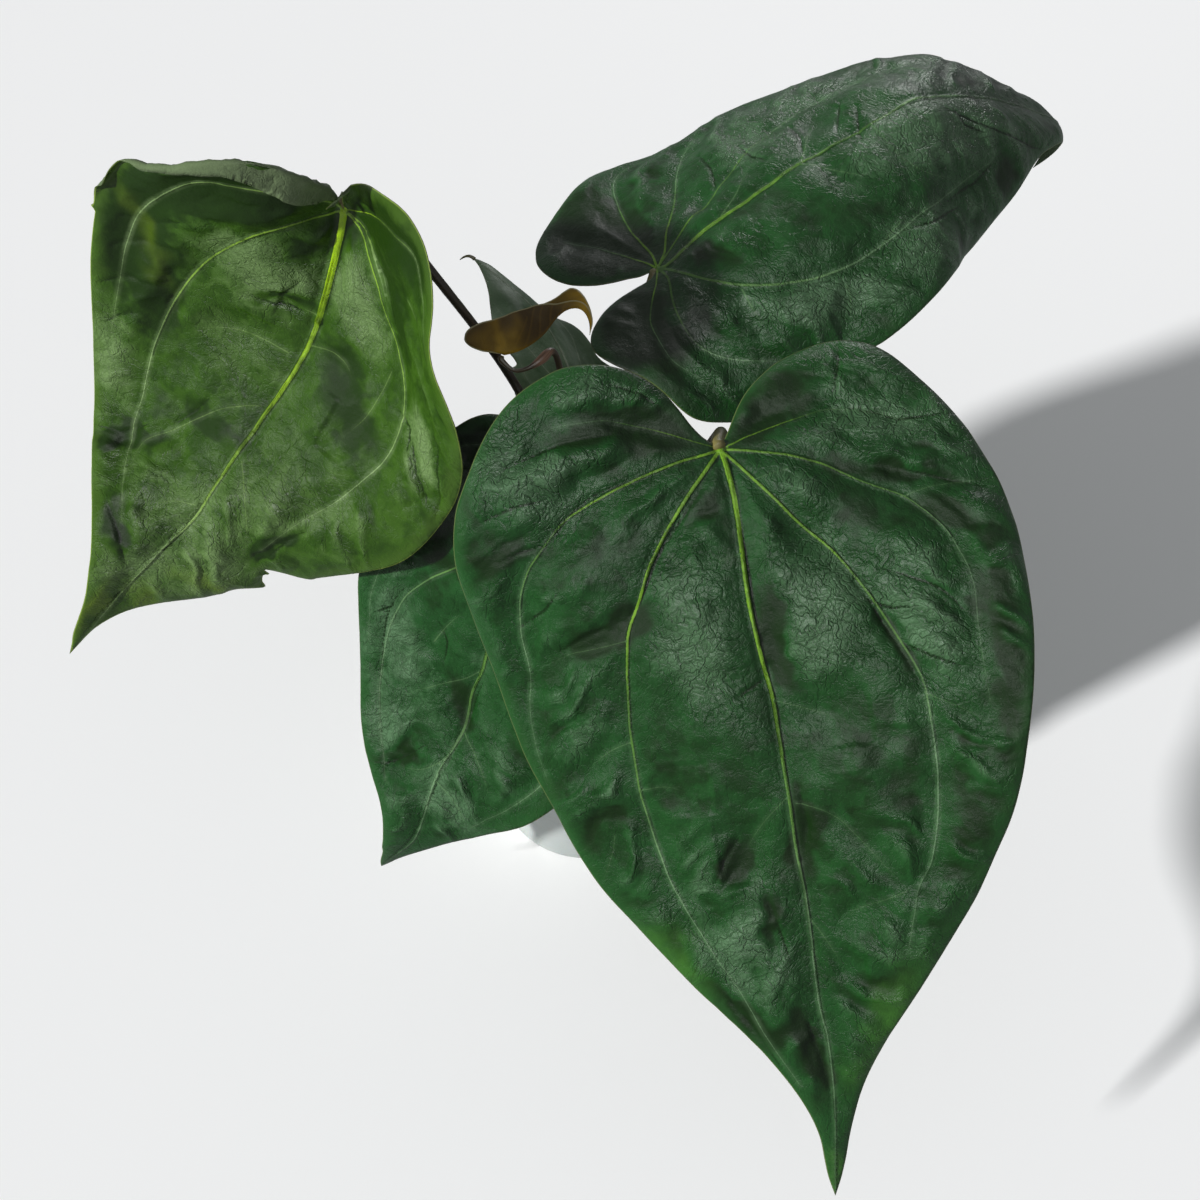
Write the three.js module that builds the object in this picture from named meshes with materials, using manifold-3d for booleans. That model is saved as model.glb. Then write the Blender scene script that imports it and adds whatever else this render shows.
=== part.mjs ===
// A potted velvet-leaved anthurium: four large heart-shaped leaves, a small one, a new one that is
// still folded, their stalks, the short stem they rise from, and a round nursery pot of bark mix.
// Millimetres, +Z up. The origin is the middle of the pot's underside and the front is -Y.
import * as THREE from 'three';
import { mergeVertices } from 'three/addons/utils/BufferGeometryUtils.js';
import Module from 'manifold-3d';

// ---- driving dimensions ----
const POT_HEIGHT = 88;
const POT_BOTTOM_RADIUS = 38;
const POT_TOP_RADIUS = 49.5;
const RIM_RADIUS = 53;
const RIM_HEIGHT = 12;
const POT_WALL = 1.5;
const DRAIN_RADIUS = 3.6;
const DRAIN_CIRCLE = 26;
const DRAIN_COUNT = 6;
const SOIL_TOP = 77;
const GAP = 0.35; // between pieces that touch
const BLADE_EDGE = 0.6; // blade thickness at the margin
const BLADE_MIDDLE = 1.0; // and half way in
const MIDRIB = 2.6; // and over the midrib
const STEM_RADIUS = 7.5;
const STEM_TOP = 112;
const STEM_Y = 3;

// ---- leaf shapes ----
// Each blade is a smooth curved surface, given as a net of cubic B-spline points over the flat
// leaf: the first coordinate runs across it and the second from the stalk (0) to the tip (length).
// "right" and "left" are the flat leaf's two margins, from the notch at the stalk round to the tip.
const LEAVES = {
  front: {
    length: 243.0,
    rect: [-111.78, 111.78, -58.32, 257.58],
    rows: 11,
    net: [
      [-113.1, 37.5, 279.6], [-108.1, 13.9, 258.1], [-102.1, -8.6, 234.1], [-94.1, -27.6, 205.8], [-82.7, -39.3, 174.7], [-73.9, -54.8, 148.5], [-68.5, -78, 127.9], [-63.8, -101.9, 108], [-59.5, -125.8, 87.5], [-55.9, -150.7, 66.6], [-52.9, -176.1, 44.3], [-50.2, -201.6, 19.9], [-47.6, -227, -6],
      [-84, 42.6, 280.4], [-79.6, 18, 261.5], [-75, -6.7, 240.7], [-68.8, -30.4, 214.9], [-56.3, -40.6, 183.3], [-47.8, -56.6, 157.8], [-43.3, -82.4, 138.6], [-38.1, -105.7, 118.2], [-33.2, -128.2, 96.5], [-29.5, -152.8, 75.6], [-26.3, -178.4, 53.1], [-23.7, -203.7, 27.7], [-21.1, -228.8, 0.3],
      [-54.4, 48.4, 278.7], [-50.2, 23.6, 262.4], [-46.4, -1.6, 245.9], [-42.6, -29.9, 223.9], [-31.6, -45.9, 196.1], [-24, -63.6, 170.9], [-18.4, -87.6, 149.8], [-12.3, -109.2, 128.2], [-6.6, -129.6, 104.5], [-2.9, -154.8, 84.6], [0.4, -180.6, 62.3], [3, -205.6, 35.1], [5.4, -230.3, 5.4],
      [-24.9, 54.2, 274.1], [-20.7, 28.9, 258.3], [-16.8, 3.7, 242.8], [-12.2, -21.4, 224.1], [-5, -46.3, 204.6], [1.9, -67.3, 180.7], [8.8, -87.2, 157], [14.7, -109.3, 134.8], [20.5, -130.2, 111.6], [23.8, -157.1, 94.1], [27.5, -182.9, 72.2], [29.8, -206.9, 41.2], [32.2, -230.9, 8.3],
      [3.7, 60.1, 270.1], [7.6, 32.2, 260.1], [11.4, 5.5, 247.6], [17.3, -16.9, 225], [22.8, -41.9, 207.7], [29.4, -65.8, 186.3], [35.9, -87.4, 164.2], [41.6, -109.8, 141.8], [46.8, -133.1, 120.8], [51.6, -159.5, 102.6], [55.7, -184, 81], [57.2, -206.5, 44.3], [59.6, -229.9, 8.2],
      [31.6, 70.7, 259.5], [35.1, 44.2, 249.4], [37.5, 19, 238.9], [46, -10, 224.5], [50.6, -37.7, 209.6], [56.6, -61.6, 189], [64.2, -85.9, 169.7], [69, -108.1, 146.8], [74.3, -131.3, 124.7], [80.2, -155.1, 102.8], [84, -178.6, 80.5], [85.3, -203.4, 42.8], [87.8, -227.3, 6.7],
      [59, 81.2, 248.7], [63.1, 55.2, 235.1], [66.2, 27, 229.2], [72.6, -4.9, 225.7], [78.3, -32.4, 209.9], [84.3, -58.2, 193], [90.8, -82.8, 173.3], [96.3, -106.1, 151.8], [101.8, -130.5, 131.3], [107.4, -152.1, 108.4], [111.9, -172.4, 78.6], [114.3, -198.9, 44.2], [116.9, -223.7, 9.2],
      [85.3, 87.2, 251.5], [89.5, 58.7, 243.2], [94, 28.5, 238.1], [99.9, 1.2, 223.2], [105.9, -27.4, 211.3], [112, -55.2, 197], [118.1, -80.2, 177.8], [123.7, -104.5, 158], [129.4, -126.6, 135.7], [134.6, -151.2, 114.3], [139.2, -172.2, 83.5], [142.6, -196.3, 49.7], [145.7, -220.7, 15.3],
      [111.5, 92.4, 256.2], [116.1, 63.7, 247.5], [121.1, 35.3, 236.6], [127.2, 7.4, 221.8], [133.1, -21.2, 210], [139.6, -51.8, 202.4], [145.4, -79.3, 185.8], [150.9, -104.3, 165.3], [156.6, -125.1, 141.2], [161.8, -148.7, 117.5], [166.5, -171.1, 88.2], [170.4, -194.5, 55.9], [174, -218.3, 22.5],
      [138, 98, 258.3], [143, 69.6, 247.6], [148.3, 41.4, 235], [154.3, 13, 221.6], [160.1, -15.1, 208.6], [166.5, -46.6, 203], [172.5, -76.1, 190.7], [178.2, -101.8, 171.1], [183.8, -124.2, 147.5], [189.1, -147.1, 122.1], [193.8, -169.8, 93.4], [198.1, -192.9, 62.1], [202.1, -216.3, 29.8],
      [164.7, 103.8, 259.4], [169.9, 75.4, 247.5], [175.4, 47.1, 234.8], [181.3, 18.4, 222.2], [187.3, -10.8, 210.9], [193.5, -41.9, 203.7], [199.6, -71.7, 192.7], [205.4, -98.5, 175.1], [211, -122.4, 152.7], [216.3, -145.5, 127.2], [221.2, -168.4, 98.9], [225.7, -191.4, 68.3], [229.9, -214.6, 36.7],
    ],
    right: [[0.0, 0.0], [7.9, -11.4], [17.1, -21.8], [28.6, -29.4], [42.1, -32.4], [55.3, -28.6], [65.5, -19.4], [73.8, -8.2], [80.9, 3.8], [86.2, 16.6], [88.8, 30.2], [89.0, 44.1], [87.8, 58.0], [85.6, 71.7], [82.7, 85.3], [79.1, 98.7], [75.1, 112.0], [70.3, 125.1], [63.9, 137.4], [56.8, 149.3], [48.7, 160.6], [40.0, 171.5], [31.1, 182.2], [22.0, 192.6], [13.9, 204.0], [7.6, 216.3], [4.1, 229.7], [0.0, 243.0]],
    left: [[0.0, 0.0], [-8.9, -10.5], [-16.5, -22.2], [-27.7, -30.1], [-41.4, -32.4], [-54.5, -28.3], [-65.5, -19.8], [-73.7, -8.6], [-81.0, 3.3], [-86.4, 16.1], [-88.8, 29.7], [-88.7, 43.7], [-87.5, 57.5], [-85.6, 71.3], [-83.1, 85.0], [-79.2, 98.4], [-75.0, 111.7], [-70.5, 124.8], [-64.3, 137.3], [-56.8, 149.0], [-48.8, 160.4], [-40.2, 171.4], [-31.0, 181.8], [-22.0, 192.5], [-14.2, 204.0], [-7.9, 216.4], [-3.8, 229.6], [0.0, 243.0]],
  },
  left: {
    length: 204.0,
    rect: [-93.84, 93.84, -48.96, 216.24],
    rows: 11,
    net: [
      [-146, 36, 365.7], [-156.1, 52.2, 345.5], [-165.5, 70.3, 325.8], [-174.2, 88.6, 306.2], [-187.7, 94.7, 284.5], [-203.6, 85.5, 259.3], [-215.9, 80.6, 234.1], [-228, 75.8, 210.7], [-240.6, 65.5, 191.5], [-253.9, 50.1, 176.5], [-268, 32.7, 162.4], [-282.6, 15.3, 147.5], [-297.4, -1.5, 131.8],
      [-127.3, 30.7, 355.1], [-138.1, 44.1, 334.3], [-148.5, 59.6, 314], [-155.1, 80.9, 294.9], [-168.5, 89.8, 273.9], [-185.5, 75, 248.4], [-196, 73.3, 223.8], [-208.2, 70.6, 200.4], [-221.4, 58.6, 182.6], [-235.3, 41, 170.3], [-250.1, 22.5, 157.1], [-265.2, 5.3, 141.8], [-280.3, -10.8, 125.2],
      [-107.9, 29.1, 345.4], [-119, 39.1, 323.8], [-131.6, 48.5, 302.1], [-139.7, 65.3, 281.9], [-150.3, 79.8, 261], [-164.6, 70, 237.1], [-174.9, 69.8, 214.1], [-187.9, 66.4, 190], [-202.4, 50.6, 174], [-216.6, 30.2, 166], [-232.5, 11.3, 152.9], [-248.2, -4.7, 135.9], [-263.4, -19.2, 117.7],
      [-88.1, 33.6, 337.1], [-97.4, 44.4, 315.4], [-108.9, 55.5, 294.2], [-120.3, 63.7, 271.7], [-130.2, 72.7, 248.2], [-142.3, 70.6, 225.5], [-154.7, 63.3, 204.2], [-168.4, 54.8, 182.2], [-184.1, 37, 170.3], [-198, 16.6, 165.7], [-215.9, -0.3, 149.2], [-232, -13.3, 128.6], [-247, -25.3, 108.3],
      [-70.9, 39.3, 329.7], [-76.8, 48.9, 306.1], [-84.3, 56.1, 282.4], [-99.9, 59.2, 260.5], [-110.3, 65.9, 237.8], [-120.9, 65.6, 213.8], [-134.5, 54.1, 194.6], [-148.9, 42.3, 175.9], [-164.6, 23.7, 168.1], [-180.8, 4, 161.4], [-201.7, -8.3, 140.3], [-216.8, -17.5, 117.3], [-230.8, -26.9, 96.4],
      [-60.4, 44.6, 325.4], [-66, 57.4, 301.3], [-70.8, 76.2, 277.5], [-80.8, 81.1, 251.5], [-87.5, 64.8, 226], [-98.4, 57.5, 202.6], [-115.4, 41.6, 187.9], [-130.1, 27.7, 172], [-147.1, 10.3, 159], [-167.1, 4, 141.2], [-188.4, -3.1, 123.2], [-200.9, -14.7, 103.6], [-214.2, -23.2, 83.4],
      [-53.2, 41.3, 323.9], [-61.3, 48.9, 300.1], [-65.9, 57.4, 276.8], [-61.6, 60.3, 249.2], [-67.3, 53.7, 221.1], [-80.5, 43.1, 197.9], [-95.9, 28.4, 181.5], [-112.3, 12.4, 166.1], [-129.3, 3.5, 145.7], [-148.6, 5.4, 123.5], [-169.2, 4.4, 107.4], [-183.4, -6.8, 90.3], [-197.2, -15.6, 70.7],
      [-41.2, 32.3, 323.3], [-45.5, 36, 298.7], [-48.4, 36, 273.2], [-52.1, 35.1, 247], [-53.4, 35.2, 219.9], [-63.1, 27.3, 193.7], [-76.5, 13.7, 174.1], [-93, 5.9, 154], [-109, 13.2, 130.1], [-128.9, 14.1, 110.1], [-147.8, 9.8, 92.6], [-163.8, 1.1, 75.3], [-178.9, -7.2, 56.7],
      [-31.9, 16.9, 323.4], [-36.1, 17.3, 298.6], [-41.9, 14.8, 273.3], [-51.7, 12.2, 246.6], [-43.1, 12.5, 221.1], [-43.9, 12.7, 192], [-55.2, -2.5, 164.7], [-75.9, -5.9, 142.6], [-89.1, 7.9, 117.9], [-107.5, 12.5, 97.4], [-125.9, 10.6, 78.8], [-142.9, 5.1, 60.8], [-159.1, -1.2, 42.3],
      [-27.4, -2.9, 323.5], [-33.6, -4.9, 298.4], [-41.1, -8.4, 272.9], [-45.4, -10.3, 247], [-32.7, -8.1, 222.4], [-26.9, -3.7, 192.2], [-33.5, -10.1, 160.1], [-52.6, -12.1, 133.7], [-68.5, -1.5, 108.4], [-86.1, 5.8, 86.3], [-104.1, 7.6, 66.3], [-121.5, 5.4, 47.3], [-138.4, 1.6, 28.5],
      [-23.6, -24, 323.5], [-29.7, -26.7, 298.3], [-34.5, -29.3, 272.8], [-33.5, -29.6, 246.9], [-22.1, -26.1, 220.4], [-14.3, -21.1, 189.5], [-17.4, -20.7, 156.6], [-31.4, -18.3, 126.9], [-47.3, -9.4, 99.9], [-64.7, -1.1, 76.1], [-82.5, 3.3, 54.6], [-100.1, 4, 34.5], [-117.3, 2.4, 15.1],
    ],
    right: [[0.0, 0.0], [0.2, -10.7], [11.2, -16.7], [22.1, -23.0], [33.9, -27.4], [46.1, -25.7], [57.1, -19.6], [64.3, -9.5], [67.1, 2.8], [74.4, 12.0], [77.3, 24.3], [77.2, 36.8], [76.0, 49.4], [74.7, 61.9], [71.9, 74.2], [68.9, 86.4], [64.5, 98.2], [58.7, 109.3], [52.8, 120.5], [45.5, 130.7], [36.6, 139.6], [29.7, 150.1], [22.1, 160.1], [13.5, 169.3], [6.6, 179.8], [2.3, 191.6], [0.0, 204.0]],
    left: [[0.0, 0.0], [-7.8, -9.4], [-15.3, -19.1], [-25.6, -25.4], [-37.6, -27.5], [-48.9, -23.1], [-57.9, -14.9], [-65.2, -5.0], [-71.2, 5.7], [-75.4, 17.2], [-78.3, 29.1], [-78.6, 41.2], [-76.0, 53.2], [-73.4, 65.2], [-70.7, 77.2], [-67.4, 89.0], [-63.2, 100.5], [-57.9, 111.5], [-51.7, 122.1], [-44.8, 132.3], [-37.0, 141.7], [-28.5, 150.6], [-20.6, 160.0], [-13.5, 170.0], [-7.6, 180.7], [-3.9, 192.4], [0.0, 204.0]],
  },
  low: {
    length: 186.0,
    rect: [-85.56, 85.56, -44.64, 197.16],
    rows: 11,
    net: [
      [-124.4, -3.3, 243.9], [-118.4, 11.4, 220.1], [-111.1, 29.9, 196.5], [-104.5, 50.1, 174.5], [-107.4, 55.6, 156.2], [-117.7, 46.3, 141], [-127, 35.7, 122.8], [-135.5, 24.9, 103.3], [-144.6, 12.8, 85.4], [-154.2, 1.1, 68.7], [-164, -8.8, 52.4], [-173.8, -16.1, 35.7], [-183.4, -21.5, 18.3],
      [-103.7, -1.8, 244.8], [-99.3, 8.1, 221], [-93, 23.1, 196.9], [-83.1, 47.7, 173.4], [-87.7, 50.3, 155.2], [-102.4, 33.3, 142.6], [-110.8, 22.9, 122.7], [-118.2, 13.3, 101.5], [-127.4, 0.5, 83.9], [-137.1, -11.6, 67.4], [-147.1, -21.1, 51.6], [-156.8, -27, 34.5], [-166.3, -30.8, 16.4],
      [-80.9, 5.1, 245.4], [-79, 8.6, 222], [-76.1, 15, 197.9], [-62.2, 43, 172.5], [-69.6, 41.2, 154.5], [-88.6, 17.2, 145], [-94, 10.4, 121.7], [-100.3, 2.4, 98.9], [-110.4, -12.3, 82.8], [-120, -24.7, 66.3], [-130.2, -34, 51.1], [-139.8, -37.5, 33.2], [-149, -38.6, 13.7],
      [-54.1, 20.9, 244.9], [-52.5, 23.9, 222], [-49.5, 28.7, 197.6], [-41, 39, 170.4], [-55.8, 22.4, 155.5], [-69.8, 6.7, 142.3], [-75.6, -0.6, 119.7], [-83.2, -11, 99.3], [-94.2, -26.4, 83.7], [-102.5, -38.4, 65.4], [-113.5, -47.5, 51.5], [-122.6, -46.3, 31.1], [-131.3, -43.8, 9.3],
      [-26.9, 34.6, 243.2], [-26.1, 36.1, 220.5], [-25.4, 30.1, 198.9], [-34.2, 14.7, 180.6], [-47.2, 1.9, 163.2], [-51.2, -4.8, 140.8], [-57.7, -12.2, 118.6], [-64.7, -22.4, 98.3], [-76.2, -35.8, 81.7], [-83, -53.3, 66.2], [-97.1, -59.8, 51.9], [-105, -50.8, 26.3], [-113.1, -45.4, 1.9],
      [-3.2, 35.1, 241.8], [-6.1, 29, 220.7], [-11.7, 16.7, 201.3], [-24, 4.7, 184.8], [-27.8, -8.3, 162.7], [-31.5, -14.2, 138.4], [-39.5, -22.9, 117.2], [-46, -33.5, 96.1], [-58.4, -49.1, 82.3], [-65.7, -59.3, 61.5], [-80.7, -57.8, 40.1], [-86.4, -49.4, 14.7], [-94.1, -45.3, -9],
      [18.9, 31, 239.2], [13.8, 23, 217.9], [7.6, 16.2, 195.4], [0.7, 6.2, 174.4], [-6.2, -10.9, 157.1], [-13.5, -23.3, 137.1], [-21.1, -34.5, 116.5], [-28.7, -46.3, 96.1], [-38.4, -58.6, 77.5], [-45.7, -59.9, 51.3], [-58.9, -58.2, 27.4], [-66.7, -53.6, 4.3], [-74.7, -49.7, -18.9],
      [40.4, 26.5, 235.1], [34.3, 16.6, 214], [27.3, 6.6, 193], [20, -3, 171.9], [13.4, -14.7, 151.9], [6.7, -29.1, 133.1], [-1.1, -41.8, 113.2], [-9.7, -57.1, 95.1], [-19.4, -72.4, 75.6], [-27.4, -70.8, 49.5], [-37.9, -67.1, 23.3], [-46.6, -62.6, -1.4], [-55.1, -58.3, -25.7],
      [61.6, 24.3, 229.6], [55.1, 14.9, 208.2], [48.3, 5.8, 186.8], [41.2, -4.9, 166.1], [34.2, -19, 147.3], [27, -34.1, 129], [19, -48.4, 109.9], [10.2, -63.6, 92.2], [0.8, -77.9, 72], [-8.1, -79.8, 46.9], [-17.5, -77.1, 20.6], [-26.5, -73.1, -5.1], [-35.3, -68.9, -30.3],
      [82.5, 21.9, 224.2], [75.7, 12, 203.1], [68.7, 1.7, 182.3], [61.5, -10.6, 162.4], [54.2, -25.1, 143.9], [46.9, -40.2, 125.5], [38.9, -55.2, 106.8], [30.1, -70, 88.1], [21, -82.1, 67.4], [11.8, -86.6, 43.3], [2.6, -86.1, 17.6], [-6.4, -83.2, -8.3], [-15.3, -79.7, -33.9],
      [103.2, 18.9, 219.1], [96.2, 8.4, 198.4], [89.1, -3, 178.1], [81.8, -16.1, 158.7], [74.4, -31, 140.3], [66.8, -46.4, 121.9], [58.7, -61.7, 103.3], [50.1, -76, 84.1], [41, -87.3, 63], [31.9, -93.2, 39.5], [22.7, -94.4, 14.3], [13.6, -92.9, -11.4], [4.7, -90.1, -37.2],
    ],
    right: [[0.0, 0.0], [6.2, -9.3], [13.1, -18.1], [22.5, -23.8], [33.4, -23.9], [42.5, -17.6], [49.4, -8.8], [54.9, 0.9], [58.9, 11.3], [61.1, 22.3], [61.6, 33.4], [60.5, 44.5], [58.7, 55.5], [56.7, 66.5], [54.1, 77.4], [51.1, 88.1], [47.2, 98.6], [43.1, 108.9], [37.1, 118.4], [30.3, 127.2], [23.6, 136.1], [17.0, 145.2], [10.7, 154.4], [6.0, 164.5], [3.0, 175.3], [0.0, 186.0]],
    left: [[0.0, 0.0], [-6.3, -9.3], [-13.1, -18.1], [-21.4, -25.2], [-32.3, -24.1], [-41.3, -17.6], [-48.6, -9.1], [-54.5, 0.4], [-58.5, 10.8], [-61.0, 21.7], [-61.5, 32.9], [-60.6, 44.0], [-59.0, 55.1], [-56.8, 66.1], [-54.0, 76.9], [-51.1, 87.7], [-47.2, 98.2], [-42.5, 108.3], [-36.9, 118.1], [-30.6, 127.3], [-23.4, 135.9], [-16.6, 144.8], [-11.2, 154.5], [-6.4, 164.6], [-2.6, 175.1], [0.0, 186.0]],
  },
  back: {
    length: 226.0,
    rect: [-103.96, 103.96, -54.24, 239.56],
    rows: 11,
    net: [
      [18.1, -49.9, 191.6], [38.1, -27.3, 173.3], [59.5, -4.4, 157.4], [84.3, 17.5, 150.9], [108.7, 31.7, 154.3], [133.2, 37.1, 164.5], [153.3, 47.6, 169.9], [164, 63.4, 161.9], [172.9, 77.5, 150.4], [182.4, 86.9, 139.5], [189.7, 92, 128.4], [193.1, 93.8, 116.1], [193.7, 93.9, 102.8],
      [7.5, -37.5, 211.1], [26.4, -16.1, 192.7], [46, 5.7, 173.8], [72.5, 29.3, 168], [97.1, 45, 172.5], [123.9, 46.9, 185.8], [147.9, 59.7, 193.2], [155.8, 80.2, 178.3], [166.2, 96, 165], [179.3, 105.2, 155], [188.5, 109.4, 143.9], [191.1, 110.1, 130.9], [189.6, 109.2, 116.7],
      [-2.8, -23.2, 228.4], [16, -3.3, 212.9], [31.2, 15.8, 190], [59.7, 35.5, 187.3], [85.7, 53.9, 196], [112.8, 58.6, 206.1], [142.3, 74, 215.1], [144.8, 99.3, 191], [160.1, 115.2, 179.1], [178.8, 123.4, 171.6], [190.1, 127.1, 160.2], [189.8, 126.4, 145.5], [184.2, 124.1, 129.6],
      [-14.5, -5, 236], [8.9, 14.9, 227.8], [26.9, 36.1, 209.7], [49.2, 49, 204.5], [76.2, 62.8, 216.6], [99.7, 78.6, 219.4], [128, 93, 226.1], [140.7, 114.9, 209.5], [163.1, 130.6, 201.2], [183.2, 140.3, 191.8], [196, 145.5, 177], [188.4, 142.9, 158.7], [176.2, 139.1, 140.3],
      [-35.2, 16.6, 225.7], [-15.8, 36.1, 215.1], [3.2, 59, 211.1], [34.8, 67.9, 226.9], [63.1, 80.3, 233.4], [89, 97.2, 235], [115.1, 112.4, 239.1], [139.7, 129.7, 232.9], [161.6, 145.7, 221.3], [183, 157.8, 207.3], [204.1, 167.7, 190.5], [183.9, 161, 167.7], [164.8, 155.5, 147.6],
      [-50.3, 40.8, 217.3], [-26.2, 59.2, 210.9], [3.7, 77.9, 211.4], [33, 90.1, 219.6], [50.8, 104.8, 230.4], [76.1, 120.2, 237.8], [101, 136.1, 244], [128.9, 153.1, 248.7], [155.6, 167.6, 235.6], [178.7, 182.1, 220.2], [206.6, 196.6, 197.5], [174.5, 183.1, 170.7], [153, 176.3, 151.3],
      [-61.1, 65.2, 212], [-33.9, 81, 208.1], [-4.3, 93.8, 205.5], [18, 110.6, 210.4], [40.6, 127.1, 220.3], [64.9, 142.1, 228.6], [89.3, 158, 234], [114.5, 174.2, 237.2], [140.7, 189.1, 231], [163, 203.6, 218.5], [184.3, 216.8, 199.4], [165.8, 208.9, 174.7], [147.9, 202.6, 154.9],
      [-72.4, 88.8, 206.4], [-46.1, 104.4, 204.9], [-19.5, 117.8, 200.8], [5, 133.3, 205.3], [30.1, 147.9, 211.2], [53.7, 163.3, 217.7], [78.4, 178.4, 222.6], [102.7, 193.6, 224.9], [126.8, 210.3, 227.6], [147.8, 223.5, 216.4], [161.3, 233.3, 199.1], [154.9, 232.3, 178.2], [143.9, 229.3, 158.7],
      [-82.9, 109.9, 196.7], [-56.5, 124.2, 194.1], [-30.6, 138, 191.9], [-8, 155.9, 203.1], [19.2, 168.8, 199.4], [43.9, 183.7, 204.4], [66.8, 199.6, 212.4], [91.7, 213.7, 212.1], [113.4, 229.7, 215.4], [131.6, 242.5, 208.9], [142.5, 251.3, 195.5], [142.5, 254.1, 178.4], [137.6, 254.4, 160.8],
      [-94, 131.3, 188.5], [-68.3, 145.9, 187.9], [-43.3, 160.9, 189.3], [-19.3, 177.4, 195.6], [8.7, 189.7, 189.6], [34.4, 203.7, 191.7], [56.7, 219.8, 200.1], [79.9, 234.4, 202.3], [100.1, 249.1, 204.1], [116.5, 261.4, 200], [126.7, 270.3, 189.9], [129.8, 275.1, 176], [129, 277.8, 160.5],
      [-105.4, 152.9, 181.3], [-80, 167.8, 181.7], [-54.9, 182.9, 183.3], [-29.6, 198, 185.5], [-2.4, 211, 182], [23.2, 224.8, 183], [46.1, 240.1, 188.7], [67.9, 254.7, 192.3], [87, 268.8, 194], [102.2, 280.8, 191.3], [112.4, 289.9, 183.7], [117.2, 296, 172.2], [118.9, 300.2, 158.6],
    ],
    right: [[0.0, 0.0], [6.0, -11.7], [14.6, -22.0], [26.2, -28.7], [39.5, -29.5], [51.7, -24.0], [61.4, -14.7], [69.1, -3.6], [75.9, 8.0], [80.9, 20.4], [79.7, 33.7], [76.3, 46.7], [77.5, 60.1], [78.4, 73.5], [73.7, 86.0], [68.4, 98.4], [64.7, 111.3], [60.0, 123.9], [53.3, 135.7], [46.8, 147.4], [38.9, 158.1], [28.1, 166.2], [19.1, 176.2], [13.1, 188.0], [7.6, 200.2], [3.4, 213.0], [0.0, 226.0]],
    left: [[0.0, 0.0], [-6.2, -10.9], [-11.8, -22.9], [-22.8, -30.5], [-36.0, -30.8], [-47.8, -24.1], [-59.8, -17.9], [-68.5, -7.8], [-74.5, 4.3], [-78.0, 17.4], [-80.4, 30.7], [-80.4, 44.2], [-74.2, 55.3], [-71.6, 68.6], [-68.1, 81.7], [-64.7, 94.8], [-62.3, 108.1], [-59.2, 121.3], [-54.2, 133.9], [-47.2, 145.4], [-39.1, 156.3], [-30.0, 166.3], [-21.3, 176.7], [-14.5, 188.4], [-7.6, 200.1], [-3.4, 212.9], [0.0, 226.0]],
  },
  small: {
    length: 76.0,
    rect: [-34.96, 34.96, -18.24, 80.56],
    rows: 11,
    net: [
      [46.8, 63.9, 182.5], [40.2, 71.6, 182.7], [33.5, 79.1, 183.1], [26.5, 86.1, 183.4], [18.7, 92, 182.8], [13.2, 98.2, 179.5], [9.1, 106.1, 176.8], [2.8, 113.6, 174.1], [-4.3, 120.5, 172.3], [-11, 127.8, 172.3], [-17.1, 135.4, 173.8], [-22.9, 143.2, 175.9], [-28.6, 151, 178.1],
      [41.2, 58, 179.7], [34.9, 65.8, 179.6], [28.5, 73.5, 179.4], [22.3, 81.3, 179.5], [13.6, 87, 179.5], [8.5, 93.1, 176.1], [5.8, 102.2, 176.3], [-1.5, 109.5, 175], [-9.2, 116, 174], [-15.8, 123.4, 175.3], [-21.6, 131.2, 177.8], [-27.2, 139, 180.5], [-32.8, 146.9, 182.7],
      [35.4, 52, 177.4], [29.2, 59.8, 177.1], [22.9, 67.5, 176.2], [18.1, 75.9, 174.5], [9.5, 82.2, 172.6], [4.4, 89, 170.9], [2.4, 98.8, 177.2], [-6.5, 105.4, 176.8], [-14.4, 111.3, 176.3], [-20.5, 119, 178.9], [-25.9, 127, 182.7], [-31.4, 134.9, 185.5], [-37, 142.7, 187.4],
      [29.1, 46.1, 176], [23.2, 54, 176.1], [16.9, 61.7, 176.2], [10.8, 69.2, 174.4], [3.5, 76.6, 172.4], [-1.6, 84.8, 176.2], [-4.7, 93.2, 181.5], [-11.6, 100.2, 181.4], [-18.5, 107, 181.9], [-24.5, 115.1, 184.4], [-29.8, 123.1, 188.9], [-35.4, 130.8, 190.9], [-41.2, 138.3, 191.7],
      [21.8, 40.2, 175.2], [16.2, 48.4, 174.8], [10.2, 56.5, 174.3], [3.7, 64, 175.9], [-1.5, 71.9, 179.1], [-4.7, 80.1, 183.6], [-9.2, 88.2, 186.4], [-14.8, 96.4, 188.8], [-21.2, 103.9, 189.7], [-28.1, 111.4, 190.9], [-33.6, 119, 196], [-39.7, 126.3, 195.5], [-46, 133.6, 194.5],
      [13.6, 34.2, 176.2], [8.4, 42.3, 177], [2.8, 50.4, 176.9], [-2.4, 58.7, 179.2], [-4.3, 66.8, 186], [-8, 75.4, 190.1], [-13.1, 83.6, 193.1], [-18.5, 92, 195.7], [-25.3, 99.3, 196.4], [-32.2, 106.5, 197], [-39.1, 113.6, 199.2], [-45.5, 120.8, 196.3], [-51.9, 128.1, 194.5],
      [4.8, 29, 177.4], [0.1, 37, 180.1], [-4.5, 45.5, 182.1], [-8.7, 54.5, 183.2], [-11.3, 62.2, 189.1], [-15.2, 70.4, 192.8], [-18.9, 78.4, 197.7], [-24.7, 86.5, 198.7], [-31.5, 93.6, 198.5], [-38.7, 100, 199.6], [-46.4, 107, 195.6], [-52.4, 114.6, 193.8], [-58.5, 122.1, 192.5],
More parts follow.
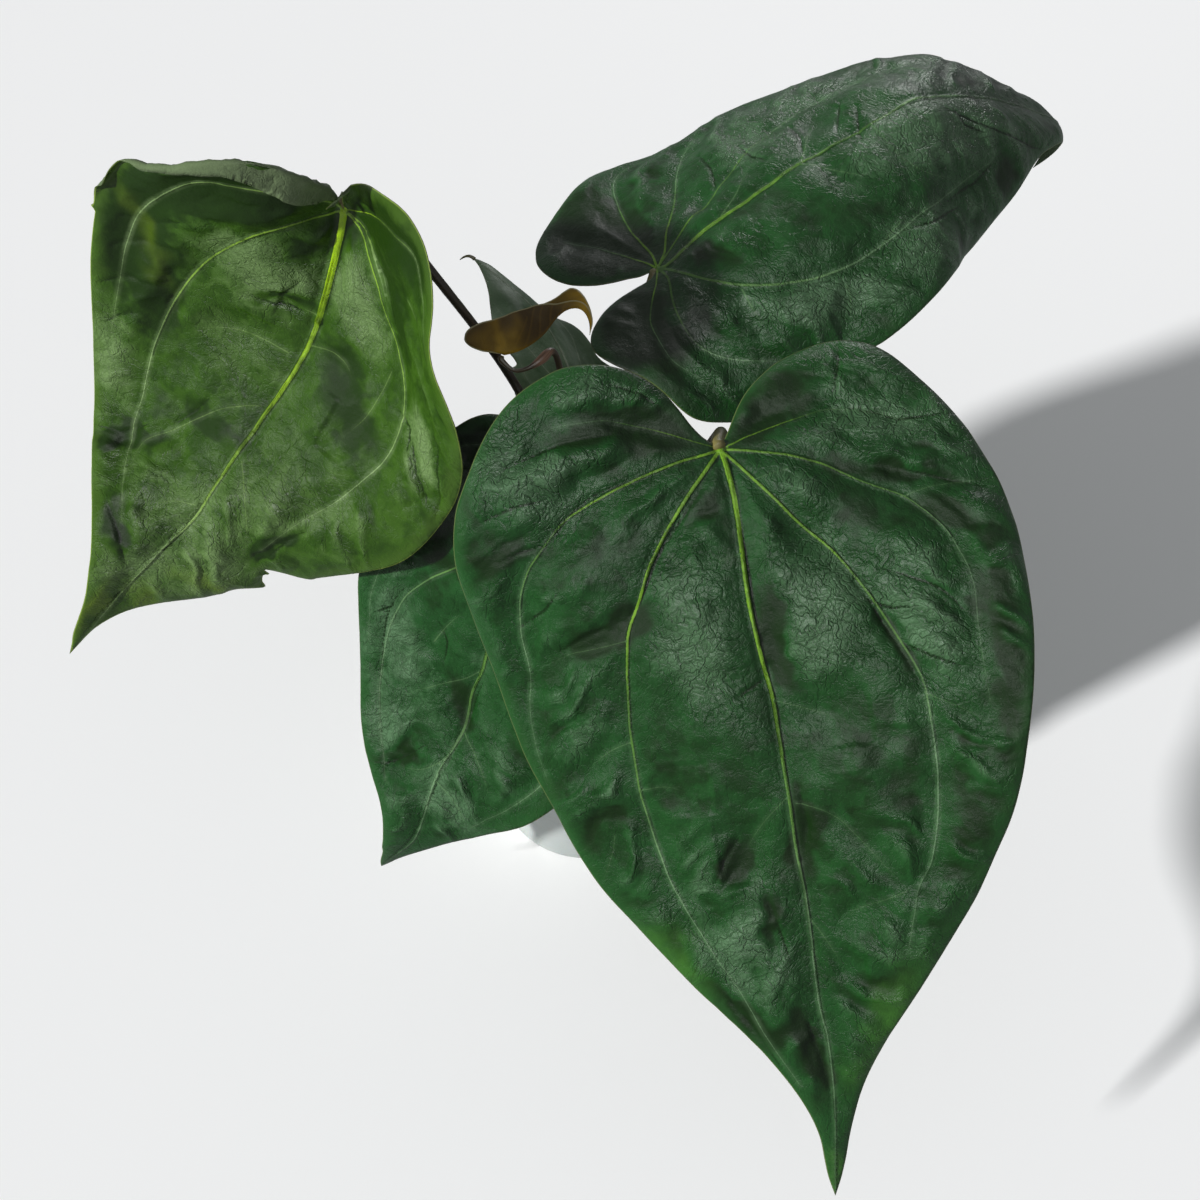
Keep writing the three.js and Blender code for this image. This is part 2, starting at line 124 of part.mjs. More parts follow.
      [-4.3, 25.1, 176.2], [-8.6, 33.4, 178.6], [-12.6, 42, 181], [-15.9, 50.2, 185.6], [-17.9, 57.5, 192.3], [-21.6, 65.7, 195.7], [-26.6, 73.6, 199.7], [-31.4, 81.3, 199.5], [-37.2, 87.2, 190.7], [-44.1, 94.6, 196], [-51.7, 101.5, 194.3], [-58.3, 108.8, 192.5], [-64.7, 116.2, 191],
      [-13.3, 21.8, 175.2], [-17.1, 30.2, 178.4], [-20.7, 38.6, 182.1], [-24.2, 46.9, 186.7], [-25.3, 53.2, 195], [-25.4, 60.2, 202.7], [-34, 68.4, 200.9], [-38.6, 77.2, 203.3], [-43.7, 82.5, 194.9], [-50.1, 89.3, 194.7], [-57.2, 96.2, 193.5], [-64, 103.3, 191.8], [-70.6, 110.5, 190.2],
      [-22.1, 18.9, 174.7], [-25.6, 27.3, 178.5], [-29, 35.7, 182.8], [-31.9, 43.6, 188.2], [-32.6, 49.9, 196.8], [-32.5, 56.3, 205.1], [-39.1, 63.8, 204.4], [-44.6, 71.7, 204.1], [-50.1, 77.9, 198.9], [-56.2, 84.5, 196.1], [-62.9, 91.2, 193.9], [-69.7, 98.1, 191.9], [-76.3, 105.1, 189.9],
      [-30.7, 16, 174.6], [-34, 24.3, 179], [-36.9, 32.4, 184], [-39, 39.9, 190.4], [-39.7, 46.3, 198.5], [-40.6, 52.6, 205.5], [-45.2, 59.4, 206.6], [-50.6, 66.6, 205.5], [-56.2, 73.1, 201.5], [-62.3, 79.6, 197.9], [-68.8, 86.2, 195], [-75.4, 92.9, 192.4], [-82.1, 99.8, 190.1],
    ],
    right: [[0.0, 0.0], [4.3, -6.0], [10.3, -9.9], [17.2, -8.2], [21.9, -2.7], [25.2, 3.9], [26.5, 11.1], [24.6, 17.3], [24.7, 23.7], [23.7, 30.9], [21.4, 37.8], [18.2, 44.5], [14.2, 50.6], [9.5, 56.3], [5.4, 62.4], [2.2, 69.0], [0.0, 76.0]],
    left: [[0.0, 0.0], [-4.3, -6.0], [-10.4, -10.0], [-17.2, -8.2], [-22.0, -2.6], [-25.2, 4.0], [-26.6, 11.3], [-26.0, 18.6], [-25.2, 25.9], [-23.1, 33.0], [-20.4, 39.7], [-15.7, 44.8], [-15.0, 51.8], [-9.0, 56.0], [-4.8, 62.1], [-2.1, 68.9], [0.0, 76.0]],
  },
  new: {
    length: 44.3,
    rect: [-16.00, 16.00, -16.00, 50.50],
    rows: 17,
    net: [
      [-48.8, 48.9, 238.4], [-42.8, 50, 236.7], [-37.1, 51.4, 235.2], [-31.7, 52.9, 233.6], [-29.5, 54.1, 232.7], [-28.3, 55, 232.2], [-27, 56.1, 232.3], [-26.3, 57.4, 232.6], [-23, 60.4, 235], [-11.9, 64.9, 242.2], [6.8, 60.4, 243.9], [18.5, 48.7, 234.8], [18.9, 41.1, 227.9], [19.1, 39.2, 226.2], [14.8, 45.4, 230.3],
      [-49.2, 47.9, 236.4], [-43.1, 48.9, 234.7], [-37.6, 50.4, 233.3], [-31.2, 51.8, 231.6], [-29.3, 53, 230.9], [-27.7, 53.8, 230.5], [-25.3, 55.1, 231.2], [-24.6, 56, 231.2], [-22.7, 58.2, 232.2], [-13.2, 65.7, 241.5], [7.4, 61.3, 244.7], [18.9, 47.8, 232.6], [15.4, 41.2, 226.6], [17.5, 38.6, 224.9], [11.3, 47.9, 231.2],
      [-49.4, 46.9, 234.5], [-43.3, 47.7, 232.8], [-37.8, 49.1, 231.4], [-31.4, 50.4, 229.7], [-29, 51.6, 229], [-26.8, 52.4, 228.9], [-24.1, 53.8, 229.7], [-22.8, 54.9, 230.2], [-20.7, 57.3, 231.5], [-11.9, 64, 239.7], [6.2, 60.2, 242.4], [16.4, 48.1, 231.8], [13.3, 42.1, 226.5], [15.4, 38.7, 224.2], [8.2, 49, 231.2],
      [-49.3, 45.8, 232.5], [-43.6, 46.6, 230.8], [-38, 47.9, 229.5], [-31.7, 49.1, 227.9], [-28.8, 50.3, 227.2], [-26, 51, 227.3], [-22.8, 52.5, 228.3], [-21, 53.9, 229.1], [-18.9, 56.4, 230.7], [-10.9, 62.4, 237.9], [5.2, 59.3, 240.3], [14, 48.4, 231.1], [11.3, 42.7, 226.2], [12.9, 39.4, 223.9], [7.3, 47, 229],
      [-49.1, 44.7, 230.5], [-43.9, 45.4, 228.9], [-38.1, 46.6, 227.6], [-31.9, 47.8, 226], [-28.5, 48.9, 225.3], [-25.1, 49.6, 225.6], [-21.6, 51.2, 226.9], [-19.2, 52.8, 228.1], [-16.9, 55.5, 230], [-9.8, 60.8, 236.2], [4, 58.3, 238.1], [11.6, 48.7, 230.3], [9.3, 43.4, 225.9], [10.5, 39.9, 223.5], [6.3, 45.2, 226.9],
      [-48.9, 43.6, 228.5], [-44.2, 44.3, 226.9], [-38.3, 45.4, 225.7], [-32.2, 46.6, 224.2], [-28.3, 47.6, 223.5], [-24.3, 48.3, 224], [-20.4, 49.9, 225.5], [-17.5, 51.8, 227], [-15.1, 54.6, 229.2], [-8.7, 59.2, 234.4], [3, 57.4, 236], [9.2, 49.1, 229.5], [7.4, 44, 225.6], [8, 40.5, 223.1], [5.3, 43.5, 224.9],
      [-48.7, 42.4, 226.5], [-44.5, 43.1, 225], [-38.4, 44.1, 223.8], [-32.4, 45.2, 222.4], [-28.1, 46.1, 221.6], [-23.4, 46.8, 222.4], [-19.1, 48.5, 224.1], [-15.7, 50.7, 226], [-13.2, 53.7, 228.4], [-7.6, 57.6, 232.7], [1.9, 56.4, 233.9], [6.7, 49.4, 228.8], [5.4, 44.6, 225.3], [5.5, 41, 222.8], [4.3, 41.8, 222.9],
      [-48.6, 41.3, 224.4], [-44.9, 42.2, 223], [-38.6, 43.1, 221.9], [-32.7, 44.1, 220.5], [-27.8, 44.9, 219.8], [-22.6, 45.6, 220.8], [-17.9, 47.4, 222.7], [-14, 49.7, 224.9], [-11.4, 52.9, 227.7], [-6.6, 56.2, 231], [0.9, 55.7, 231.7], [4.5, 49.8, 227.9], [3.5, 45.3, 224.9], [3.2, 41.7, 222.4], [3.3, 40, 220.8],
      [-48.5, 40.3, 223], [-45, 40.7, 221.4], [-38.7, 41.6, 220.3], [-32.8, 42.5, 218.9], [-27.6, 43.4, 218.2], [-21.8, 44, 219.4], [-16.7, 45.9, 221.4], [-12.2, 48.5, 224], [-9.5, 51.9, 227], [-5.5, 54.4, 229.4], [-0.3, 54.4, 229.9], [2, 49.9, 227.4], [1.5, 45.8, 224.9], [0.8, 42, 222.1], [2.1, 38.8, 219.5],
      [-48.5, 42, 223.4], [-45.2, 42.7, 222.2], [-38.8, 43.6, 221.2], [-32.9, 44.5, 219.8], [-27.8, 45.4, 219.2], [-22.5, 46, 220.3], [-17.9, 47.7, 222.2], [-13.9, 50, 224.5], [-11.3, 53.1, 227.3], [-6.5, 56.6, 230.4], [1.1, 56.3, 230.8], [4.5, 50.2, 227.1], [3.5, 45.7, 224.3], [3.3, 42, 221.9], [3.1, 40.8, 220],
      [-48.6, 44.4, 223.8], [-45.5, 44.9, 222.5], [-39, 45.8, 221.6], [-33.2, 46.6, 220.4], [-28, 47.5, 219.8], [-23.2, 48, 220.8], [-18.9, 49.5, 222.7], [-15.5, 51.6, 224.6], [-12.9, 54.4, 227.5], [-7.5, 58.8, 231], [2.4, 58.4, 231.2], [6.8, 50.7, 226.4], [5.3, 45.9, 223.5], [5.6, 42.2, 221.2], [3.8, 44.1, 220.8],
      [-48.6, 46.6, 224.3], [-45.7, 47.1, 223.1], [-39.2, 48, 222.2], [-33.4, 48.8, 221.1], [-28.3, 49.6, 220.7], [-23.9, 50.1, 221.5], [-20.1, 51.4, 223.4], [-17.1, 53.3, 225], [-14.7, 55.7, 227.8], [-8.5, 61, 231.9], [3.7, 60.5, 231.8], [9.3, 51.1, 225.9], [7.3, 46, 222.8], [8.2, 42.2, 220.7], [4.5, 47.2, 221.5],
      [-48.7, 48.9, 224.6], [-46, 49.3, 223.5], [-39.4, 50.2, 222.8], [-33.7, 50.9, 221.8], [-28.5, 51.7, 221.4], [-24.6, 52.2, 222.1], [-21.2, 53.3, 224], [-18.8, 54.9, 225.2], [-16.5, 57, 228], [-9.5, 63.3, 232.6], [5.1, 62.7, 232.3], [11.7, 51.5, 225.3], [9.2, 46.1, 222], [10.7, 42.3, 220.1], [5.3, 50.2, 222.2],
      [-48.7, 51.2, 225.1], [-46.3, 51.5, 224.1], [-39.5, 52.4, 223.4], [-33.9, 53.1, 222.5], [-28.8, 53.8, 222.3], [-25.3, 54.3, 222.8], [-22.4, 55.2, 224.6], [-20.4, 56.5, 225.5], [-18.3, 58.3, 228.2], [-10.6, 65.6, 233.4], [6.5, 64.8, 232.9], [14.2, 51.9, 224.8], [11.1, 46.2, 221.2], [13.2, 42.4, 219.6], [5.9, 53.5, 223],
      [-48.8, 53.5, 225.4], [-46.5, 53.7, 224.5], [-39.7, 54.6, 223.9], [-34.2, 55.2, 223.1], [-29, 56, 223], [-26, 56.3, 223.5], [-23.5, 57.1, 225.2], [-22.1, 58.2, 225.8], [-20, 59.6, 228.5], [-11.6, 67.9, 234.2], [7.8, 66.9, 233.5], [16.7, 52.3, 224.2], [13, 46.4, 220.5], [15.8, 42.4, 219], [6.4, 56.9, 223.9],
      [-49.7, 55.6, 225.8], [-46.7, 55.9, 225], [-39.9, 56.8, 224.5], [-34.4, 57.4, 223.8], [-29.3, 58.1, 223.8], [-26.6, 58.4, 224.2], [-24.6, 59, 225.9], [-23.7, 59.8, 226], [-21.9, 60.8, 228.6], [-12.8, 70.3, 235.1], [9.3, 69.2, 234.1], [19.2, 52.8, 223.6], [15.1, 46.1, 219.5], [17.9, 43.1, 218.7], [9.8, 56.2, 223.2],
      [-50.5, 57.8, 226.1], [-46.4, 58.2, 225.4], [-40.3, 58.9, 224.9], [-34.7, 59.6, 224.4], [-30, 60.1, 224.4], [-27.4, 60.4, 224.8], [-26.1, 60.8, 225.9], [-25.3, 61.7, 226.8], [-22.1, 64.2, 229.8], [-11.1, 70.6, 234.3], [8.3, 68.4, 232.7], [19.1, 55.1, 224.2], [18.9, 46.8, 219.3], [19.1, 45, 218.4], [13.5, 53.9, 221.6],
    ],
    right: [[0.0, 0.0], [1.3, -3.8], [2.4, -7.7], [4.9, -10.7], [8.5, -10.6], [11.0, -7.5], [12.1, -3.7], [12.7, 0.3], [12.9, 4.4], [12.6, 8.4], [12.1, 12.5], [11.3, 16.4], [9.8, 20.2], [7.7, 23.7], [6.4, 27.4], [8.0, 30.8], [5.1, 33.4], [2.6, 36.6], [1.3, 40.4], [0.0, 44.3]],
    left: [[0.0, 0.0], [-1.3, -3.8], [-2.2, -7.8], [-4.2, -11.1], [-8.0, -11.6], [-10.7, -8.6], [-12.1, -4.9], [-12.7, -0.8], [-13.0, 3.2], [-13.0, 7.3], [-12.8, 11.3], [-12.1, 15.3], [-10.6, 19.1], [-8.4, 22.5], [-5.4, 25.2], [-3.2, 28.4], [-2.9, 32.5], [-2.4, 36.5], [-1.5, 40.5], [0.0, 44.3]],
  }};

const wasm = await Module();
wasm.setup();

// ---- materials ----
const mat = (color, roughness, metalness = 0) => new THREE.MeshStandardMaterial({ color, roughness, metalness });
const M = {
  blade: mat(0x1d3f22, 0.42),
  bladeLight: mat(0x3f6326, 0.42),
  bladeDull: mat(0x4f6b4a, 0.6),
  bladeNew: mat(0x6b5a1e, 0.4),
  stalk: mat(0x4a3a2c, 0.55),
  stem: mat(0x5a4a34, 0.8),
  sheath: mat(0x8a6a45, 0.85),
  root: mat(0x8c7a5c, 0.8),
  pot: mat(0xb9bcbc, 0.45),
  soil: mat(0x33261b, 0.95),
  bark: mat(0x5c3d26, 0.9),
  perlite: mat(0xd8d4c8, 0.9),
};

// ---- helpers ----
function toManifold(geometry) {
  const g = geometry.clone();
  for (const name of Object.keys(g.attributes)) if (name !== 'position') g.deleteAttribute(name);
  const merged = mergeVertices(g, 1e-4);
  return new wasm.Manifold(new wasm.Mesh({
    numProp: 3,
    vertProperties: new Float32Array(merged.attributes.position.array),
    triVerts: new Uint32Array(merged.index.array),
  }));
}
function fromManifold(solid) {
  const m = solid.getMesh();
  const g = new THREE.BufferGeometry();
  g.setAttribute('position', new THREE.BufferAttribute(new Float32Array(m.vertProperties), 3));
  g.setIndex(new THREE.BufferAttribute(new Uint32Array(m.triVerts), 1));
  return g;
}
function fromLists(points, faces) {
  const g = new THREE.BufferGeometry();
  g.setAttribute('position', new THREE.BufferAttribute(new Float32Array(points.flat()), 3));
  g.setIndex(faces.flat());
  return g;
}
const group = new THREE.Group();
function add(name, geometry, material) {
  const mesh = new THREE.Mesh(geometry, material);
  mesh.name = name;
  group.add(mesh);
  return mesh;
}
// a repeatable source of small differences between like pieces
function seeded(seed) {
  let s = seed;
  return () => {
    s = (s * 1664525 + 1013904223) % 4294967296;
    return s / 4294967296;
  };
}

// ---- blade surface ----
function spline(x, x0, x1, n) {
  const u = ((x - x0) / (x1 - x0)) * (n - 3);
  const i = Math.min(Math.max(Math.floor(u), 0), n - 4);
  const f = u - i;
  return [i, [(1 - f) ** 3 / 6, (3 * f ** 3 - 6 * f * f + 4) / 6, (-3 * f ** 3 + 3 * f * f + 3 * f + 1) / 6, f ** 3 / 6]];
}
function surface(leaf) {
  const [a0, a1, b0, b1] = leaf.rect;
  const na = leaf.rows;
  const nb = leaf.net.length / na;
  const at = (a, b) => {
    const [i, A] = spline(a, a0, a1, na);
    const [j, B] = spline(b, b0, b1, nb);
    const p = new THREE.Vector3();
    for (let k = 0; k < 4; k++) {
      for (let l = 0; l < 4; l++) {
        const c = leaf.net[(i + k) * nb + j + l];
        const w = A[k] * B[l];
        p.x += c[0] * w;
        p.y += c[1] * w;
        p.z += c[2] * w;
      }
    }
    return p;
  };
  // the way the upper face looks
  const normal = (a, b) => {
    const h = leaf.length * 0.004;
    const da = at(a + h, b).sub(at(a - h, b));
    const db = at(a, b + h).sub(at(a, b - h));
    return db.cross(da).normalize();
  };
  return { at, normal };
}

// A closed thin solid: rows go from the notch at the stalk to the tip, columns from the midrib to
// the margin on each side.
function blade(leaf, columns, edge, middle, rib) {
  const { at, normal } = surface(leaf);
  const n = leaf.right.length;
  const m = columns.length - 1;
  const flat = []; // [a, b, thickness]
  const key = new Map();
  const vertex = (i, j, side) => {
    const end = i === 0 || i === n - 1;
    const id = end ? `${i}` : j === 0 ? `${i}:0` : `${i}:${j}:${side}`;
    if (!key.has(id)) {
      const t = i / (n - 1);
      const mid = [0, leaf.length * t ** 1.35];
      const out = (side > 0 ? leaf.right : leaf.left)[i];
      const r = end ? 1 : columns[j];
      const a = mid[0] + (out[0] - mid[0]) * r;
      const b = mid[1] + (out[1] - mid[1]) * r;
      const across = Math.abs(a) / (leaf.length * 0.013);
      let h = edge + (middle - edge) * Math.sin(Math.min(1, 1.6 * (1 - r)) * Math.PI / 2);
      h += (rib - middle) * Math.exp(-across * across) * Math.min(1, (1 - t) * 1.6) * (end ? 0 : 1);
      key.set(id, flat.length);
      flat.push([a, b, j === m || end ? edge : h]);
    }
    return key.get(id);
  };
  const upper = [];
  for (const side of [1, -1]) {
    for (let i = 0; i < n - 1; i++) {
      for (let j = 0; j < m; j++) {
        const p = vertex(i, j, side);
        const q = vertex(i + 1, j, side);
        const r = vertex(i + 1, j + 1, side);
        const s = vertex(i, j + 1, side);
        const tris = [[p, q, r], [p, r, s]];
        for (const t of tris) {
          if (new Set(t).size === 3) upper.push(side > 0 ? t : [t[0], t[2], t[1]]);
        }
      }
    }
  }
  const count = flat.length;
  const points = [];
  for (const sign of [1, -1]) {
    for (const [a, b, h] of flat) {
      const p = at(a, b);
      // the rib stands out below, so the upper face stays at an even height
      const up = sign > 0 ? Math.min(h, middle) / 2 : h - Math.min(h, middle) / 2;
      const q = p.addScaledVector(normal(a, b), sign * up);
      points.push([q.x, q.y, q.z]);
    }
  }
  const faces = [...upper, ...upper.map(([p, q, r]) => [p + count, r + count, q + count])];
  const loop = [];
  for (let i = 0; i < n; i++) loop.push(vertex(i, m, 1));
  for (let i = n - 2; i > 0; i--) loop.push(vertex(i, m, -1));
  for (let i = 0; i < loop.length; i++) {
    const p = loop[i];
    const q = loop[(i + 1) % loop.length];
    faces.push([p, q, p + count], [q, q + count, p + count]);
  }
  return fromLists(points, faces);
}

// ---- tube along a curve, with its radius changing along it ----
function tube(path, radii, sides, steps) {
  const curve = new THREE.CatmullRomCurve3(path.map((p) => new THREE.Vector3(...p)), false, 'centripetal');
  const frames = curve.computeFrenetFrames(steps, false);
  const points = [];
  const faces = [];
  const radius = (t) => {
    const u = t * (radii.length - 1);
    const i = Math.min(Math.floor(u), radii.length - 2);
    return radii[i] + (radii[i + 1] - radii[i]) * (u - i);
  };
  for (let k = 0; k <= steps; k++) {
    const p = curve.getPointAt(k / steps);
    const r = radius(k / steps);
    for (let s = 0; s < sides; s++) {
      const w = (s / sides) * Math.PI * 2;
      const q = p.clone()
        .addScaledVector(frames.normals[k], Math.cos(w) * r)
        .addScaledVector(frames.binormals[k], Math.sin(w) * r);
      points.push([q.x, q.y, q.z]);
    }
  }
  for (let k = 0; k < steps; k++) {
    for (let s = 0; s < sides; s++) {
      const a = k * sides + s;
      const b = k * sides + ((s + 1) % sides);
      faces.push([a, b, a + sides], [b, b + sides, a + sides]);
    }
  }
  const first = points.length;
  const p0 = curve.getPointAt(0);
  const p1 = curve.getPointAt(1);
  points.push([p0.x, p0.y, p0.z], [p1.x, p1.y, p1.z]);
  for (let s = 0; s < sides; s++) {
    const t = (s + 1) % sides;
    faces.push([first, t, s]);
    faces.push([first + 1, steps * sides + s, steps * sides + t]);
  }
  return fromLists(points, faces);
}

// ---- pot: a tapered cup with a stepped rim and a ring of round drain holes ----
{
  const at = (z) => POT_BOTTOM_RADIUS + (POT_TOP_RADIUS - POT_BOTTOM_RADIUS) * (z / POT_HEIGHT);
  const lip = POT_HEIGHT - RIM_HEIGHT;
  const profile = [
    [0, 0], [POT_BOTTOM_RADIUS - 1, 0], [POT_BOTTOM_RADIUS, 1], [at(lip), lip - 1.5], [RIM_RADIUS - 0.8, lip],
    [RIM_RADIUS, POT_HEIGHT - 0.8], [RIM_RADIUS - 0.6, POT_HEIGHT], [RIM_RADIUS - 1.6, POT_HEIGHT],
    [at(lip) + 1.2, lip + 1.6], [at(lip) - POT_WALL, lip - 1], [POT_BOTTOM_RADIUS - POT_WALL + 0.3, 2.4],
    [POT_BOTTOM_RADIUS - 2.6, POT_WALL], [0, POT_WALL],
  ].map(([r, z]) => new THREE.Vector2(r, z));
  const cup = new THREE.LatheGeometry(profile, 48).rotateX(Math.PI / 2);
  let solid = toManifold(cup);
  for (let k = 0; k < DRAIN_COUNT; k++) {
    const w = ((k + 0.5) / DRAIN_COUNT) * Math.PI * 2;
    const drill = new THREE.CylinderGeometry(DRAIN_RADIUS, DRAIN_RADIUS, 8, 14).rotateX(Math.PI / 2)
      .translate(Math.cos(w) * DRAIN_CIRCLE, Math.sin(w) * DRAIN_CIRCLE, 0.5);
    solid = solid.subtract(toManifold(drill));
  }
  add('pot', fromManifold(solid), M.pot);

  // the potting mix, a little lower than the rim and slightly crowned
  const inner = (z) => at(z) - POT_WALL - GAP;
  const mix = [
    [0, POT_WALL + GAP], [POT_BOTTOM_RADIUS - 4, POT_WALL + GAP], [inner(3) - 0.6, 3.4], [inner(lip) - 0.6, lip - 2],
    [inner(lip) - 1.4, SOIL_TOP - 2], [38, SOIL_TOP - 0.6], [24, SOIL_TOP + 0.4], [0, SOIL_TOP + 0.8],
  ].map(([r, z]) => new THREE.Vector2(r, z));
  add('substrate', new THREE.LatheGeometry(mix, 36).rotateX(Math.PI / 2), M.soil);
}
const soilAt = (r) => (r < 24 ? SOIL_TOP + 0.8 - 0.4 * (r / 24) : r < 38 ? SOIL_TOP + 0.4 - (r - 24) / 14 : SOIL_TOP - 0.6);

// ---- stem: a short ringed column with a blunt top ----
const stemAt = (z) => (z < 100 ? STEM_RADIUS : STEM_RADIUS - 2.2 * ((z - 100) / (STEM_TOP - 100)) ** 2);
{
  const z0 = SOIL_TOP + 0.8 + GAP;
  const profile = [[0, z0], [STEM_RADIUS + 0.4, z0], [STEM_RADIUS + 0.6, z0 + 3], [STEM_RADIUS - 0.2, z0 + 6],
    [STEM_RADIUS, z0 + 12], [STEM_RADIUS - 0.5, z0 + 14], [STEM_RADIUS, 100], [stemAt(106), 106], [stemAt(STEM_TOP), STEM_TOP - 2],
    [3, STEM_TOP], [0, STEM_TOP]].map(([r, z]) => new THREE.Vector2(r, z));
  add('stem', new THREE.LatheGeometry(profile, 20).rotateX(Math.PI / 2).translate(0, STEM_Y, 0), M.stem);
}
// a point just outside the stem's side, for a tube of radius r that starts there
const fromStem = (deg, z, r) => {
  const w = (deg / 180) * Math.PI;
  const d = stemAt(z) + r + GAP + 0.25;
  return [Math.cos(w) * d, STEM_Y + Math.sin(w) * d, z];
};

// ---- blades ----
const COLUMNS = [0, 0.07, 0.3, 0.55, 0.8, 1];
add('leaf_front', blade(LEAVES.front, COLUMNS, BLADE_EDGE, BLADE_MIDDLE, MIDRIB), M.blade);
add('leaf_left', blade(LEAVES.left, COLUMNS, BLADE_EDGE, BLADE_MIDDLE, MIDRIB), M.bladeLight);
add('leaf_low', blade(LEAVES.low, COLUMNS, BLADE_EDGE, BLADE_MIDDLE, MIDRIB), M.blade);
add('leaf_back', blade(LEAVES.back, COLUMNS, BLADE_EDGE, BLADE_MIDDLE, MIDRIB), M.blade);
add('leaf_small', blade(LEAVES.small, [0, 0.12, 0.5, 1], BLADE_EDGE, 0.8, 1.4), M.bladeDull);
add('leaf_new', blade(LEAVES.new, [0, 0.14, 0.5, 1], 0.5, 0.7, 1.2), M.bladeNew);

// ---- stalks: each leaves the stem's side, rises, bends over and ends just under its blade ----
// the end lies below the blade's underside and a little behind the notch
function under(leaf, down, back) {
  const { at, normal } = surface(leaf);
  const p = at(0, 0);
  const b = at(0, leaf.length * 0.01).sub(p).normalize();
  return p.addScaledVector(normal(0, 0), -down).addScaledVector(b, -back).toArray();
}
const STALKS = {
  front: { from: fromStem(-12, 96, 2.4), by: [[13.5, 2.5, 112], [20, 8, 145], [30, 12, 175], [39, 12.5, 198], [44, 11, 212], [45.2, 6.8, 219.5]], to: under(LEAVES.front, 2.9, 1.6), radii: [2.4, 2.0, 1.9, 1.8, 1.8, 1.9, 2.2], steps: 22 },
  left: { from: fromStem(135, 100, 2.4), by: [[-9.5, 13.5, 120], [-13, 27, 155], [-17.5, 41, 185], [-29.3, 52.5, 206.6], [-52, 64.2, 238.5], [-62, 71.5, 248.5], [-70.5, 77.5, 255]], to: under(LEAVES.left, 4.6, 1.2), radii: [2.4, 2.0, 1.8, 1.7, 1.6, 1.6, 1.7, 2.0], steps: 24 },
  low: { from: fromStem(205, 93, 2.2), by: [[-12.5, 1, 108], [-14, 7, 135], [-16, 13, 160], [-17.5, 18, 175], [-18.2, 17.6, 182]], to: under(LEAVES.low, 2.9, 1.6), radii: [2.2, 1.8, 1.6, 1.6, 1.7, 1.9], steps: 18 },
  back: { from: fromStem(62, 97, 2.4), by: [[6.8, 16, 116], [9, 27, 145], [12.5, 45, 172], [18, 66, 195], [22.5, 80, 207]], to: under(LEAVES.back, 2.9, 1.6), radii: [2.4, 2.0, 1.8, 1.7, 1.7, 2.1], steps: 20 },
  small: { from: fromStem(98, 90, 1.7), by: [[-1.6, 16.5, 104], [-1.2, 26, 128], [-0.6, 40, 152], [-1.2, 50, 167]], to: under(LEAVES.small, 2.2, 1.2), radii: [1.7, 1.4, 1.2, 1.2, 1.3], steps: 16 },
  new: { from: [0, STEM_Y + 1, STEM_TOP + GAP + 0.1], by: [[-0.6, 6.5, 122], [-3, 22, 150], [-5.5, 37, 183], [-7.4, 45.5, 202], [-9.1, 48.8, 211.5], [-11.2, 48.4, 215.6], [-14.2, 44.6, 215.4], [-18.6, 41.2, 214.6], [-23.6, 39.4, 215.2]], to: under(LEAVES.new, 2.1, 0.2), radii: [1.6, 1.4, 1.2, 1.1, 1.1, 1.2, 1.2, 1.1, 1.2], steps: 34 },
};
for (const [name, s] of Object.entries(STALKS)) {
  add(`petiole_${name}`, tube([s.from, ...s.by, s.to], s.radii, 8, s.steps), M.stalk);
}

// ---- sheaths: thin pointed scales that stand round the stem ----
function scale(deg, half, z0, height, lean) {
  const across = 6;
  const up = 6;
  const points = [];
  const faces = [];
  for (const skin of [0, 1]) {
    for (let i = 0; i <= up; i++) {
      const t = i / up;
      const width = half * (1 - t ** 2.2) + 0.03;
      for (let j = 0; j <= across; j++) {
        const w = ((deg + width * ((j / across) * 2 - 1)) / 180) * Math.PI;
        const r = STEM_RADIUS + 1.1 + lean * t * t + skin * 0.8;
        points.push([Math.cos(w) * r, STEM_Y + Math.sin(w) * r, z0 + height * t]);
      }
    }
  }
  const row = across + 1;
  const skin = row * (up + 1);
  const quad = (a, b, c, d) => faces.push([a, b, c], [a, c, d]);
  for (let i = 0; i < up; i++) {
    for (let j = 0; j < across; j++) {
      const a = i * row + j;
      quad(a, a + row, a + row + 1, a + 1);
      quad(skin + a, skin + a + 1, skin + a + row + 1, skin + a + row);
    }
    const l = i * row;
    const r = l + across;
    quad(l, skin + l, skin + l + row, l + row);
    quad(r, r + row, skin + r + row, skin + r);
  }
  for (let j = 0; j < across; j++) {
    quad(j, j + 1, skin + j + 1, skin + j);
    const a = up * row + j;
    quad(a, skin + a, skin + a + 1, a + 1);
  }
  return fromLists(points, faces);
}
add('cataphyll_1', scale(255, 30, 84.6, 24, 3.0), M.sheath);
add('cataphyll_2', scale(308, 20, 84.6, 21, 2.2), M.sheath);
add('cataphyll_3', scale(168, 14, 82, 24, 2.6), M.sheath);

// ---- roots: thick ones that leave the stem low down and dip to the mix ----
function root(deg, z, reach, r) {
  const w = (deg / 180) * Math.PI;
  const p = (d, h) => [Math.cos(w) * d, STEM_Y + Math.sin(w) * d, h];
  const start = STEM_RADIUS + 0.6 + GAP + 0.5;
  const low = soilAt(reach) + r + GAP + 0.25;
  return tube([p(start, z), p(start + 3, z + 0.6), p((start + reach) * 0.55, z - 0.3), p(reach - 3, low + 0.8), p(reach, low)], [r, r, r, r * 0.95, r * 0.85], 8, 9);
}
add('root_1', root(232, 81.6, 24, 1.5), M.root);
add('root_2', root(283, 81.4, 21, 1.4), M.root);
add('root_3', root(20, 81.6, 23, 1.5), M.root);

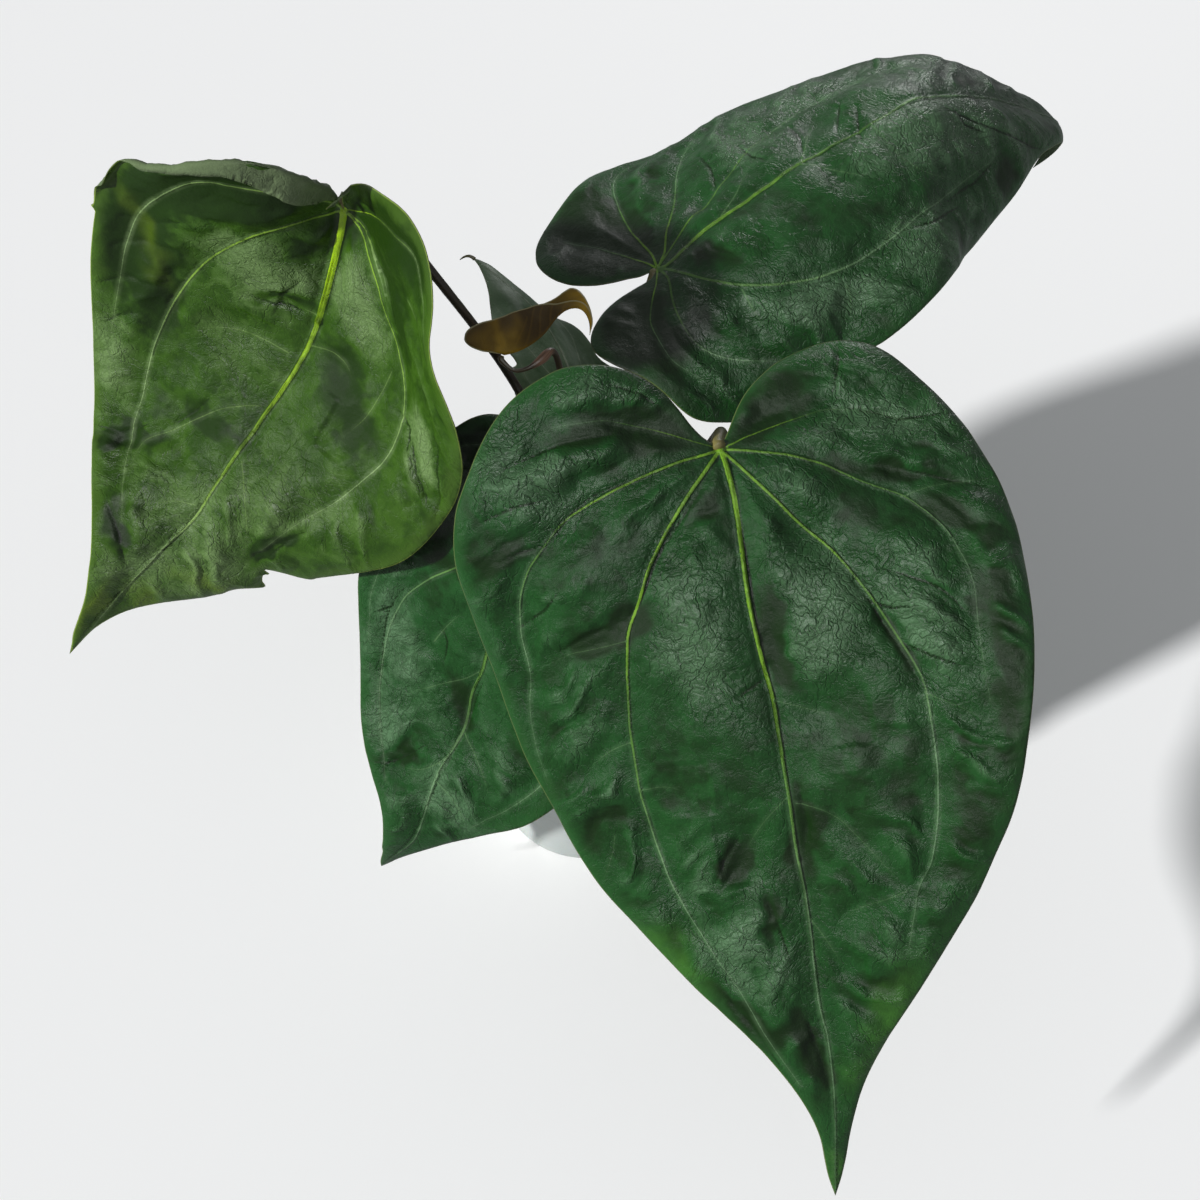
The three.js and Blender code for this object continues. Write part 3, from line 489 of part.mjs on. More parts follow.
// ---- loose pieces on the mix ----
function chunk(seed, size, place, turn) {
  const rnd = seeded(seed);
  const base = mergeVertices((() => { const g = new THREE.IcosahedronGeometry(1, 1); g.deleteAttribute('normal'); g.deleteAttribute('uv'); return g; })(), 1e-4);
  const pos = base.attributes.position;
  for (let i = 0; i < pos.count; i++) {
    const k = 0.86 + 0.22 * rnd();
    pos.setXYZ(i, pos.getX(i) * size[0] * k, pos.getY(i) * size[1] * k, pos.getZ(i) * size[2] * k);
  }
  base.rotateZ(turn);
  base.computeBoundingBox();
  base.translate(place[0], place[1], soilAt(Math.hypot(place[0], place[1]) - size[0]) + GAP - base.boundingBox.min.z + 0.2);
  return base;
}
[
  [11, [8, 5.5, 2.6], [-26, -18], 0.4], [12, [7, 5, 2.2], [14, -29], 1.9], [13, [9, 5, 2.4], [30, 9], 2.6],
  [14, [6.5, 5, 2.4], [-31, 8], 1.1], [15, [7, 4.5, 2.2], [-4, -33], 0.1], [16, [8, 5, 2.4], [12, 32], 2.9],
].forEach(([seed, size, place, turn], i) => add(`bark_${i + 1}`, chunk(seed, size, place, turn), M.bark));
[
  [21, [3.2, 3, 2.4], [29, -13], 0.3], [22, [2.8, 3, 2.2], [-15, 30], 1.2], [23, [3, 2.6, 2.2], [-36, -5], 2.2],
].forEach(([seed, size, place, turn], i) => add(`perlite_${i + 1}`, chunk(seed, size, place, turn), M.perlite));

export default group;
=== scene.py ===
# A potted velvet-leaved anthurium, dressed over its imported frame: leaves with veins and relief,
# stalks, stem, sheaths, roots, potting mix and a moulded plastic pot. Shapes are in millimetres
# here and become metres when a mesh is made.
import math

import bpy
import numpy as np
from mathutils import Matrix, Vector
from mathutils.bvhtree import BVHTree
from mathutils.geometry import delaunay_2d_cdt
from mathutils.kdtree import KDTree


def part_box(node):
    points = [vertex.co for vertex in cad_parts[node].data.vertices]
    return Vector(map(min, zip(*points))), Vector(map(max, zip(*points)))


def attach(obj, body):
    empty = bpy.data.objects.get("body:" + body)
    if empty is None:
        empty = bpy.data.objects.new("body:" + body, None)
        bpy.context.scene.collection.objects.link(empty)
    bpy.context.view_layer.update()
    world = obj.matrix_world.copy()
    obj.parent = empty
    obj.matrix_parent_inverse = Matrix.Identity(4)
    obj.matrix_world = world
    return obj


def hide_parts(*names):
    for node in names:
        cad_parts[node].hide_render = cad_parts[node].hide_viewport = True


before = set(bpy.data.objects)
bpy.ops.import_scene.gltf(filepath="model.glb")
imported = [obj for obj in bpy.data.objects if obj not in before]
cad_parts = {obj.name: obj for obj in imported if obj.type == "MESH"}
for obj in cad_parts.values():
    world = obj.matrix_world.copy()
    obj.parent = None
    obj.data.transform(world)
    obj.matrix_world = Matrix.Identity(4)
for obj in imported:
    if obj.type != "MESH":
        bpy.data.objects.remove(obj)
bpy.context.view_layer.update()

MM = 0.001
scene = bpy.context.scene

# Blades: a net of cubic B-spline points over the flat leaf (across, then from the stalk to the
# tip), the two margins of the flat leaf, its ribs (name, half width at the start and end, how pale,
# how high, line), its dents and swellings, and its patches of yellower tint, painted sheen and
# painted shade (kind, height or amount, middle, half axes).
LEAVES = {
    "front": {
        "length": 243, "rect": [-111.78, 111.78, -58.32, 257.58], "rows": 11,
        "net": [
            [-113.12, 37.49, 279.55], [-108.06, 13.86, 258.11], [-102.15, -8.6, 234.07], [-94.06, -27.63, 205.78], [-82.72, -39.28, 174.72], [-73.92, -54.85, 148.51],
            [-68.47, -77.97, 127.87], [-63.76, -101.93, 108.01], [-59.49, -125.84, 87.5], [-55.92, -150.67, 66.6], [-52.88, -176.12, 44.32], [-50.18, -201.63, 19.93],
            [-47.62, -227, -6], [-83.96, 42.59, 280.35], [-79.56, 18, 261.48], [-74.97, -6.67, 240.74], [-68.75, -30.39, 214.94], [-56.26, -40.64, 183.31],
            [-47.83, -56.55, 157.77], [-43.26, -82.41, 138.58], [-38.13, -105.74, 118.24], [-33.25, -128.23, 96.51], [-29.48, -152.85, 75.57], [-26.35, -178.35, 53.11],
            [-23.66, -203.71, 27.66], [-21.13, -228.82, 0.33], [-54.36, 48.37, 278.72], [-50.23, 23.56, 262.44], [-46.45, -1.56, 245.91], [-42.55, -29.88, 223.9],
            [-31.62, -45.9, 196.15], [-23.99, -63.63, 170.85], [-18.36, -87.62, 149.78], [-12.34, -109.22, 128.17], [-6.57, -129.55, 104.48], [-2.87, -154.79, 84.57],
            [0.36, -180.62, 62.34], [2.96, -205.63, 35.05], [5.43, -230.28, 5.45], [-24.86, 54.16, 274.05], [-20.69, 28.87, 258.26], [-16.81, 3.75, 242.81],
            [-12.2, -21.39, 224.09], [-5.01, -46.27, 204.55], [1.88, -67.26, 180.74], [8.8, -87.23, 156.99], [14.66, -109.35, 134.8], [20.53, -130.16, 111.61],
            [23.85, -157.14, 94.09], [27.51, -182.94, 72.16], [29.85, -206.95, 41.25], [32.24, -230.87, 8.33], [3.73, 60.14, 270.07], [7.56, 32.18, 260.06],
            [11.42, 5.48, 247.61], [17.27, -16.88, 225.05], [22.82, -41.91, 207.72], [29.41, -65.76, 186.29], [35.95, -87.42, 164.16], [41.61, -109.8, 141.79],
            [46.84, -133.13, 120.81], [51.57, -159.53, 102.61], [55.7, -183.97, 80.97], [57.18, -206.51, 44.3], [59.58, -229.93, 8.23], [31.63, 70.73, 259.49],
            [35.11, 44.16, 249.41], [37.55, 18.99, 238.87], [45.97, -10.03, 224.46], [50.61, -37.66, 209.65], [56.62, -61.6, 188.98], [64.16, -85.94, 169.71],
            [69.01, -108.09, 146.81], [74.26, -131.32, 124.7], [80.21, -155.06, 102.84], [84, -178.64, 80.51], [85.28, -203.42, 42.77], [87.84, -227.34, 6.69],
            [59.03, 81.24, 248.75], [63.06, 55.24, 235.09], [66.24, 27.04, 229.23], [72.55, -4.88, 225.7], [78.33, -32.42, 209.86], [84.34, -58.21, 192.96],
            [90.84, -82.78, 173.27], [96.28, -106.13, 151.83], [101.8, -130.46, 131.3], [107.43, -152.07, 108.44], [111.87, -172.41, 78.6], [114.27, -198.87, 44.16],
            [116.88, -223.73, 9.2], [85.32, 87.19, 251.55], [89.53, 58.69, 243.17], [93.98, 28.53, 238.14], [99.94, 1.19, 223.23], [105.86, -27.44, 211.34],
            [111.98, -55.19, 196.96], [118.08, -80.19, 177.78], [123.75, -104.45, 157.96], [129.37, -126.56, 135.7], [134.63, -151.2, 114.29], [139.21, -172.19, 83.52],
            [142.57, -196.3, 49.67], [145.67, -220.67, 15.31], [111.51, 92.42, 256.18], [116.1, 63.68, 247.48], [121.13, 35.34, 236.57], [127.22, 7.42, 221.76],
            [133.09, -21.16, 209.95], [139.57, -51.77, 202.38], [145.4, -79.27, 185.81], [150.93, -104.33, 165.32], [156.57, -125.14, 141.24], [161.83, -148.67, 117.46],
            [166.51, -171.11, 88.2], [170.43, -194.5, 55.86], [174.03, -218.29, 22.54], [137.99, 98.04, 258.34], [142.97, 69.6, 247.58], [148.33, 41.42, 235],
            [154.27, 12.96, 221.64], [160.13, -15.14, 208.59], [166.55, -46.63, 203], [172.54, -76.09, 190.7], [178.19, -101.78, 171.09], [183.78, -124.22, 147.48],
            [189.06, -147.08, 122.12], [193.84, -169.8, 93.38], [198.1, -192.93, 62.11], [202.06, -216.35, 29.76], [164.66, 103.79, 259.36], [169.89, 75.42, 247.55],
            [175.4, 47.07, 234.82], [181.28, 18.37, 222.18], [187.27, -10.78, 210.92], [193.55, -41.86, 203.75], [199.62, -71.74, 192.71], [205.41, -98.45, 175.14],
            [211.02, -122.36, 152.73], [216.33, -145.48, 127.24], [221.23, -168.35, 98.87], [225.7, -191.39, 68.32], [229.9, -214.61, 36.68],
        ],
        "right": [[0, 0], [3.63, -4.73], [6.82, -9.78], [10.18, -14.73], [14.18, -19.2], [18.68, -23.12], [23.4, -26.66], [28.58, -29.41], [34.11, -31.33], [39.87, -32.39], [45.78, -32.33], [51.45, -30.63], [56.78, -27.82], [61.41, -23.94], [65.44, -19.49], [69.18, -14.85], [72.72, -10.05], [75.84, -4.99], [78.82, 0.16], [81.73, 5.33], [84.05, 10.81], [86.15, 16.4], [87.81, 22.14], [88.65, 28.07], [89.02, 34.01], [89.17, 39.95], [88.9, 45.89], [88.41, 51.81], [87.81, 57.74], [86.96, 63.64], [86.01, 69.53], [84.92, 75.39], [83.7, 81.23], [82.3, 87.03], [80.78, 92.79], [79.15, 98.53], [77.46, 104.24], [75.73, 109.95], [74, 115.66], [71.94, 121.25], [69.65, 126.76], [67.02, 132.12], [64.02, 137.27], [60.96, 142.37], [57.91, 147.49], [54.75, 152.55], [51.27, 157.38], [47.58, 162.07], [43.86, 166.73], [40.1, 171.35], [36.32, 175.96], [32.52, 180.56], [28.58, 185.03], [24.63, 189.49], [20.77, 194.04], [17.32, 198.91], [14, 203.87], [10.88, 208.98], [8.28, 214.37], [6.29, 220.01], [4.78, 225.78], [3.7, 231.64], [2.19, 237.42], [0, 243]],
        "left": [[0, 0], [-4.57, -4.02], [-8, -8.92], [-10.91, -14.16], [-14.06, -19.31], [-18, -23.86], [-22.7, -27.7], [-28.19, -30.33], [-33.98, -31.88], [-39.86, -32.53], [-45.71, -32.02], [-51.16, -30.04], [-56.43, -27.32], [-61.3, -23.82], [-65.61, -19.65], [-69.39, -15.01], [-72.79, -10.1], [-75.91, -5.03], [-79.05, 0.03], [-82.17, 5.13], [-84.54, 10.64], [-86.47, 16.3], [-87.94, 22.11], [-88.74, 28.06], [-89.01, 34.02], [-88.97, 39.95], [-88.57, 45.86], [-88.06, 51.77], [-87.48, 57.69], [-86.7, 63.59], [-85.86, 69.5], [-84.94, 75.4], [-83.9, 81.27], [-82.65, 87.11], [-81.03, 92.86], [-79.11, 98.52], [-77.22, 104.17], [-75.53, 109.89], [-73.97, 115.65], [-72.01, 121.28], [-69.71, 126.79], [-67.15, 132.18], [-64.27, 137.41], [-61.15, 142.49], [-57.87, 147.46], [-54.52, 152.39], [-51.09, 157.26], [-47.58, 162.07], [-43.98, 166.83], [-40.21, 171.44], [-36.27, 175.92], [-32.3, 180.37], [-28.33, 184.82], [-24.48, 189.37], [-20.75, 194.02], [-17.4, 198.95], [-14.24, 204.01], [-11.29, 209.19], [-8.65, 214.54], [-6.33, 220.03], [-4.52, 225.71], [-3.45, 231.58], [-2.14, 237.41], [0, 243]],
        "ribs": [
            ("mid", 0.85, 0.16, 0, 0.6, [[0, 0.3], [0.2, 4.3], [0.4, 8.2], [0.6, 12.2], [0.8, 16.2], [0.7, 20.1], [0.6, 24.1], [0.4, 28.1], [0.2, 32], [-0, 36], [-0.2, 39.9], [-0.4, 43.9], [-0.6, 47.9], [-0.6, 51.8], [-0.5, 55.8], [-0.4, 59.8], [-0.3, 63.7], [-0.1, 67.7], [0.2, 71.7], [0.5, 75.6], [0.7, 79.6], [0.7, 83.6], [0.5, 87.5], [0.3, 91.5], [0.2, 95.4], [0, 99.4], [-0.1, 103.4], [-0.1, 107.4], [-0.1, 111.3], [-0.1, 115.3], [-0.2, 119.3], [-0.2, 123.2], [-0.3, 127.2], [-0.2, 131.2], [0, 135.1], [0.2, 139.1], [0.4, 143.1], [0.4, 147], [0.4, 151], [0.3, 155], [0.2, 158.9], [0, 162.9], [-0.2, 166.9], [-0.4, 170.8], [-0.5, 174.8], [-0.6, 178.8], [-0.5, 182.7], [-0.1, 186.7], [0.3, 190.6], [0.4, 194.6], [0.4, 198.6], [0.4, 202.5], [0.4, 206.5], [0.3, 210.5], [0.1, 214.4], [-0, 218.4], [-0.1, 222.4], [-0.2, 226.3], [-0.2, 230.3], [-0.2, 234.3], [-0.1, 238.2], [0, 242.2]]),
            ("lin", 0.55, 0.11, 0.05, 0.5, [[0, 0.3], [-2.8, 3.1], [-5.7, 5.9], [-8.5, 8.7], [-11.4, 11.5], [-14.1, 14.4], [-16.7, 17.4], [-19.3, 20.5], [-21.8, 23.5], [-24.2, 26.7], [-26.5, 30], [-28.8, 33.2], [-30.8, 36.7], [-32.6, 40.3], [-34.4, 43.8], [-36.4, 47.2], [-38.5, 50.6], [-40.1, 54.2], [-41, 58.1], [-41.9, 62], [-42.8, 65.9], [-43.4, 69.8], [-44.1, 73.8], [-44.7, 77.7], [-45.3, 81.6], [-45.7, 85.6], [-45.9, 89.6], [-46.1, 93.6], [-46.2, 97.6], [-46.4, 101.5], [-46.4, 105.5], [-46.1, 109.5], [-45.7, 113.5], [-45.3, 117.4], [-44.8, 121.4], [-44.1, 125.3], [-43.3, 129.2], [-42.5, 133.1], [-41.5, 137], [-40.1, 140.7], [-38.7, 144.5], [-37.2, 148.2], [-35.7, 151.8], [-34, 155.5], [-32.4, 159.1], [-30.6, 162.7], [-28.8, 166.2], [-26.9, 169.8], [-25.2, 173.3], [-23.7, 177], [-22.2, 180.7], [-20.8, 184.5], [-19.3, 188.1], [-17.6, 191.7], [-15.8, 195.3], [-13.9, 198.9], [-12.1, 202.4], [-10.3, 205.9]]),
            ("lout", 0.42, 0.06, 0.05, 0.42, [[0, 0.3], [-3.9, 1.3], [-7.8, 1.9], [-11.8, 2.3], [-15.8, 3], [-19.7, 3.9], [-23.6, 4.8], [-27.5, 5.8], [-31.3, 7], [-35.2, 8.2], [-38.9, 9.6], [-42.7, 11], [-46.4, 12.6], [-50, 14.2], [-53.4, 16.4], [-56.4, 19], [-59.4, 21.8], [-62.3, 24.5], [-65.2, 27.3], [-67.5, 30.5], [-69.6, 34], [-71.3, 37.6], [-72.4, 41.4], [-73.4, 45.3], [-74.1, 49.3], [-74.3, 53.3], [-74.2, 57.3], [-74.5, 61.2], [-75.4, 65.1], [-76.5, 69], [-77.2, 72.9], [-77.5, 77], [-77.6, 81], [-77.6, 85], [-77.2, 89], [-76.6, 92.9], [-76.1, 96.9]]),
            ("rin", 0.46, 0.16, 0.2, 0.45, [[0, 0.3], [2.1, 3.7], [4.4, 7], [6.6, 10.2], [8.9, 13.5], [11.2, 16.7], [13.6, 19.9], [15.9, 23.1], [18.4, 26.3], [21, 29.3], [23.6, 32.2], [26.3, 35.2], [28.7, 38.4], [30.8, 41.7], [32.7, 45.2], [34.5, 48.8], [36.3, 52.3], [38, 55.9], [39.6, 59.5], [41.2, 63.2], [42.7, 66.9], [44.1, 70.6], [45.5, 74.3], [46.8, 78.1], [48, 81.9], [48.5, 85.8], [48.5, 89.8], [48.5, 93.7], [48.4, 97.7], [48.3, 101.7], [48.1, 105.7], [47.9, 109.6], [47.6, 113.6], [47, 117.5], [46.4, 121.5], [45.7, 125.4], [44.8, 129.3], [43.7, 133.1], [42.5, 136.9], [41.1, 140.6], [38.9, 143.8], [36.5, 146.9], [35, 150.6], [33.8, 154.4], [32.6, 158.2], [31.4, 162], [30.2, 165.7]]),
            ("rout", 0.42, 0.06, 0.25, 0.38, [[0, 0.3], [3.9, 1.4], [7.8, 2.3], [11.7, 3.4], [15.6, 4.5], [19.5, 5.7], [23.3, 7.1], [27, 8.6], [30.7, 10.2], [34.2, 12.3], [37.6, 14.5], [40.9, 16.8], [44.4, 18.9], [48, 20.7], [51.7, 22.4], [55.1, 24.4], [58, 27.3], [60.6, 30.4], [62.9, 33.6], [65.1, 37], [66.7, 40.7], [67.7, 44.6], [68.7, 48.6], [69.4, 52.5], [69.7, 56.6], [69.5, 60.6], [69, 64.6], [68.5, 68.6], [68.1, 72.6], [67.8, 76.7], [67.6, 80.7], [67.5, 84.8], [67.4, 88.8], [67.3, 92.9]]),
            ("rlobe", 0.22, 0.05, 0.05, 0.25, [[0, 0.3], [3.9, -0.7], [7.7, -1.9], [11.6, -2.9], [15.5, -3.8], [19.4, -4.6], [23.4, -5.4], [27.3, -6.1], [31.3, -6.8], [35.2, -7.4], [39.2, -7.3], [43.1, -6.5], [47, -5.6], [50.9, -4.5], [54.7, -3.3], [58.3, -1.7], [61.9, 0.2], [65.4, 2.2], [68.9, 4.1]]),
            ("llobe", 0.18, 0.05, 0, 0.2, [[0, 0.3], [-2.8, -0.9], [-5.6, -2], [-8.3, -3.2], [-11, -4.5], [-13.7, -5.9], [-16.4, -7.2], [-19.2, -8.5], [-21.9, -9.7], [-24.8, -10.7], [-27.6, -11.7], [-30.5, -12.7], [-33.3, -13.6], [-36.3, -14], [-39.3, -14], [-42.3, -14], [-45.3, -14], [-48.3, -13.9], [-51.2, -13.3], [-53.9, -12], [-56.6, -10.7], [-59.3, -9.3], [-62, -8]]),
            ("s", 0.14, 0.04, 0.7, 0.1, [[0.1, 34.3], [-2.6, 34.8], [-5.2, 35.3], [-7.9, 35.8], [-10.5, 36.3]]),
            ("s", 0.14, 0.04, 0.7, 0.1, [[7.5, 12], [10.6, 11.7], [13.6, 11.3], [16.6, 10.8], [19.7, 10.4], [22.8, 10.1], [25.8, 9.8]]),
            ("s", 0.14, 0.04, 0.7, 0.1, [[-26.3, 23], [-22.9, 23], [-19.4, 23]]),
            ("s", 0.14, 0.04, 0.7, 0.1, [[47.9, 86.9], [51, 88.9], [54.2, 90.8], [57.3, 92.8], [60.2, 95], [63.1, 97.3], [66.1, 99.5]]),
            ("s", 0.14, 0.04, 0.7, 0.1, [[0.7, 81.3], [4.6, 83], [8.4, 84.7], [12.1, 86.5], [15.9, 88.4], [19.6, 90.3], [23.3, 92.2]]),
            ("s", 0.14, 0.04, 0.7, 0.1, [[-40.2, 55], [-44, 55.4], [-47.7, 55.8], [-51.5, 56.1], [-55.2, 56.3], [-59, 56.6], [-62.7, 57.5], [-66.3, 58.6], [-69.8, 59.9], [-73.3, 61.4]]),
            ("s", 0.14, 0.04, 0.7, 0.1, [[-45.9, 87.7], [-48.8, 88.2], [-51.7, 89.1], [-54.4, 90.3], [-57.1, 91.7], [-59.6, 93.4], [-62, 95.1]]),
            ("s", 0.14, 0.04, 0.7, 0.1, [[2, 114.6], [5.8, 116], [9.5, 117.8], [12.8, 120.2], [15.8, 123], [18.2, 126.3], [20.6, 129.6], [22.9, 133], [25.2, 136.4], [27.5, 139.8], [29.9, 143.2], [32.4, 146.4], [35.2, 149.5]]),
            ("s", 0.14, 0.04, 0.7, 0.1, [[0.3, 151.5], [2.4, 155.3], [4.4, 159.1], [6.2, 163], [7.9, 167], [9.5, 170.9]]),
            ("s", 0.14, 0.04, 0.7, 0.1, [[-0.2, 112], [-3.3, 114.2], [-6.3, 116.6], [-9.1, 119.2], [-11.6, 122.1], [-14, 125.1], [-16, 128.3], [-18, 131.6]]),
            ("s", 0.14, 0.04, 0.7, 0.1, [[-57.5, 117.9], [-58.3, 120.8], [-59.3, 123.5], [-60.6, 126.2], [-62, 128.9], [-63.5, 131.5], [-65, 134.1]]),
            ("s", 0.14, 0.04, 0.7, 0.1, [[53.7, 24.7], [57.6, 23.9], [61.6, 23.2], [65.6, 22.7], [69.6, 22.7], [73.6, 22.7], [77.6, 22.8], [81.7, 22.9], [85.5, 23.7], [89.1, 25.5], [92.5, 27.6]]),
            ("s", 0.14, 0.04, 0.7, 0.1, [[31.9, 147.9], [27.9, 148.9], [23.9, 149.8], [19.9, 150.5], [16, 151.6], [12.5, 153.6], [9.3, 156]]),
            ("s", 0.14, 0.04, 0.7, 0.1, [[-22.8, 31.3], [-20.6, 33.9], [-18.6, 36.6], [-16.8, 39.4]]),
            ("s", 0.14, 0.04, 0.7, 0.1, [[-46.5, 103.9], [-43.7, 103.7], [-41, 103.5], [-38.3, 103.7], [-35.7, 104.4], [-33.2, 105.5], [-30.7, 106.6]]),
        ],
        "dents": [
            ("round", -1.9, [4.1, 63.6], [-0.4, 13.2, -6.3, 0]),
            ("round", -1.5, [-44.4, 50.4], [10.6, -1.9, 0.7, 4.9]),
            ("round", -1.3, [3, 122.7], [-0.8, 13, -4.1, -0.2]),
            ("round", -1.2, [43.6, 67], [5.3, 9.8, -5, 2.8]),
            ("round", -1.4, [-26.5, 182.1], [8.5, 10.8, -4.1, 3.3]),
            ("round", -1.3, [-4.2, 196.1], [4.6, 12.5, -5.4, 1.9]),
            ("round", -1.6, [-23.8, -11], [17.6, 6, -2.4, 6.5]),
            ("round", -2, [15.4, -7.8], [11.8, -4.7, 1.2, 5.1]),
            ("round", -1, [-12.3, 153.2], [0.2, 9.8, -3.2, 0.2]),
            ("round", -0.9, [-22.3, 134.4], [6.1, -7.9, 2.5, 2]),
            ("round", 0.9, [-57.7, 0.6], [11.7, -1.2, 0.3, 4.2]),
            ("round", -0.8, [-65.9, 18.3], [10.7, 1.1, -0.6, 3.7]),
            ("round", 0.8, [-57.4, 34.4], [11, 2, -1.2, 4.9]),
            ("round", 0.9, [30.8, 54.5], [8.7, 12.9, -5.3, 3.6]),
            ("round", 1, [-16.8, 52.7], [2.9, 18.4, -6.8, 1.2]),
            ("round", 0.8, [-26.4, 109.9], [0, 26.2, -7.7, 0.4]),
            ("round", 0.9, [24.3, 104.6], [0.3, 28.6, -8.3, 0.1]),
            ("round", 0.8, [67.8, 48.1], [1.8, 19, -5.8, 1]),
            ("round", 0.9, [-37.7, -20.8], [11.6, 4, -1.4, 4.2]),
            ("round", 0.9, [49.2, 1.3], [15.8, 3.9, -1.3, 3.9]),
            ("round", -0.9, [55.8, 15.9], [15.4, 5.2, -1.3, 3.1]),
            ("round", -0.8, [68.1, 21.1], [9.5, 5.4, -2.3, 3.5]),
            ("round", 1.2, [47.2, -18.7], [5.5, -9.3, 4.3, 2.9]),
            ("painted_sheen_shade", 0.8, [-32.7, -23.3], [17.2, 2.6, -1, 6.3]),
            ("painted_sheen_shade", 0.9, [-61.6, -2.6], [9, 20.5, -11.6, 5.7]),
            ("painted_sheen_shade", 0.9, [-20.5, 58.4], [3.2, 27.9, -11.9, 1.7]),
            ("painted_sheen_shade", 1.1, [17.8, 59.3], [2.8, 18.5, -14.3, 2.5]),
            ("painted_sheen_shade", 0.9, [51.1, 64.5], [5.6, 24.2, -13.4, 3.5]),
            ("painted_sheen_shade", 0.9, [-23.7, 153.6], [5, 25.4, -14.2, 3.7]),
            ("painted_sheen_shade", 0.8, [58.1, -0.8], [34.4, 6.2, -3.4, 12.5]),
            ("painted_sheen_shade", 0.5, [30.3, 41.5], [6, 17.8, -7.9, 2.9]),
            ("painted_sheen_shade", 0.5, [22.1, 17.6], [12.2, 10.1, -4.3, 5]),
            ("painted_sheen_shade", -0.35, [-46.9, 29.9], [14.6, -5.3, 4, 12.3]),
            ("painted_sheen_shade", -0.35, [-5.7, 20.2], [-0.1, 14.6, -8.2, 0.1]),
            ("painted_sheen_shade", -0.4, [35.9, 26.9], [16.2, 7.3, -4.4, 8.7]),
            ("painted_sheen_shade", -0.3, [-27.9, 105.7], [-0.1, 27.5, -16.7, 0.8]),
            ("painted_sheen_shade", -0.3, [25, 111.8], [0.5, 28.7, -17.2, 0.3]),
            ("painted_sheen_shade", -0.6, [76.2, 86.7], [-0.5, 38.1, -6.7, -0.1]),
            ("painted_sheen_shade", -1.4, [-20.7, -10.5], [22.5, 6.8, -2.5, 7.2]),
            ("painted_sheen_shade", -1.3, [16.9, -9.8], [15.7, -6.4, 2.1, 9]),
            ("painted_sheen_shade", -0.6, [-79, 9.4], [-1.2, 12.1, -3, -0.1]),
            ("painted_sheen_shade", -0.7, [-48.5, -9.8], [14.8, -1.8, 0.3, 3.7]),
            ("painted_sheen_shade", -0.8, [-73.5, 23.2], [13.7, 0.2, -0.4, 3.1]),
            ("painted_sheen_shade", -0.7, [49.3, 15], [24.1, 9.1, -1.4, 3.1]),
            ("painted_sheen_shade", -0.7, [68, 34.7], [11.8, 10.4, -2.3, 2.5]),
            ("painted_sheen_shade", -0.6, [64.7, 60.7], [10.4, 11.3, -2.1, 2]),
            ("painted_sheen_shade", -2.6, [5.5, 62.9], [0.1, 13.8, -5.4, 0.2]),
            ("painted_sheen_shade", -2.2, [-45.1, 51], [12.5, -2.2, 0.6, 4.6]),
            ("painted_sheen_shade", -1.9, [3, 122.7], [-0.8, 13, -4.1, -0.2]),
            ("painted_sheen_shade", -1.5, [-12.3, 153.2], [0.2, 11.1, -3.9, 0.2]),
            ("painted_sheen_shade", -1.4, [-22.3, 134.4], [6.9, -8.9, 3, 2.4]),
            ("painted_sheen_shade", -1.4, [-25, 182.9], [9, 12.9, -4.8, 3.4]),
            ("painted_sheen_shade", -1.3, [-4.2, 196.1], [5, 13.7, -5.4, 1.9]),
            ("painted_sheen_shade", -1.3, [42.2, 69.3], [5.5, 12.5, -4, 1.9]),
            ("tint", 0.8, [-46.7, 161.9], [7.9, 14.6, -7.9, 4.6]),
            ("tint", 0.8, [21, 190.2], [13, -18.8, 6.8, 5.2]),
            ("tint", 0.7, [-0.1, 237.7], [0.6, 6.1, -4, -0.3]),
        ],
        "cracks": [
            [[1, 13.5], [1, 27.1], [1.2, 36.7], [1.1, 46.2], [0.6, 57.3]],
            [[-8.6, 11.9], [-16.9, 20.8], [-24.3, 29.2], [-29.1, 36.3], [-33.7, 43.4], [-37.4, 47.8]],
            [[-25.4, 5.9], [-38.9, 8.1], [-47.6, 12.3], [-54.8, 18]],
            [[34, 48.6], [38.9, 61.7], [43.2, 72.1], [47.2, 83.6]],
            [[-0.7, 74.6], [-5.6, 76.4], [-10.2, 78.5]],
            [[-62.5, 55.4], [-55.2, 52.5], [-46.5, 50.1]],
            [[3.4, 109.3], [4.3, 122.5], [1.3, 134.2]],
            [[-27.2, 136.5], [-23.6, 130.2], [-18, 123.6]],
            [[-11.5, 144.4], [-9.7, 153.5], [-7.6, 164.6]],
            [[41.6, 46.1], [50.9, 51], [59.3, 56.4], [65.6, 64.7]],
            [[43.6, 70.2], [51.9, 75.8], [60.9, 81]],
            [[36.4, 55.5], [43.3, 59.3], [51.4, 60.1]],
            [[-67.4, -3], [-58.1, -5.7], [-45.7, -8.7], [-32.8, -9.2]],
            [[-75.7, 10.7], [-66, 8.3], [-55.7, 7.7]],
            [[-74.3, 23.7], [-66.9, 22], [-59, 21.6]],
            [[45.6, -29.3], [43.5, -21.3], [39.8, -12.4]],
            [[44.5, -7.2], [59.7, -0.6], [77.5, -0.1]],
            [[55.9, 15.3], [71.4, 21.6], [82.8, 25.4]],
            [[-30.9, -24.7], [-22.1, -20.1], [-15.3, -13.6]],
            [[-28.9, 176.1], [-22.3, 186.4], [-15.9, 198.9]],
            [[-5.1, 186], [-2.3, 199], [-0.3, 211.3]],
            [[-57.7, 35.9], [-64, 41.3], [-73.6, 45.8]],
            [[-36.7, 162.5], [-41.3, 170.5], [-46.8, 176.7]],
        ],
    },
    "left": {
        "length": 204, "rect": [-93.84, 93.84, -48.96, 216.24], "rows": 11,
        "net": [
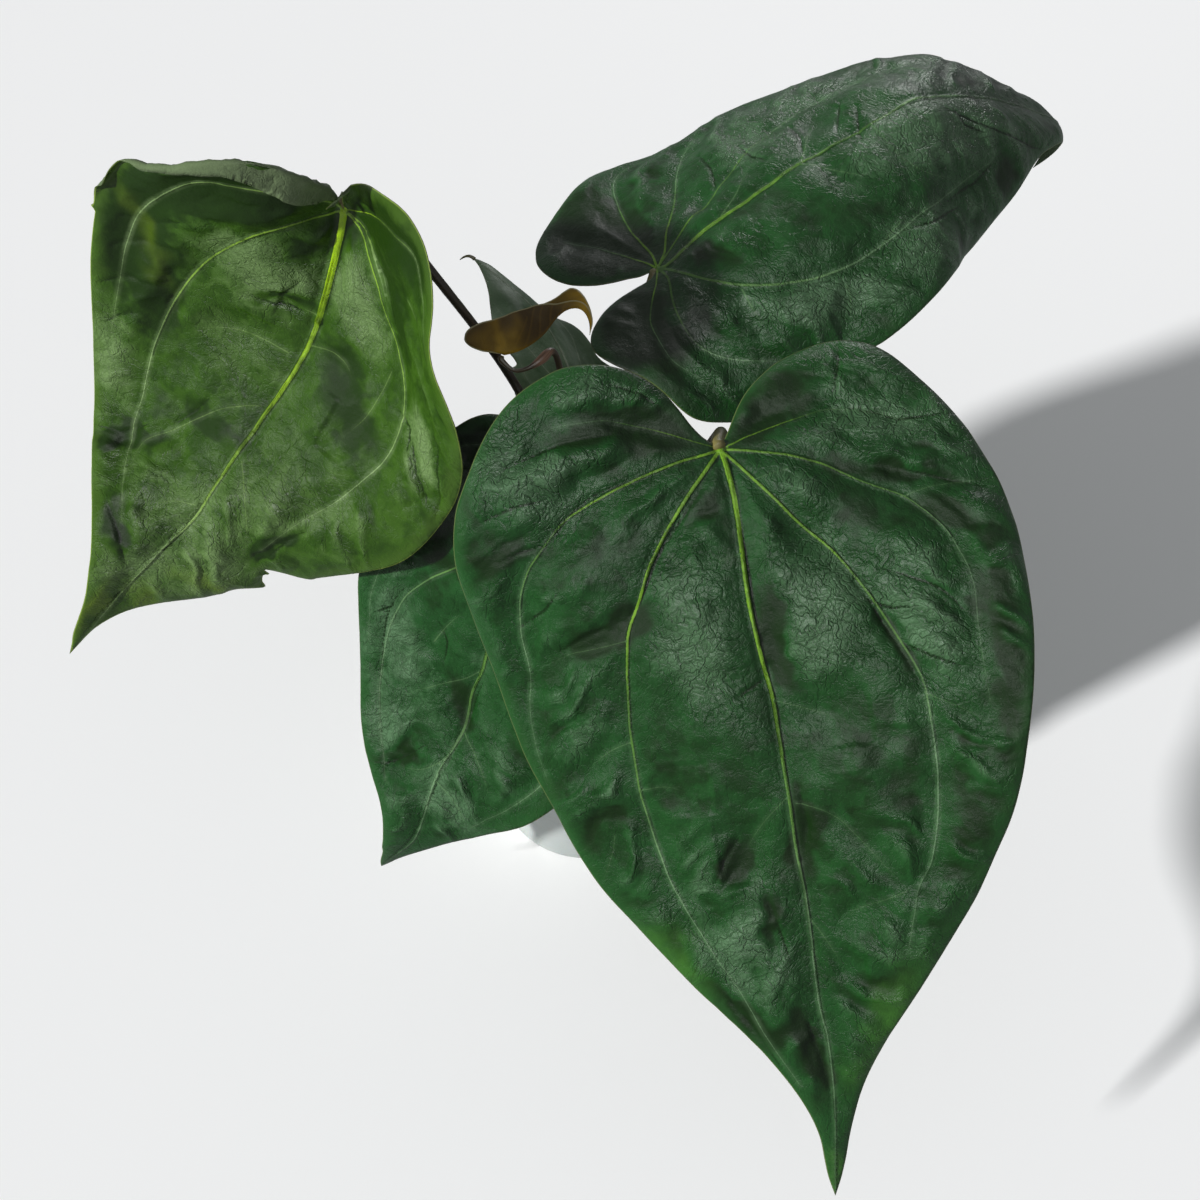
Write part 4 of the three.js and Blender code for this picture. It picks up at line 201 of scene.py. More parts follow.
            [-146.02, 36.04, 365.66], [-156.09, 52.22, 345.51], [-165.51, 70.3, 325.8], [-174.2, 88.58, 306.23], [-187.72, 94.67, 284.51], [-203.58, 85.48, 259.35],
            [-215.89, 80.59, 234.13], [-227.99, 75.81, 210.72], [-240.63, 65.45, 191.52], [-253.95, 50.13, 176.5], [-268.03, 32.74, 162.42], [-282.62, 15.32, 147.53],
            [-297.44, -1.55, 131.8], [-127.3, 30.73, 355.11], [-138.08, 44.08, 334.31], [-148.47, 59.58, 313.99], [-155.14, 80.9, 294.86], [-168.53, 89.82, 273.87],
            [-185.5, 74.96, 248.4], [-195.98, 73.33, 223.8], [-208.16, 70.61, 200.42], [-221.42, 58.56, 182.55], [-235.27, 40.95, 170.26], [-250.06, 22.52, 157.13],
            [-265.17, 5.3, 141.78], [-280.27, -10.84, 125.18], [-107.85, 29.09, 345.39], [-118.97, 39.05, 323.78], [-131.63, 48.47, 302.14], [-139.72, 65.34, 281.93],
            [-150.27, 79.8, 261.01], [-164.64, 69.99, 237.08], [-174.88, 69.85, 214.06], [-187.93, 66.4, 190.04], [-202.39, 50.59, 174.01], [-216.62, 30.17, 166.03],
            [-232.46, 11.34, 152.94], [-248.16, -4.68, 135.91], [-263.43, -19.24, 117.7], [-88.06, 33.64, 337.14], [-97.42, 44.4, 315.42], [-108.93, 55.54, 294.17],
            [-120.32, 63.67, 271.71], [-130.2, 72.69, 248.25], [-142.26, 70.61, 225.48], [-154.66, 63.3, 204.15], [-168.43, 54.82, 182.24], [-184.11, 36.99, 170.3],
            [-198.01, 16.63, 165.68], [-215.88, -0.28, 149.16], [-231.98, -13.29, 128.58], [-247.03, -25.25, 108.34], [-70.89, 39.32, 329.7], [-76.85, 48.89, 306.11],
            [-84.31, 56.14, 282.37], [-99.94, 59.21, 260.52], [-110.25, 65.85, 237.84], [-120.85, 65.57, 213.83], [-134.47, 54.09, 194.59], [-148.92, 42.26, 175.89],
            [-164.6, 23.68, 168.14], [-180.81, 4.03, 161.35], [-201.74, -8.26, 140.32], [-216.76, -17.53, 117.26], [-230.84, -26.9, 96.36], [-60.41, 44.55, 325.37],
            [-66.03, 57.41, 301.29], [-70.83, 76.21, 277.45], [-80.77, 81.11, 251.49], [-87.5, 64.76, 225.98], [-98.42, 57.47, 202.56], [-115.42, 41.59, 187.91],
            [-130.13, 27.66, 171.99], [-147.1, 10.31, 159.01], [-167.11, 3.98, 141.19], [-188.43, -3.15, 123.19], [-200.9, -14.74, 103.6], [-214.22, -23.24, 83.42],
            [-53.21, 41.31, 323.92], [-61.28, 48.94, 300.13], [-65.92, 57.4, 276.8], [-61.61, 60.27, 249.16], [-67.29, 53.7, 221.07], [-80.51, 43.1, 197.89],
            [-95.91, 28.41, 181.49], [-112.3, 12.37, 166.09], [-129.29, 3.48, 145.67], [-148.64, 5.41, 123.49], [-169.24, 4.41, 107.4], [-183.36, -6.76, 90.33],
            [-197.22, -15.6, 70.72], [-41.2, 32.31, 323.33], [-45.53, 36.01, 298.69], [-48.37, 35.96, 273.22], [-52.13, 35.1, 247.02], [-53.38, 35.19, 219.9],
            [-63.1, 27.28, 193.7], [-76.5, 13.71, 174.12], [-93.04, 5.86, 153.96], [-109.04, 13.17, 130.05], [-128.92, 14.1, 110.15], [-147.84, 9.78, 92.59],
            [-163.77, 1.08, 75.26], [-178.85, -7.21, 56.65], [-31.93, 16.91, 323.39], [-36.13, 17.33, 298.56], [-41.93, 14.78, 273.31], [-51.75, 12.19, 246.65],
            [-43.12, 12.53, 221.1], [-43.91, 12.74, 192.03], [-55.16, -2.54, 164.66], [-75.92, -5.94, 142.65], [-89.11, 7.92, 117.88], [-107.5, 12.55, 97.44],
            [-125.9, 10.63, 78.84], [-142.87, 5.08, 60.78], [-159.06, -1.22, 42.33], [-27.36, -2.94, 323.46], [-33.56, -4.94, 298.35], [-41.05, -8.45, 272.89],
            [-45.43, -10.33, 246.98], [-32.71, -8.08, 222.4], [-26.88, -3.65, 192.24], [-33.48, -10.1, 160.07], [-52.58, -12.15, 133.69], [-68.48, -1.47, 108.44],
            [-86.12, 5.81, 86.34], [-104.12, 7.59, 66.32], [-121.51, 5.44, 47.3], [-138.39, 1.64, 28.46], [-23.63, -24.03, 323.51], [-29.66, -26.67, 298.27],
            [-34.51, -29.33, 272.79], [-33.46, -29.63, 246.94], [-22.07, -26.13, 220.44], [-14.3, -21.06, 189.55], [-17.4, -20.65, 156.57], [-31.35, -18.34, 126.89],
            [-47.35, -9.41, 99.94], [-64.7, -1.09, 76.06], [-82.5, 3.34, 54.57], [-100.08, 3.98, 34.52], [-117.33, 2.4, 15.1],
        ],
        "right": [[0, 0], [-2.72, -8.58], [1.44, -11.62], [6.41, -14.3], [11.5, -16.86], [16.14, -19.44], [20.39, -22.12], [24.79, -24.39], [29.42, -26.19], [34.26, -27.53], [39.39, -27.85], [44.32, -26.46], [49.15, -24.47], [53.87, -22], [58.1, -18.84], [61.57, -14.93], [64.14, -10.26], [65.45, -4.97], [66.39, 0.36], [67.81, 5.09], [73.03, 8.13], [74.75, 12.88], [76.22, 17.73], [77.15, 22.71], [77.77, 27.73], [77.4, 32.79], [77.21, 37.79], [76.74, 42.8], [76.19, 47.79], [75.6, 52.82], [75.2, 57.89], [74.59, 62.94], [73.54, 67.9], [72.25, 72.81], [71, 77.73], [69.79, 82.66], [68.56, 87.59], [67.03, 92.42], [65.03, 97.12], [62.63, 101.62], [60.29, 106.11], [58.02, 110.61], [55.68, 115.08], [53.33, 119.56], [50.8, 123.95], [47.89, 128.1], [44.4, 131.81], [40.62, 135.27], [37.12, 138.87], [34.05, 142.85], [31.36, 147.25], [28.79, 151.74], [25.87, 155.91], [22.49, 159.67], [18.83, 163.16], [15.43, 166.91], [12.28, 170.9], [9.35, 175.08], [6.77, 179.51], [4.54, 184.13], [2.77, 189], [1.86, 194.04], [1.11, 199.05], [0, 204]],
        "left": [[0, 0], [-3.61, -3.6], [-6.62, -7.68], [-9.44, -11.9], [-12.38, -16.05], [-15.85, -19.76], [-19.92, -22.83], [-24.5, -25.07], [-29.29, -26.67], [-34.25, -27.59], [-39.33, -27.5], [-44.05, -25.87], [-48.45, -23.37], [-52.47, -20.29], [-56.15, -16.83], [-59.55, -13.11], [-62.64, -9.13], [-65.33, -4.89], [-67.94, -0.57], [-70.42, 3.78], [-72.34, 8.4], [-74.07, 13.11], [-75.66, 17.87], [-76.84, 22.76], [-77.99, 27.7], [-79.09, 32.76], [-79.19, 37.91], [-78.25, 42.96], [-77.16, 47.95], [-76.07, 52.9], [-75.01, 57.86], [-73.95, 62.81], [-72.89, 67.76], [-71.77, 72.69], [-70.59, 77.62], [-69.28, 82.51], [-67.87, 87.37], [-66.33, 92.2], [-64.7, 96.99], [-62.72, 101.66], [-60.58, 106.25], [-58.3, 110.76], [-55.84, 115.17], [-53.29, 119.53], [-50.61, 123.82], [-47.81, 128.04], [-44.88, 132.17], [-41.78, 136.19], [-38.5, 140.05], [-35.04, 143.75], [-31.53, 147.4], [-28.08, 151.12], [-24.71, 154.9], [-21.48, 158.8], [-18.35, 162.78], [-15.5, 166.95], [-12.68, 171.15], [-10.01, 175.45], [-7.82, 180.01], [-6.15, 184.77], [-4.67, 189.56], [-3.27, 194.39], [-1.38, 199.13], [0, 204]],
        "ribs": [
            ("stub", 1.45, 1.15, 0, 0.9, [[0, 0.3], [0.5, 4.3], [0.6, 8.4], [0.4, 12.4], [0.3, 16.5], [0.2, 20.5], [0.1, 24.6], [0.1, 28.7], [0.1, 32.7], [0.2, 36.8], [0.2, 40.9]]),
            ("mid", 0.9, 0.1, 0.25, 0.6, [[0.2, 40.9], [0.4, 44.8], [0.6, 48.8], [0.6, 52.7], [0.6, 56.7], [0.7, 60.7], [0.6, 64.6], [0.4, 68.6], [0.2, 72.5], [0, 76.5], [-0.1, 80.5], [-0.1, 84.4], [-0, 88.4], [0, 92.3], [0, 96.3], [-0, 100.3], [-0.1, 104.2], [-0, 108.2], [0.1, 112.1], [0.3, 116.1], [0.5, 120.1], [0.8, 124], [0.7, 128], [0.4, 131.9], [-0, 135.9], [-0.4, 139.8], [-0.6, 143.8], [-0.6, 147.7], [-0.5, 151.7], [-0.4, 155.6], [-0.2, 159.6], [0.1, 163.6], [0.4, 167.5], [0.7, 171.5], [1, 175.4], [1.3, 179.4], [1.4, 183.3], [1.5, 187.3], [1.5, 191.2], [1.3, 195.2], [0.7, 199.1], [0, 203]]),
            ("l1", 0.42, 0.07, 0.35, 0.4, [[0, 0.3], [-3.8, 1.6], [-7.6, 2.8], [-11.5, 3.9], [-15.2, 5.3], [-18.7, 7.2], [-21.9, 9.5], [-24.9, 12.2], [-27.6, 15.1], [-29.9, 18.4], [-32, 21.8], [-33.9, 25.3], [-35.6, 28.9], [-37.3, 32.6], [-38.8, 36.3], [-40.2, 40.1], [-41.4, 43.9], [-42.4, 47.7], [-43.3, 51.6], [-44, 55.6], [-44.6, 59.5], [-45.1, 63.5], [-45.4, 67.5], [-45.5, 71.5], [-45.5, 75.5], [-45.4, 79.5], [-45.1, 83.5], [-44.5, 87.4], [-43.8, 91.4], [-42.9, 95.3], [-41.8, 99.1], [-40.9, 103], [-40.2, 107], [-39.4, 110.9], [-38.3, 114.7], [-36.7, 118.4], [-35, 122], [-33.2, 125.6], [-31.2, 129], [-28.9, 132.3], [-26.4, 135.5], [-23.9, 138.6], [-21.4, 141.7], [-18.9, 144.8]]),
            ("l2", 0.4, 0.07, 0.6, 0.3, [[0, 0.3], [-3.4, -1.7], [-7, -3.3], [-10.8, -4.4], [-14.6, -5.5], [-18.4, -6.5], [-22.3, -7.3], [-26.3, -7.5], [-30.2, -7.3], [-34.1, -6.7], [-38, -5.8], [-41.8, -4.7], [-45.5, -3.2], [-48.9, -1.3], [-51.7, 1.4], [-54, 4.6], [-55.9, 8.1], [-57.5, 11.7], [-58.9, 15.4], [-60.1, 19.2], [-61.3, 23], [-62.5, 26.8], [-63.6, 30.6], [-64.6, 34.4], [-65.4, 38.3], [-65.6, 42.2], [-65.5, 46.2], [-65.4, 50.2], [-65, 54.1], [-64.4, 58], [-63.9, 62], [-63.4, 65.9], [-62.9, 69.8], [-62.4, 73.8], [-61.9, 77.7], [-61.3, 81.6], [-60.7, 85.5]]),
            ("r1", 0.36, 0.07, 0.45, 0.35, [[0, 0.3], [3.7, 1.8], [7.5, 3.1], [10.6, 5.3], [13.3, 8.3], [15.9, 11.4], [18.3, 14.6], [20.7, 17.8], [23, 21.1], [25.6, 24.2], [28.4, 27], [31.4, 29.8], [34.3, 32.5], [37.3, 35.2], [40.1, 38.1], [42.2, 41.4], [44, 45], [45.2, 48.8], [45.8, 52.8], [46, 56.8], [45.9, 60.8], [45.5, 64.8], [44.7, 68.7], [43.5, 72.5], [42.2, 76.4], [41, 80.2], [39.8, 84], [38.7, 87.9], [37.4, 91.7], [35.9, 95.4], [34.3, 99.1], [32.8, 102.8], [31.4, 106.6], [30.3, 110.5], [29.1, 114.3], [28, 118.2], [26.9, 122]]),
            ("r1b", 0.28, 0.06, 0.45, 0.3, [[0, 0.3], [4, 0.7], [8, 1.2], [11.7, 2.6], [14.5, 5.3], [17.2, 8.4], [19.7, 11.5], [22.1, 14.8], [24.5, 18.1], [26.9, 21.3]]),
            ("r2", 0.22, 0.06, 0.3, 0.25, [[0, 0.3], [4.2, 0.8], [8.3, 1.5], [12.1, 3], [15.6, 5.3], [18.7, 8.1], [21.6, 11.2], [24.1, 14.5], [26.5, 17.9]]),
            ("r3", 0.2, 0.06, 0.2, 0.2, [[0, 0.3], [2.7, -0.9], [5.5, -2], [8.2, -3.2], [10.9, -4.5], [13.5, -5.8], [16.2, -7.1], [18.8, -8.4], [21.5, -9.7], [24.2, -11], [26.9, -12], [29.8, -12.5], [32.8, -12.8], [35.7, -13.2], [38.7, -13.6], [41.5, -13.6], [44.2, -12.7], [46.8, -11.2], [49.4, -9.8], [52, -8.3], [54.5, -6.8], [56.5, -4.8], [58.1, -2.3], [59.6, 0.3], [61.1, 2.8], [62.5, 5.4], [64, 8]]),
            ("s", 0.22, 0.06, 0.7, 0.14, [[-2.7, 79.3], [-6, 81.5], [-9.1, 84.1], [-12.1, 86.8], [-14.7, 89.8], [-17, 93.2], [-19.2, 96.5], [-21.3, 99.9], [-23.4, 103.4], [-25.4, 106.8], [-27.8, 110.1], [-30.2, 113.3], [-31.9, 116.8], [-31.8, 120.7], [-30.9, 124.6], [-29.7, 128.4], [-28.1, 132.1], [-26.2, 135.6], [-24.2, 139.2]]),
            ("s", 0.22, 0.06, 0.7, 0.14, [[3.2, 99.6], [5.8, 102.7], [8.4, 105.8], [11.1, 108.8], [13.8, 111.9], [16.2, 115.1], [18.4, 118.5], [20.4, 122], [22, 125.8], [23.4, 129.6], [24.8, 133.4]]),
            ("s", 0.22, 0.06, 0.7, 0.14, [[-4.3, 56.9], [-8.3, 57], [-12.3, 57.2], [-16.3, 57.8], [-20.2, 58.7], [-23.9, 60.2], [-27.5, 61.9], [-30.9, 64.2], [-33.8, 66.9], [-36.6, 69.8]]),
            ("s", 0.22, 0.06, 0.7, 0.14, [[1.1, 39.2], [-1.7, 39.1], [-4.4, 39], [-7.2, 39]]),
            ("s", 0.22, 0.06, 0.7, 0.14, [[33.9, 40], [33.6, 44.1], [33.4, 48.2], [33.1, 52.3], [32.4, 56.3], [31.5, 60.3], [30.1, 64.1], [28.7, 68], [27.3, 71.8]]),
            ("s", 0.22, 0.06, 0.7, 0.14, [[37.8, 8.9], [40.7, 9.2], [43.6, 9.5], [46.6, 9.6], [49.5, 9.8]]),
            ("s", 0.22, 0.06, 0.7, 0.14, [[-1.9, 123.1], [-4.4, 124.4], [-7, 125.7], [-9.3, 127.4], [-11.3, 129.4], [-13.1, 131.7], [-14.8, 133.9]]),
            ("s", 0.22, 0.06, 0.7, 0.14, [[1.7, 50], [5.2, 48.6], [8.8, 47.6], [12.5, 47.6], [16.1, 48.5], [19.2, 50.5], [22.1, 53]]),
        ],
        "dents": [
            ("round", -1.2, [-59, 43.6], [6.4, 9, -2.3, 3.1]),
            ("round", -1, [-47, 58.4], [6.7, 13.7, -2.7, 2.5]),
            ("round", 1, [-53.7, 49.9], [6.6, 11.5, -2.3, 2.4]),
            ("round", 0.9, [-47.7, 40.2], [9.7, 9.7, -1.8, 3.5]),
            ("round", -1.4, [-14.5, 40.7], [9.6, -1.3, -0, 2.6]),
            ("round", 0.8, [61.9, 59.2], [9.3, -8.5, 1.4, 1.6]),
            ("round", -0.7, [63.7, 69.2], [7.3, -7.8, 1.6, 1.4]),
            ("round", 0.8, [67, 78.4], [6.1, -8.5, 2.1, 1.4]),
            ("round", -1.3, [-40.3, 120.2], [11.4, -5.9, 1.6, 3]),
            ("round", -1.2, [-15.5, 147], [10, 10.1, -2.5, 2.5]),
            ("round", 0.8, [-43.7, 124.4], [2, -8, 3, 0.8]),
            ("round", 0.7, [-26.8, 141.2], [-0.3, -8.9, 3.1, 0.1]),
            ("round", -1.4, [-74.9, 30.9], [5.2, -5.3, 1.1, 3.7]),
            ("round", -1.1, [30.2, 122.1], [3.7, -9.7, 1.8, 1.4]),
            ("round", 0.7, [8.5, 39.7], [14.4, 8.3, -3.3, 4.6]),
            ("round", -0.7, [13.3, 78], [16.1, 6.6, -2.5, 5.3]),
            ("round", 0.9, [-32.3, 71.2], [14.6, 14.8, -3.7, 5]),
            ("round", -0.8, [-11.1, 74], [13.7, 10.7, -3.4, 4.8]),
            ("round", 0.9, [1.5, 100], [12.9, 12.1, -4.8, 5]),
            ("round", -0.8, [-23.2, 104.9], [10.3, 10.5, -3.8, 3.9]),
            ("round", -0.7, [12.2, 139.4], [19.1, -8.4, 2.9, 5.9]),
            ("painted_sheen_shade", 1, [-22.3, 27.1], [18.1, 0.1, -0.3, 14.5]),
            ("painted_sheen_shade", 0.9, [13.4, 26.1], [12.7, 15.6, -8.9, 7.1]),
            ("painted_sheen_shade", 1, [58.3, 55.8], [8, 15.7, -6.7, 5]),
            ("painted_sheen_shade", 0.5, [-2.4, 125.9], [34.7, -12, 5.6, 16.2]),
            ("painted_sheen_shade", 0.8, [4.3, 152.2], [23.7, -20, 7.3, 10.5]),
            ("painted_sheen_shade", 0.3, [-21.2, 36.4], [21, -2.1, -0.1, 15.6]),
            ("painted_sheen_shade", 0.4, [27.4, 97.8], [27.6, -3.7, 1.6, 16.4]),
            ("painted_sheen_shade", 0.7, [-58.1, 97.8], [15.1, 22, -7.6, 7.3]),
            ("painted_sheen_shade", 0.35, [-19, 66.5], [26, 4.1, -2.2, 13]),
            ("painted_sheen_shade", -2.2, [-44.6, 3.9], [27.7, -14.5, 1.4, 12.1]),
            ("painted_sheen_shade", -2.2, [-59.9, 46.3], [13.3, 23.9, -8.6, 8.9]),
            ("painted_sheen_shade", -1.5, [-70.9, 39.1], [11.7, 2.4, -2.4, 9.2]),
            ("painted_sheen_shade", -1, [18.3, -8.9], [38.5, -31.5, -3.8, 12.4]),
            ("painted_sheen_shade", -1, [39.4, -14.9], [19.3, 2.1, -14.5, 17.7]),
            ("painted_sheen_shade", -1, [22.8, 56.5], [14.6, 14.6, -6.5, 6.1]),
            ("painted_sheen_shade", -0.9, [31.1, 14.5], [10.4, 14.5, -5.8, 5.3]),
            ("painted_sheen_shade", -2, [-40.3, 120.2], [12, -6.2, 2, 3.7]),
            ("painted_sheen_shade", -1.3, [-17.4, 148.6], [10.1, 10.1, -2.6, 2.5]),
            ("painted_sheen_shade", -0.9, [-43.5, 60.7], [4.5, 10.7, -2.8, 2.2]),
            ("painted_sheen_shade", -0.8, [-15.8, 95], [12.5, -0.4, -0.2, 3.4]),
            ("painted_sheen_shade", -2, [30.2, 122.1], [3.7, -9.7, 1.8, 1.4]),
            ("painted_sheen_shade", -0.8, [68, 73.9], [9.9, 12.6, -2.3, 2]),
            ("painted_sheen_shade", -1.6, [-79.5, 35.4], [8.7, -7.4, 1.8, 5.1]),
            ("painted_sheen_shade", -1.4, [-12.4, 39.4], [10.9, -2.3, 0.1, 2.1]),
            ("tint", 0.3, [-60.6, 42.5], [13.9, 14.1, -2.4, 4.1]),
            ("tint", 0.6, [32.8, 147.4], [21.7, -1.5, 2.4, 4.8]),
            ("tint", 0.5, [10.6, 167.5], [11.2, 0.6, 2.2, 5.4]),
            ("tint", 0.7, [-3.9, 181.5], [-2.1, -10.4, 3.3, 0.7]),
        ],
        "cracks": [
            [[-22.5, 42.2], [-16.9, 42.2], [-10.4, 40.4], [-5.3, 40.4]],
            [[29, 128.4], [30.7, 123], [32, 117.4], [33.3, 111.9], [35.6, 106.3]],
            [[-70, 68.5], [-60.9, 60.4], [-49.2, 57.9]],
            [[-64.5, 84.2], [-60, 77.5], [-54.9, 72.4]],
            [[-46.8, 63.7], [-44.4, 53], [-41.9, 41.8]],
            [[-25.4, 102.8], [-21.4, 94.6], [-19.3, 87.7]],
            [[-51.1, 122.1], [-41.2, 118.9], [-33.1, 109.3]],
            [[-27.5, 142.7], [-17.4, 148.6], [-7.2, 157.1]],
            [[21, 10.1], [27.6, 17.1], [33.2, 26.3], [39.7, 36]],
            [[52, 53.4], [58.2, 61.6], [65.6, 68.7]],
            [[64, 40.8], [67.8, 58.5], [70.2, 73.3]],
            [[-70.3, 40.7], [-60.9, 36.8], [-51, 24.6]],
            [[-69.4, 52.2], [-61.8, 45.5], [-52.7, 41]],
            [[-9.7, 29.3], [-13.5, 36.5], [-18.2, 37.4]],
            [[42.6, 48.8], [49.9, 50.9], [52.7, 59.5]],
        ],
    },
    "low": {
        "length": 186, "rect": [-85.56, 85.56, -44.64, 197.16], "rows": 11,
        "net": [
            [-124.44, -3.26, 243.89], [-118.36, 11.37, 220.08], [-111.14, 29.9, 196.54], [-104.54, 50.09, 174.45], [-107.37, 55.57, 156.18], [-117.72, 46.27, 140.96],
            [-126.99, 35.68, 122.77], [-135.48, 24.91, 103.28], [-144.6, 12.81, 85.37], [-154.2, 1.08, 68.66], [-164.02, -8.81, 52.43], [-173.77, -16.09, 35.69],
            [-183.39, -21.55, 18.29], [-103.75, -1.78, 244.78], [-99.34, 8.1, 220.99], [-92.99, 23.12, 196.92], [-83.05, 47.67, 173.4], [-87.68, 50.34, 155.21],
            [-102.45, 33.31, 142.62], [-110.83, 22.87, 122.74], [-118.25, 13.26, 101.49], [-127.44, 0.49, 83.88], [-137.13, -11.57, 67.44], [-147.06, -21.15, 51.55],
            [-156.77, -27.04, 34.47], [-166.25, -30.82, 16.37], [-80.91, 5.1, 245.39], [-79.02, 8.56, 222.01], [-76.05, 14.98, 197.92], [-62.16, 43.03, 172.5],
            [-69.62, 41.22, 154.53], [-88.61, 17.24, 144.97], [-93.96, 10.38, 121.74], [-100.33, 2.36, 98.87], [-110.37, -12.32, 82.81], [-120.01, -24.75, 66.34],
            [-130.2, -34.05, 51.14], [-139.76, -37.5, 33.19], [-148.97, -38.65, 13.72], [-54.1, 20.92, 244.91], [-52.48, 23.91, 221.98], [-49.55, 28.71, 197.59],
            [-41.03, 39.03, 170.43], [-55.84, 22.44, 155.52], [-69.79, 6.66, 142.27], [-75.59, -0.6, 119.66], [-83.23, -10.98, 99.32], [-94.24, -26.36, 83.71],
            [-102.5, -38.36, 65.35], [-113.48, -47.48, 51.49], [-122.63, -46.26, 31.14], [-131.35, -43.79, 9.35], [-26.9, 34.58, 243.16], [-26.12, 36.14, 220.54],
            [-25.35, 30.15, 198.91], [-34.22, 14.7, 180.64], [-47.19, 1.86, 163.21], [-51.2, -4.85, 140.76], [-57.69, -12.16, 118.59], [-64.68, -22.4, 98.29],
            [-76.16, -35.81, 81.66], [-82.95, -53.3, 66.23], [-97.13, -59.77, 51.93], [-105.05, -50.84, 26.25], [-113.12, -45.43, 1.9], [-3.18, 35.05, 241.8],
            [-6.14, 29.03, 220.65], [-11.7, 16.69, 201.32], [-23.96, 4.67, 184.75], [-27.77, -8.35, 162.71], [-31.45, -14.22, 138.35], [-39.49, -22.91, 117.17],
            [-46.01, -33.52, 96.14], [-58.44, -49.15, 82.33], [-65.74, -59.28, 61.49], [-80.65, -57.81, 40.05], [-86.44, -49.42, 14.74], [-94.14, -45.28, -8.98],
            [18.86, 31.02, 239.2], [13.81, 23.01, 217.92], [7.62, 16.25, 195.4], [0.72, 6.24, 174.37], [-6.18, -10.95, 157.1], [-13.52, -23.31, 137.08],
            [-21.05, -34.49, 116.45], [-28.67, -46.26, 96.07], [-38.39, -58.59, 77.48], [-45.67, -59.86, 51.25], [-58.92, -58.18, 27.4], [-66.68, -53.58, 4.35],
            [-74.75, -49.69, -18.88], [40.39, 26.54, 235.06], [34.33, 16.58, 214.02], [27.3, 6.57, 192.99], [20.04, -3, 171.87], [13.38, -14.67, 151.94],
            [6.67, -29.14, 133.08], [-1.07, -41.84, 113.21], [-9.72, -57.13, 95.08], [-19.36, -72.4, 75.55], [-27.4, -70.85, 49.51], [-37.86, -67.15, 23.32],
            [-46.63, -62.58, -1.45], [-55.11, -58.34, -25.71], [61.61, 24.27, 229.61], [55.14, 14.93, 208.23], [48.28, 5.82, 186.83], [41.24, -4.9, 166.08],
            [34.24, -19.02, 147.32], [27.01, -34.07, 129.03], [19.01, -48.41, 109.92], [10.2, -63.61, 92.17], [0.82, -77.87, 72.02], [-8.05, -79.77, 46.91],
            [-17.53, -77.13, 20.61], [-26.52, -73.07, -5.11], [-35.28, -68.93, -30.33], [82.49, 21.87, 224.22], [75.73, 12.02, 203.13], [68.72, 1.67, 182.32],
            [61.49, -10.58, 162.44], [54.24, -25.14, 143.93], [46.87, -40.19, 125.53], [38.86, -55.23, 106.79], [30.13, -69.95, 88.14], [20.96, -82.13, 67.4],
            [11.84, -86.59, 43.32], [2.61, -86.07, 17.63], [-6.43, -83.24, -8.26], [-15.34, -79.73, -33.93], [103.2, 18.95, 219.11], [96.25, 8.4, 198.38],
            [89.11, -3.01, 178.12], [81.79, -16.15, 158.73], [74.37, -30.98, 140.26], [66.79, -46.39, 121.93], [58.71, -61.71, 103.29], [50.05, -76.01, 84.05],
            [41.01, -87.34, 63], [31.87, -93.17, 39.49], [22.71, -94.39, 14.33], [13.64, -92.85, -11.42], [4.66, -90.14, -37.22],
        ],
        "right": [[0, 0], [2.53, -3.64], [4.99, -7.33], [7.4, -11.06], [10.01, -14.63], [12.96, -17.93], [16.22, -20.9], [20.1, -23.06], [24.28, -24.39], [28.62, -24.92], [32.99, -24.15], [36.88, -22.11], [40.45, -19.53], [43.67, -16.47], [46.46, -13.04], [49.05, -9.44], [51.41, -5.69], [53.52, -1.79], [55.53, 2.17], [57.42, 6.17], [58.65, 10.43], [59.71, 14.74], [60.6, 19.08], [61.23, 23.47], [61.58, 27.88], [61.69, 32.31], [61.37, 36.74], [60.9, 41.15], [60.34, 45.54], [59.63, 49.92], [58.92, 54.3], [58.19, 58.67], [57.38, 63.03], [56.49, 67.38], [55.52, 71.7], [54.44, 76], [53.28, 80.28], [52.1, 84.56], [50.87, 88.82], [49.38, 93], [47.8, 97.13], [46.11, 101.24], [44.93, 105.6], [42.78, 109.51], [40.45, 113.31], [38.03, 117.05], [35.48, 120.69], [32.76, 124.2], [30, 127.68], [27.27, 131.16], [24.6, 134.7], [22.01, 138.31], [19.41, 141.9], [16.79, 145.48], [14.14, 149.03], [11.69, 152.72], [9.42, 156.54], [7.47, 160.53], [5.92, 164.69], [4.67, 168.93], [3.54, 173.18], [2.52, 177.48], [1.33, 181.76], [0, 186]],
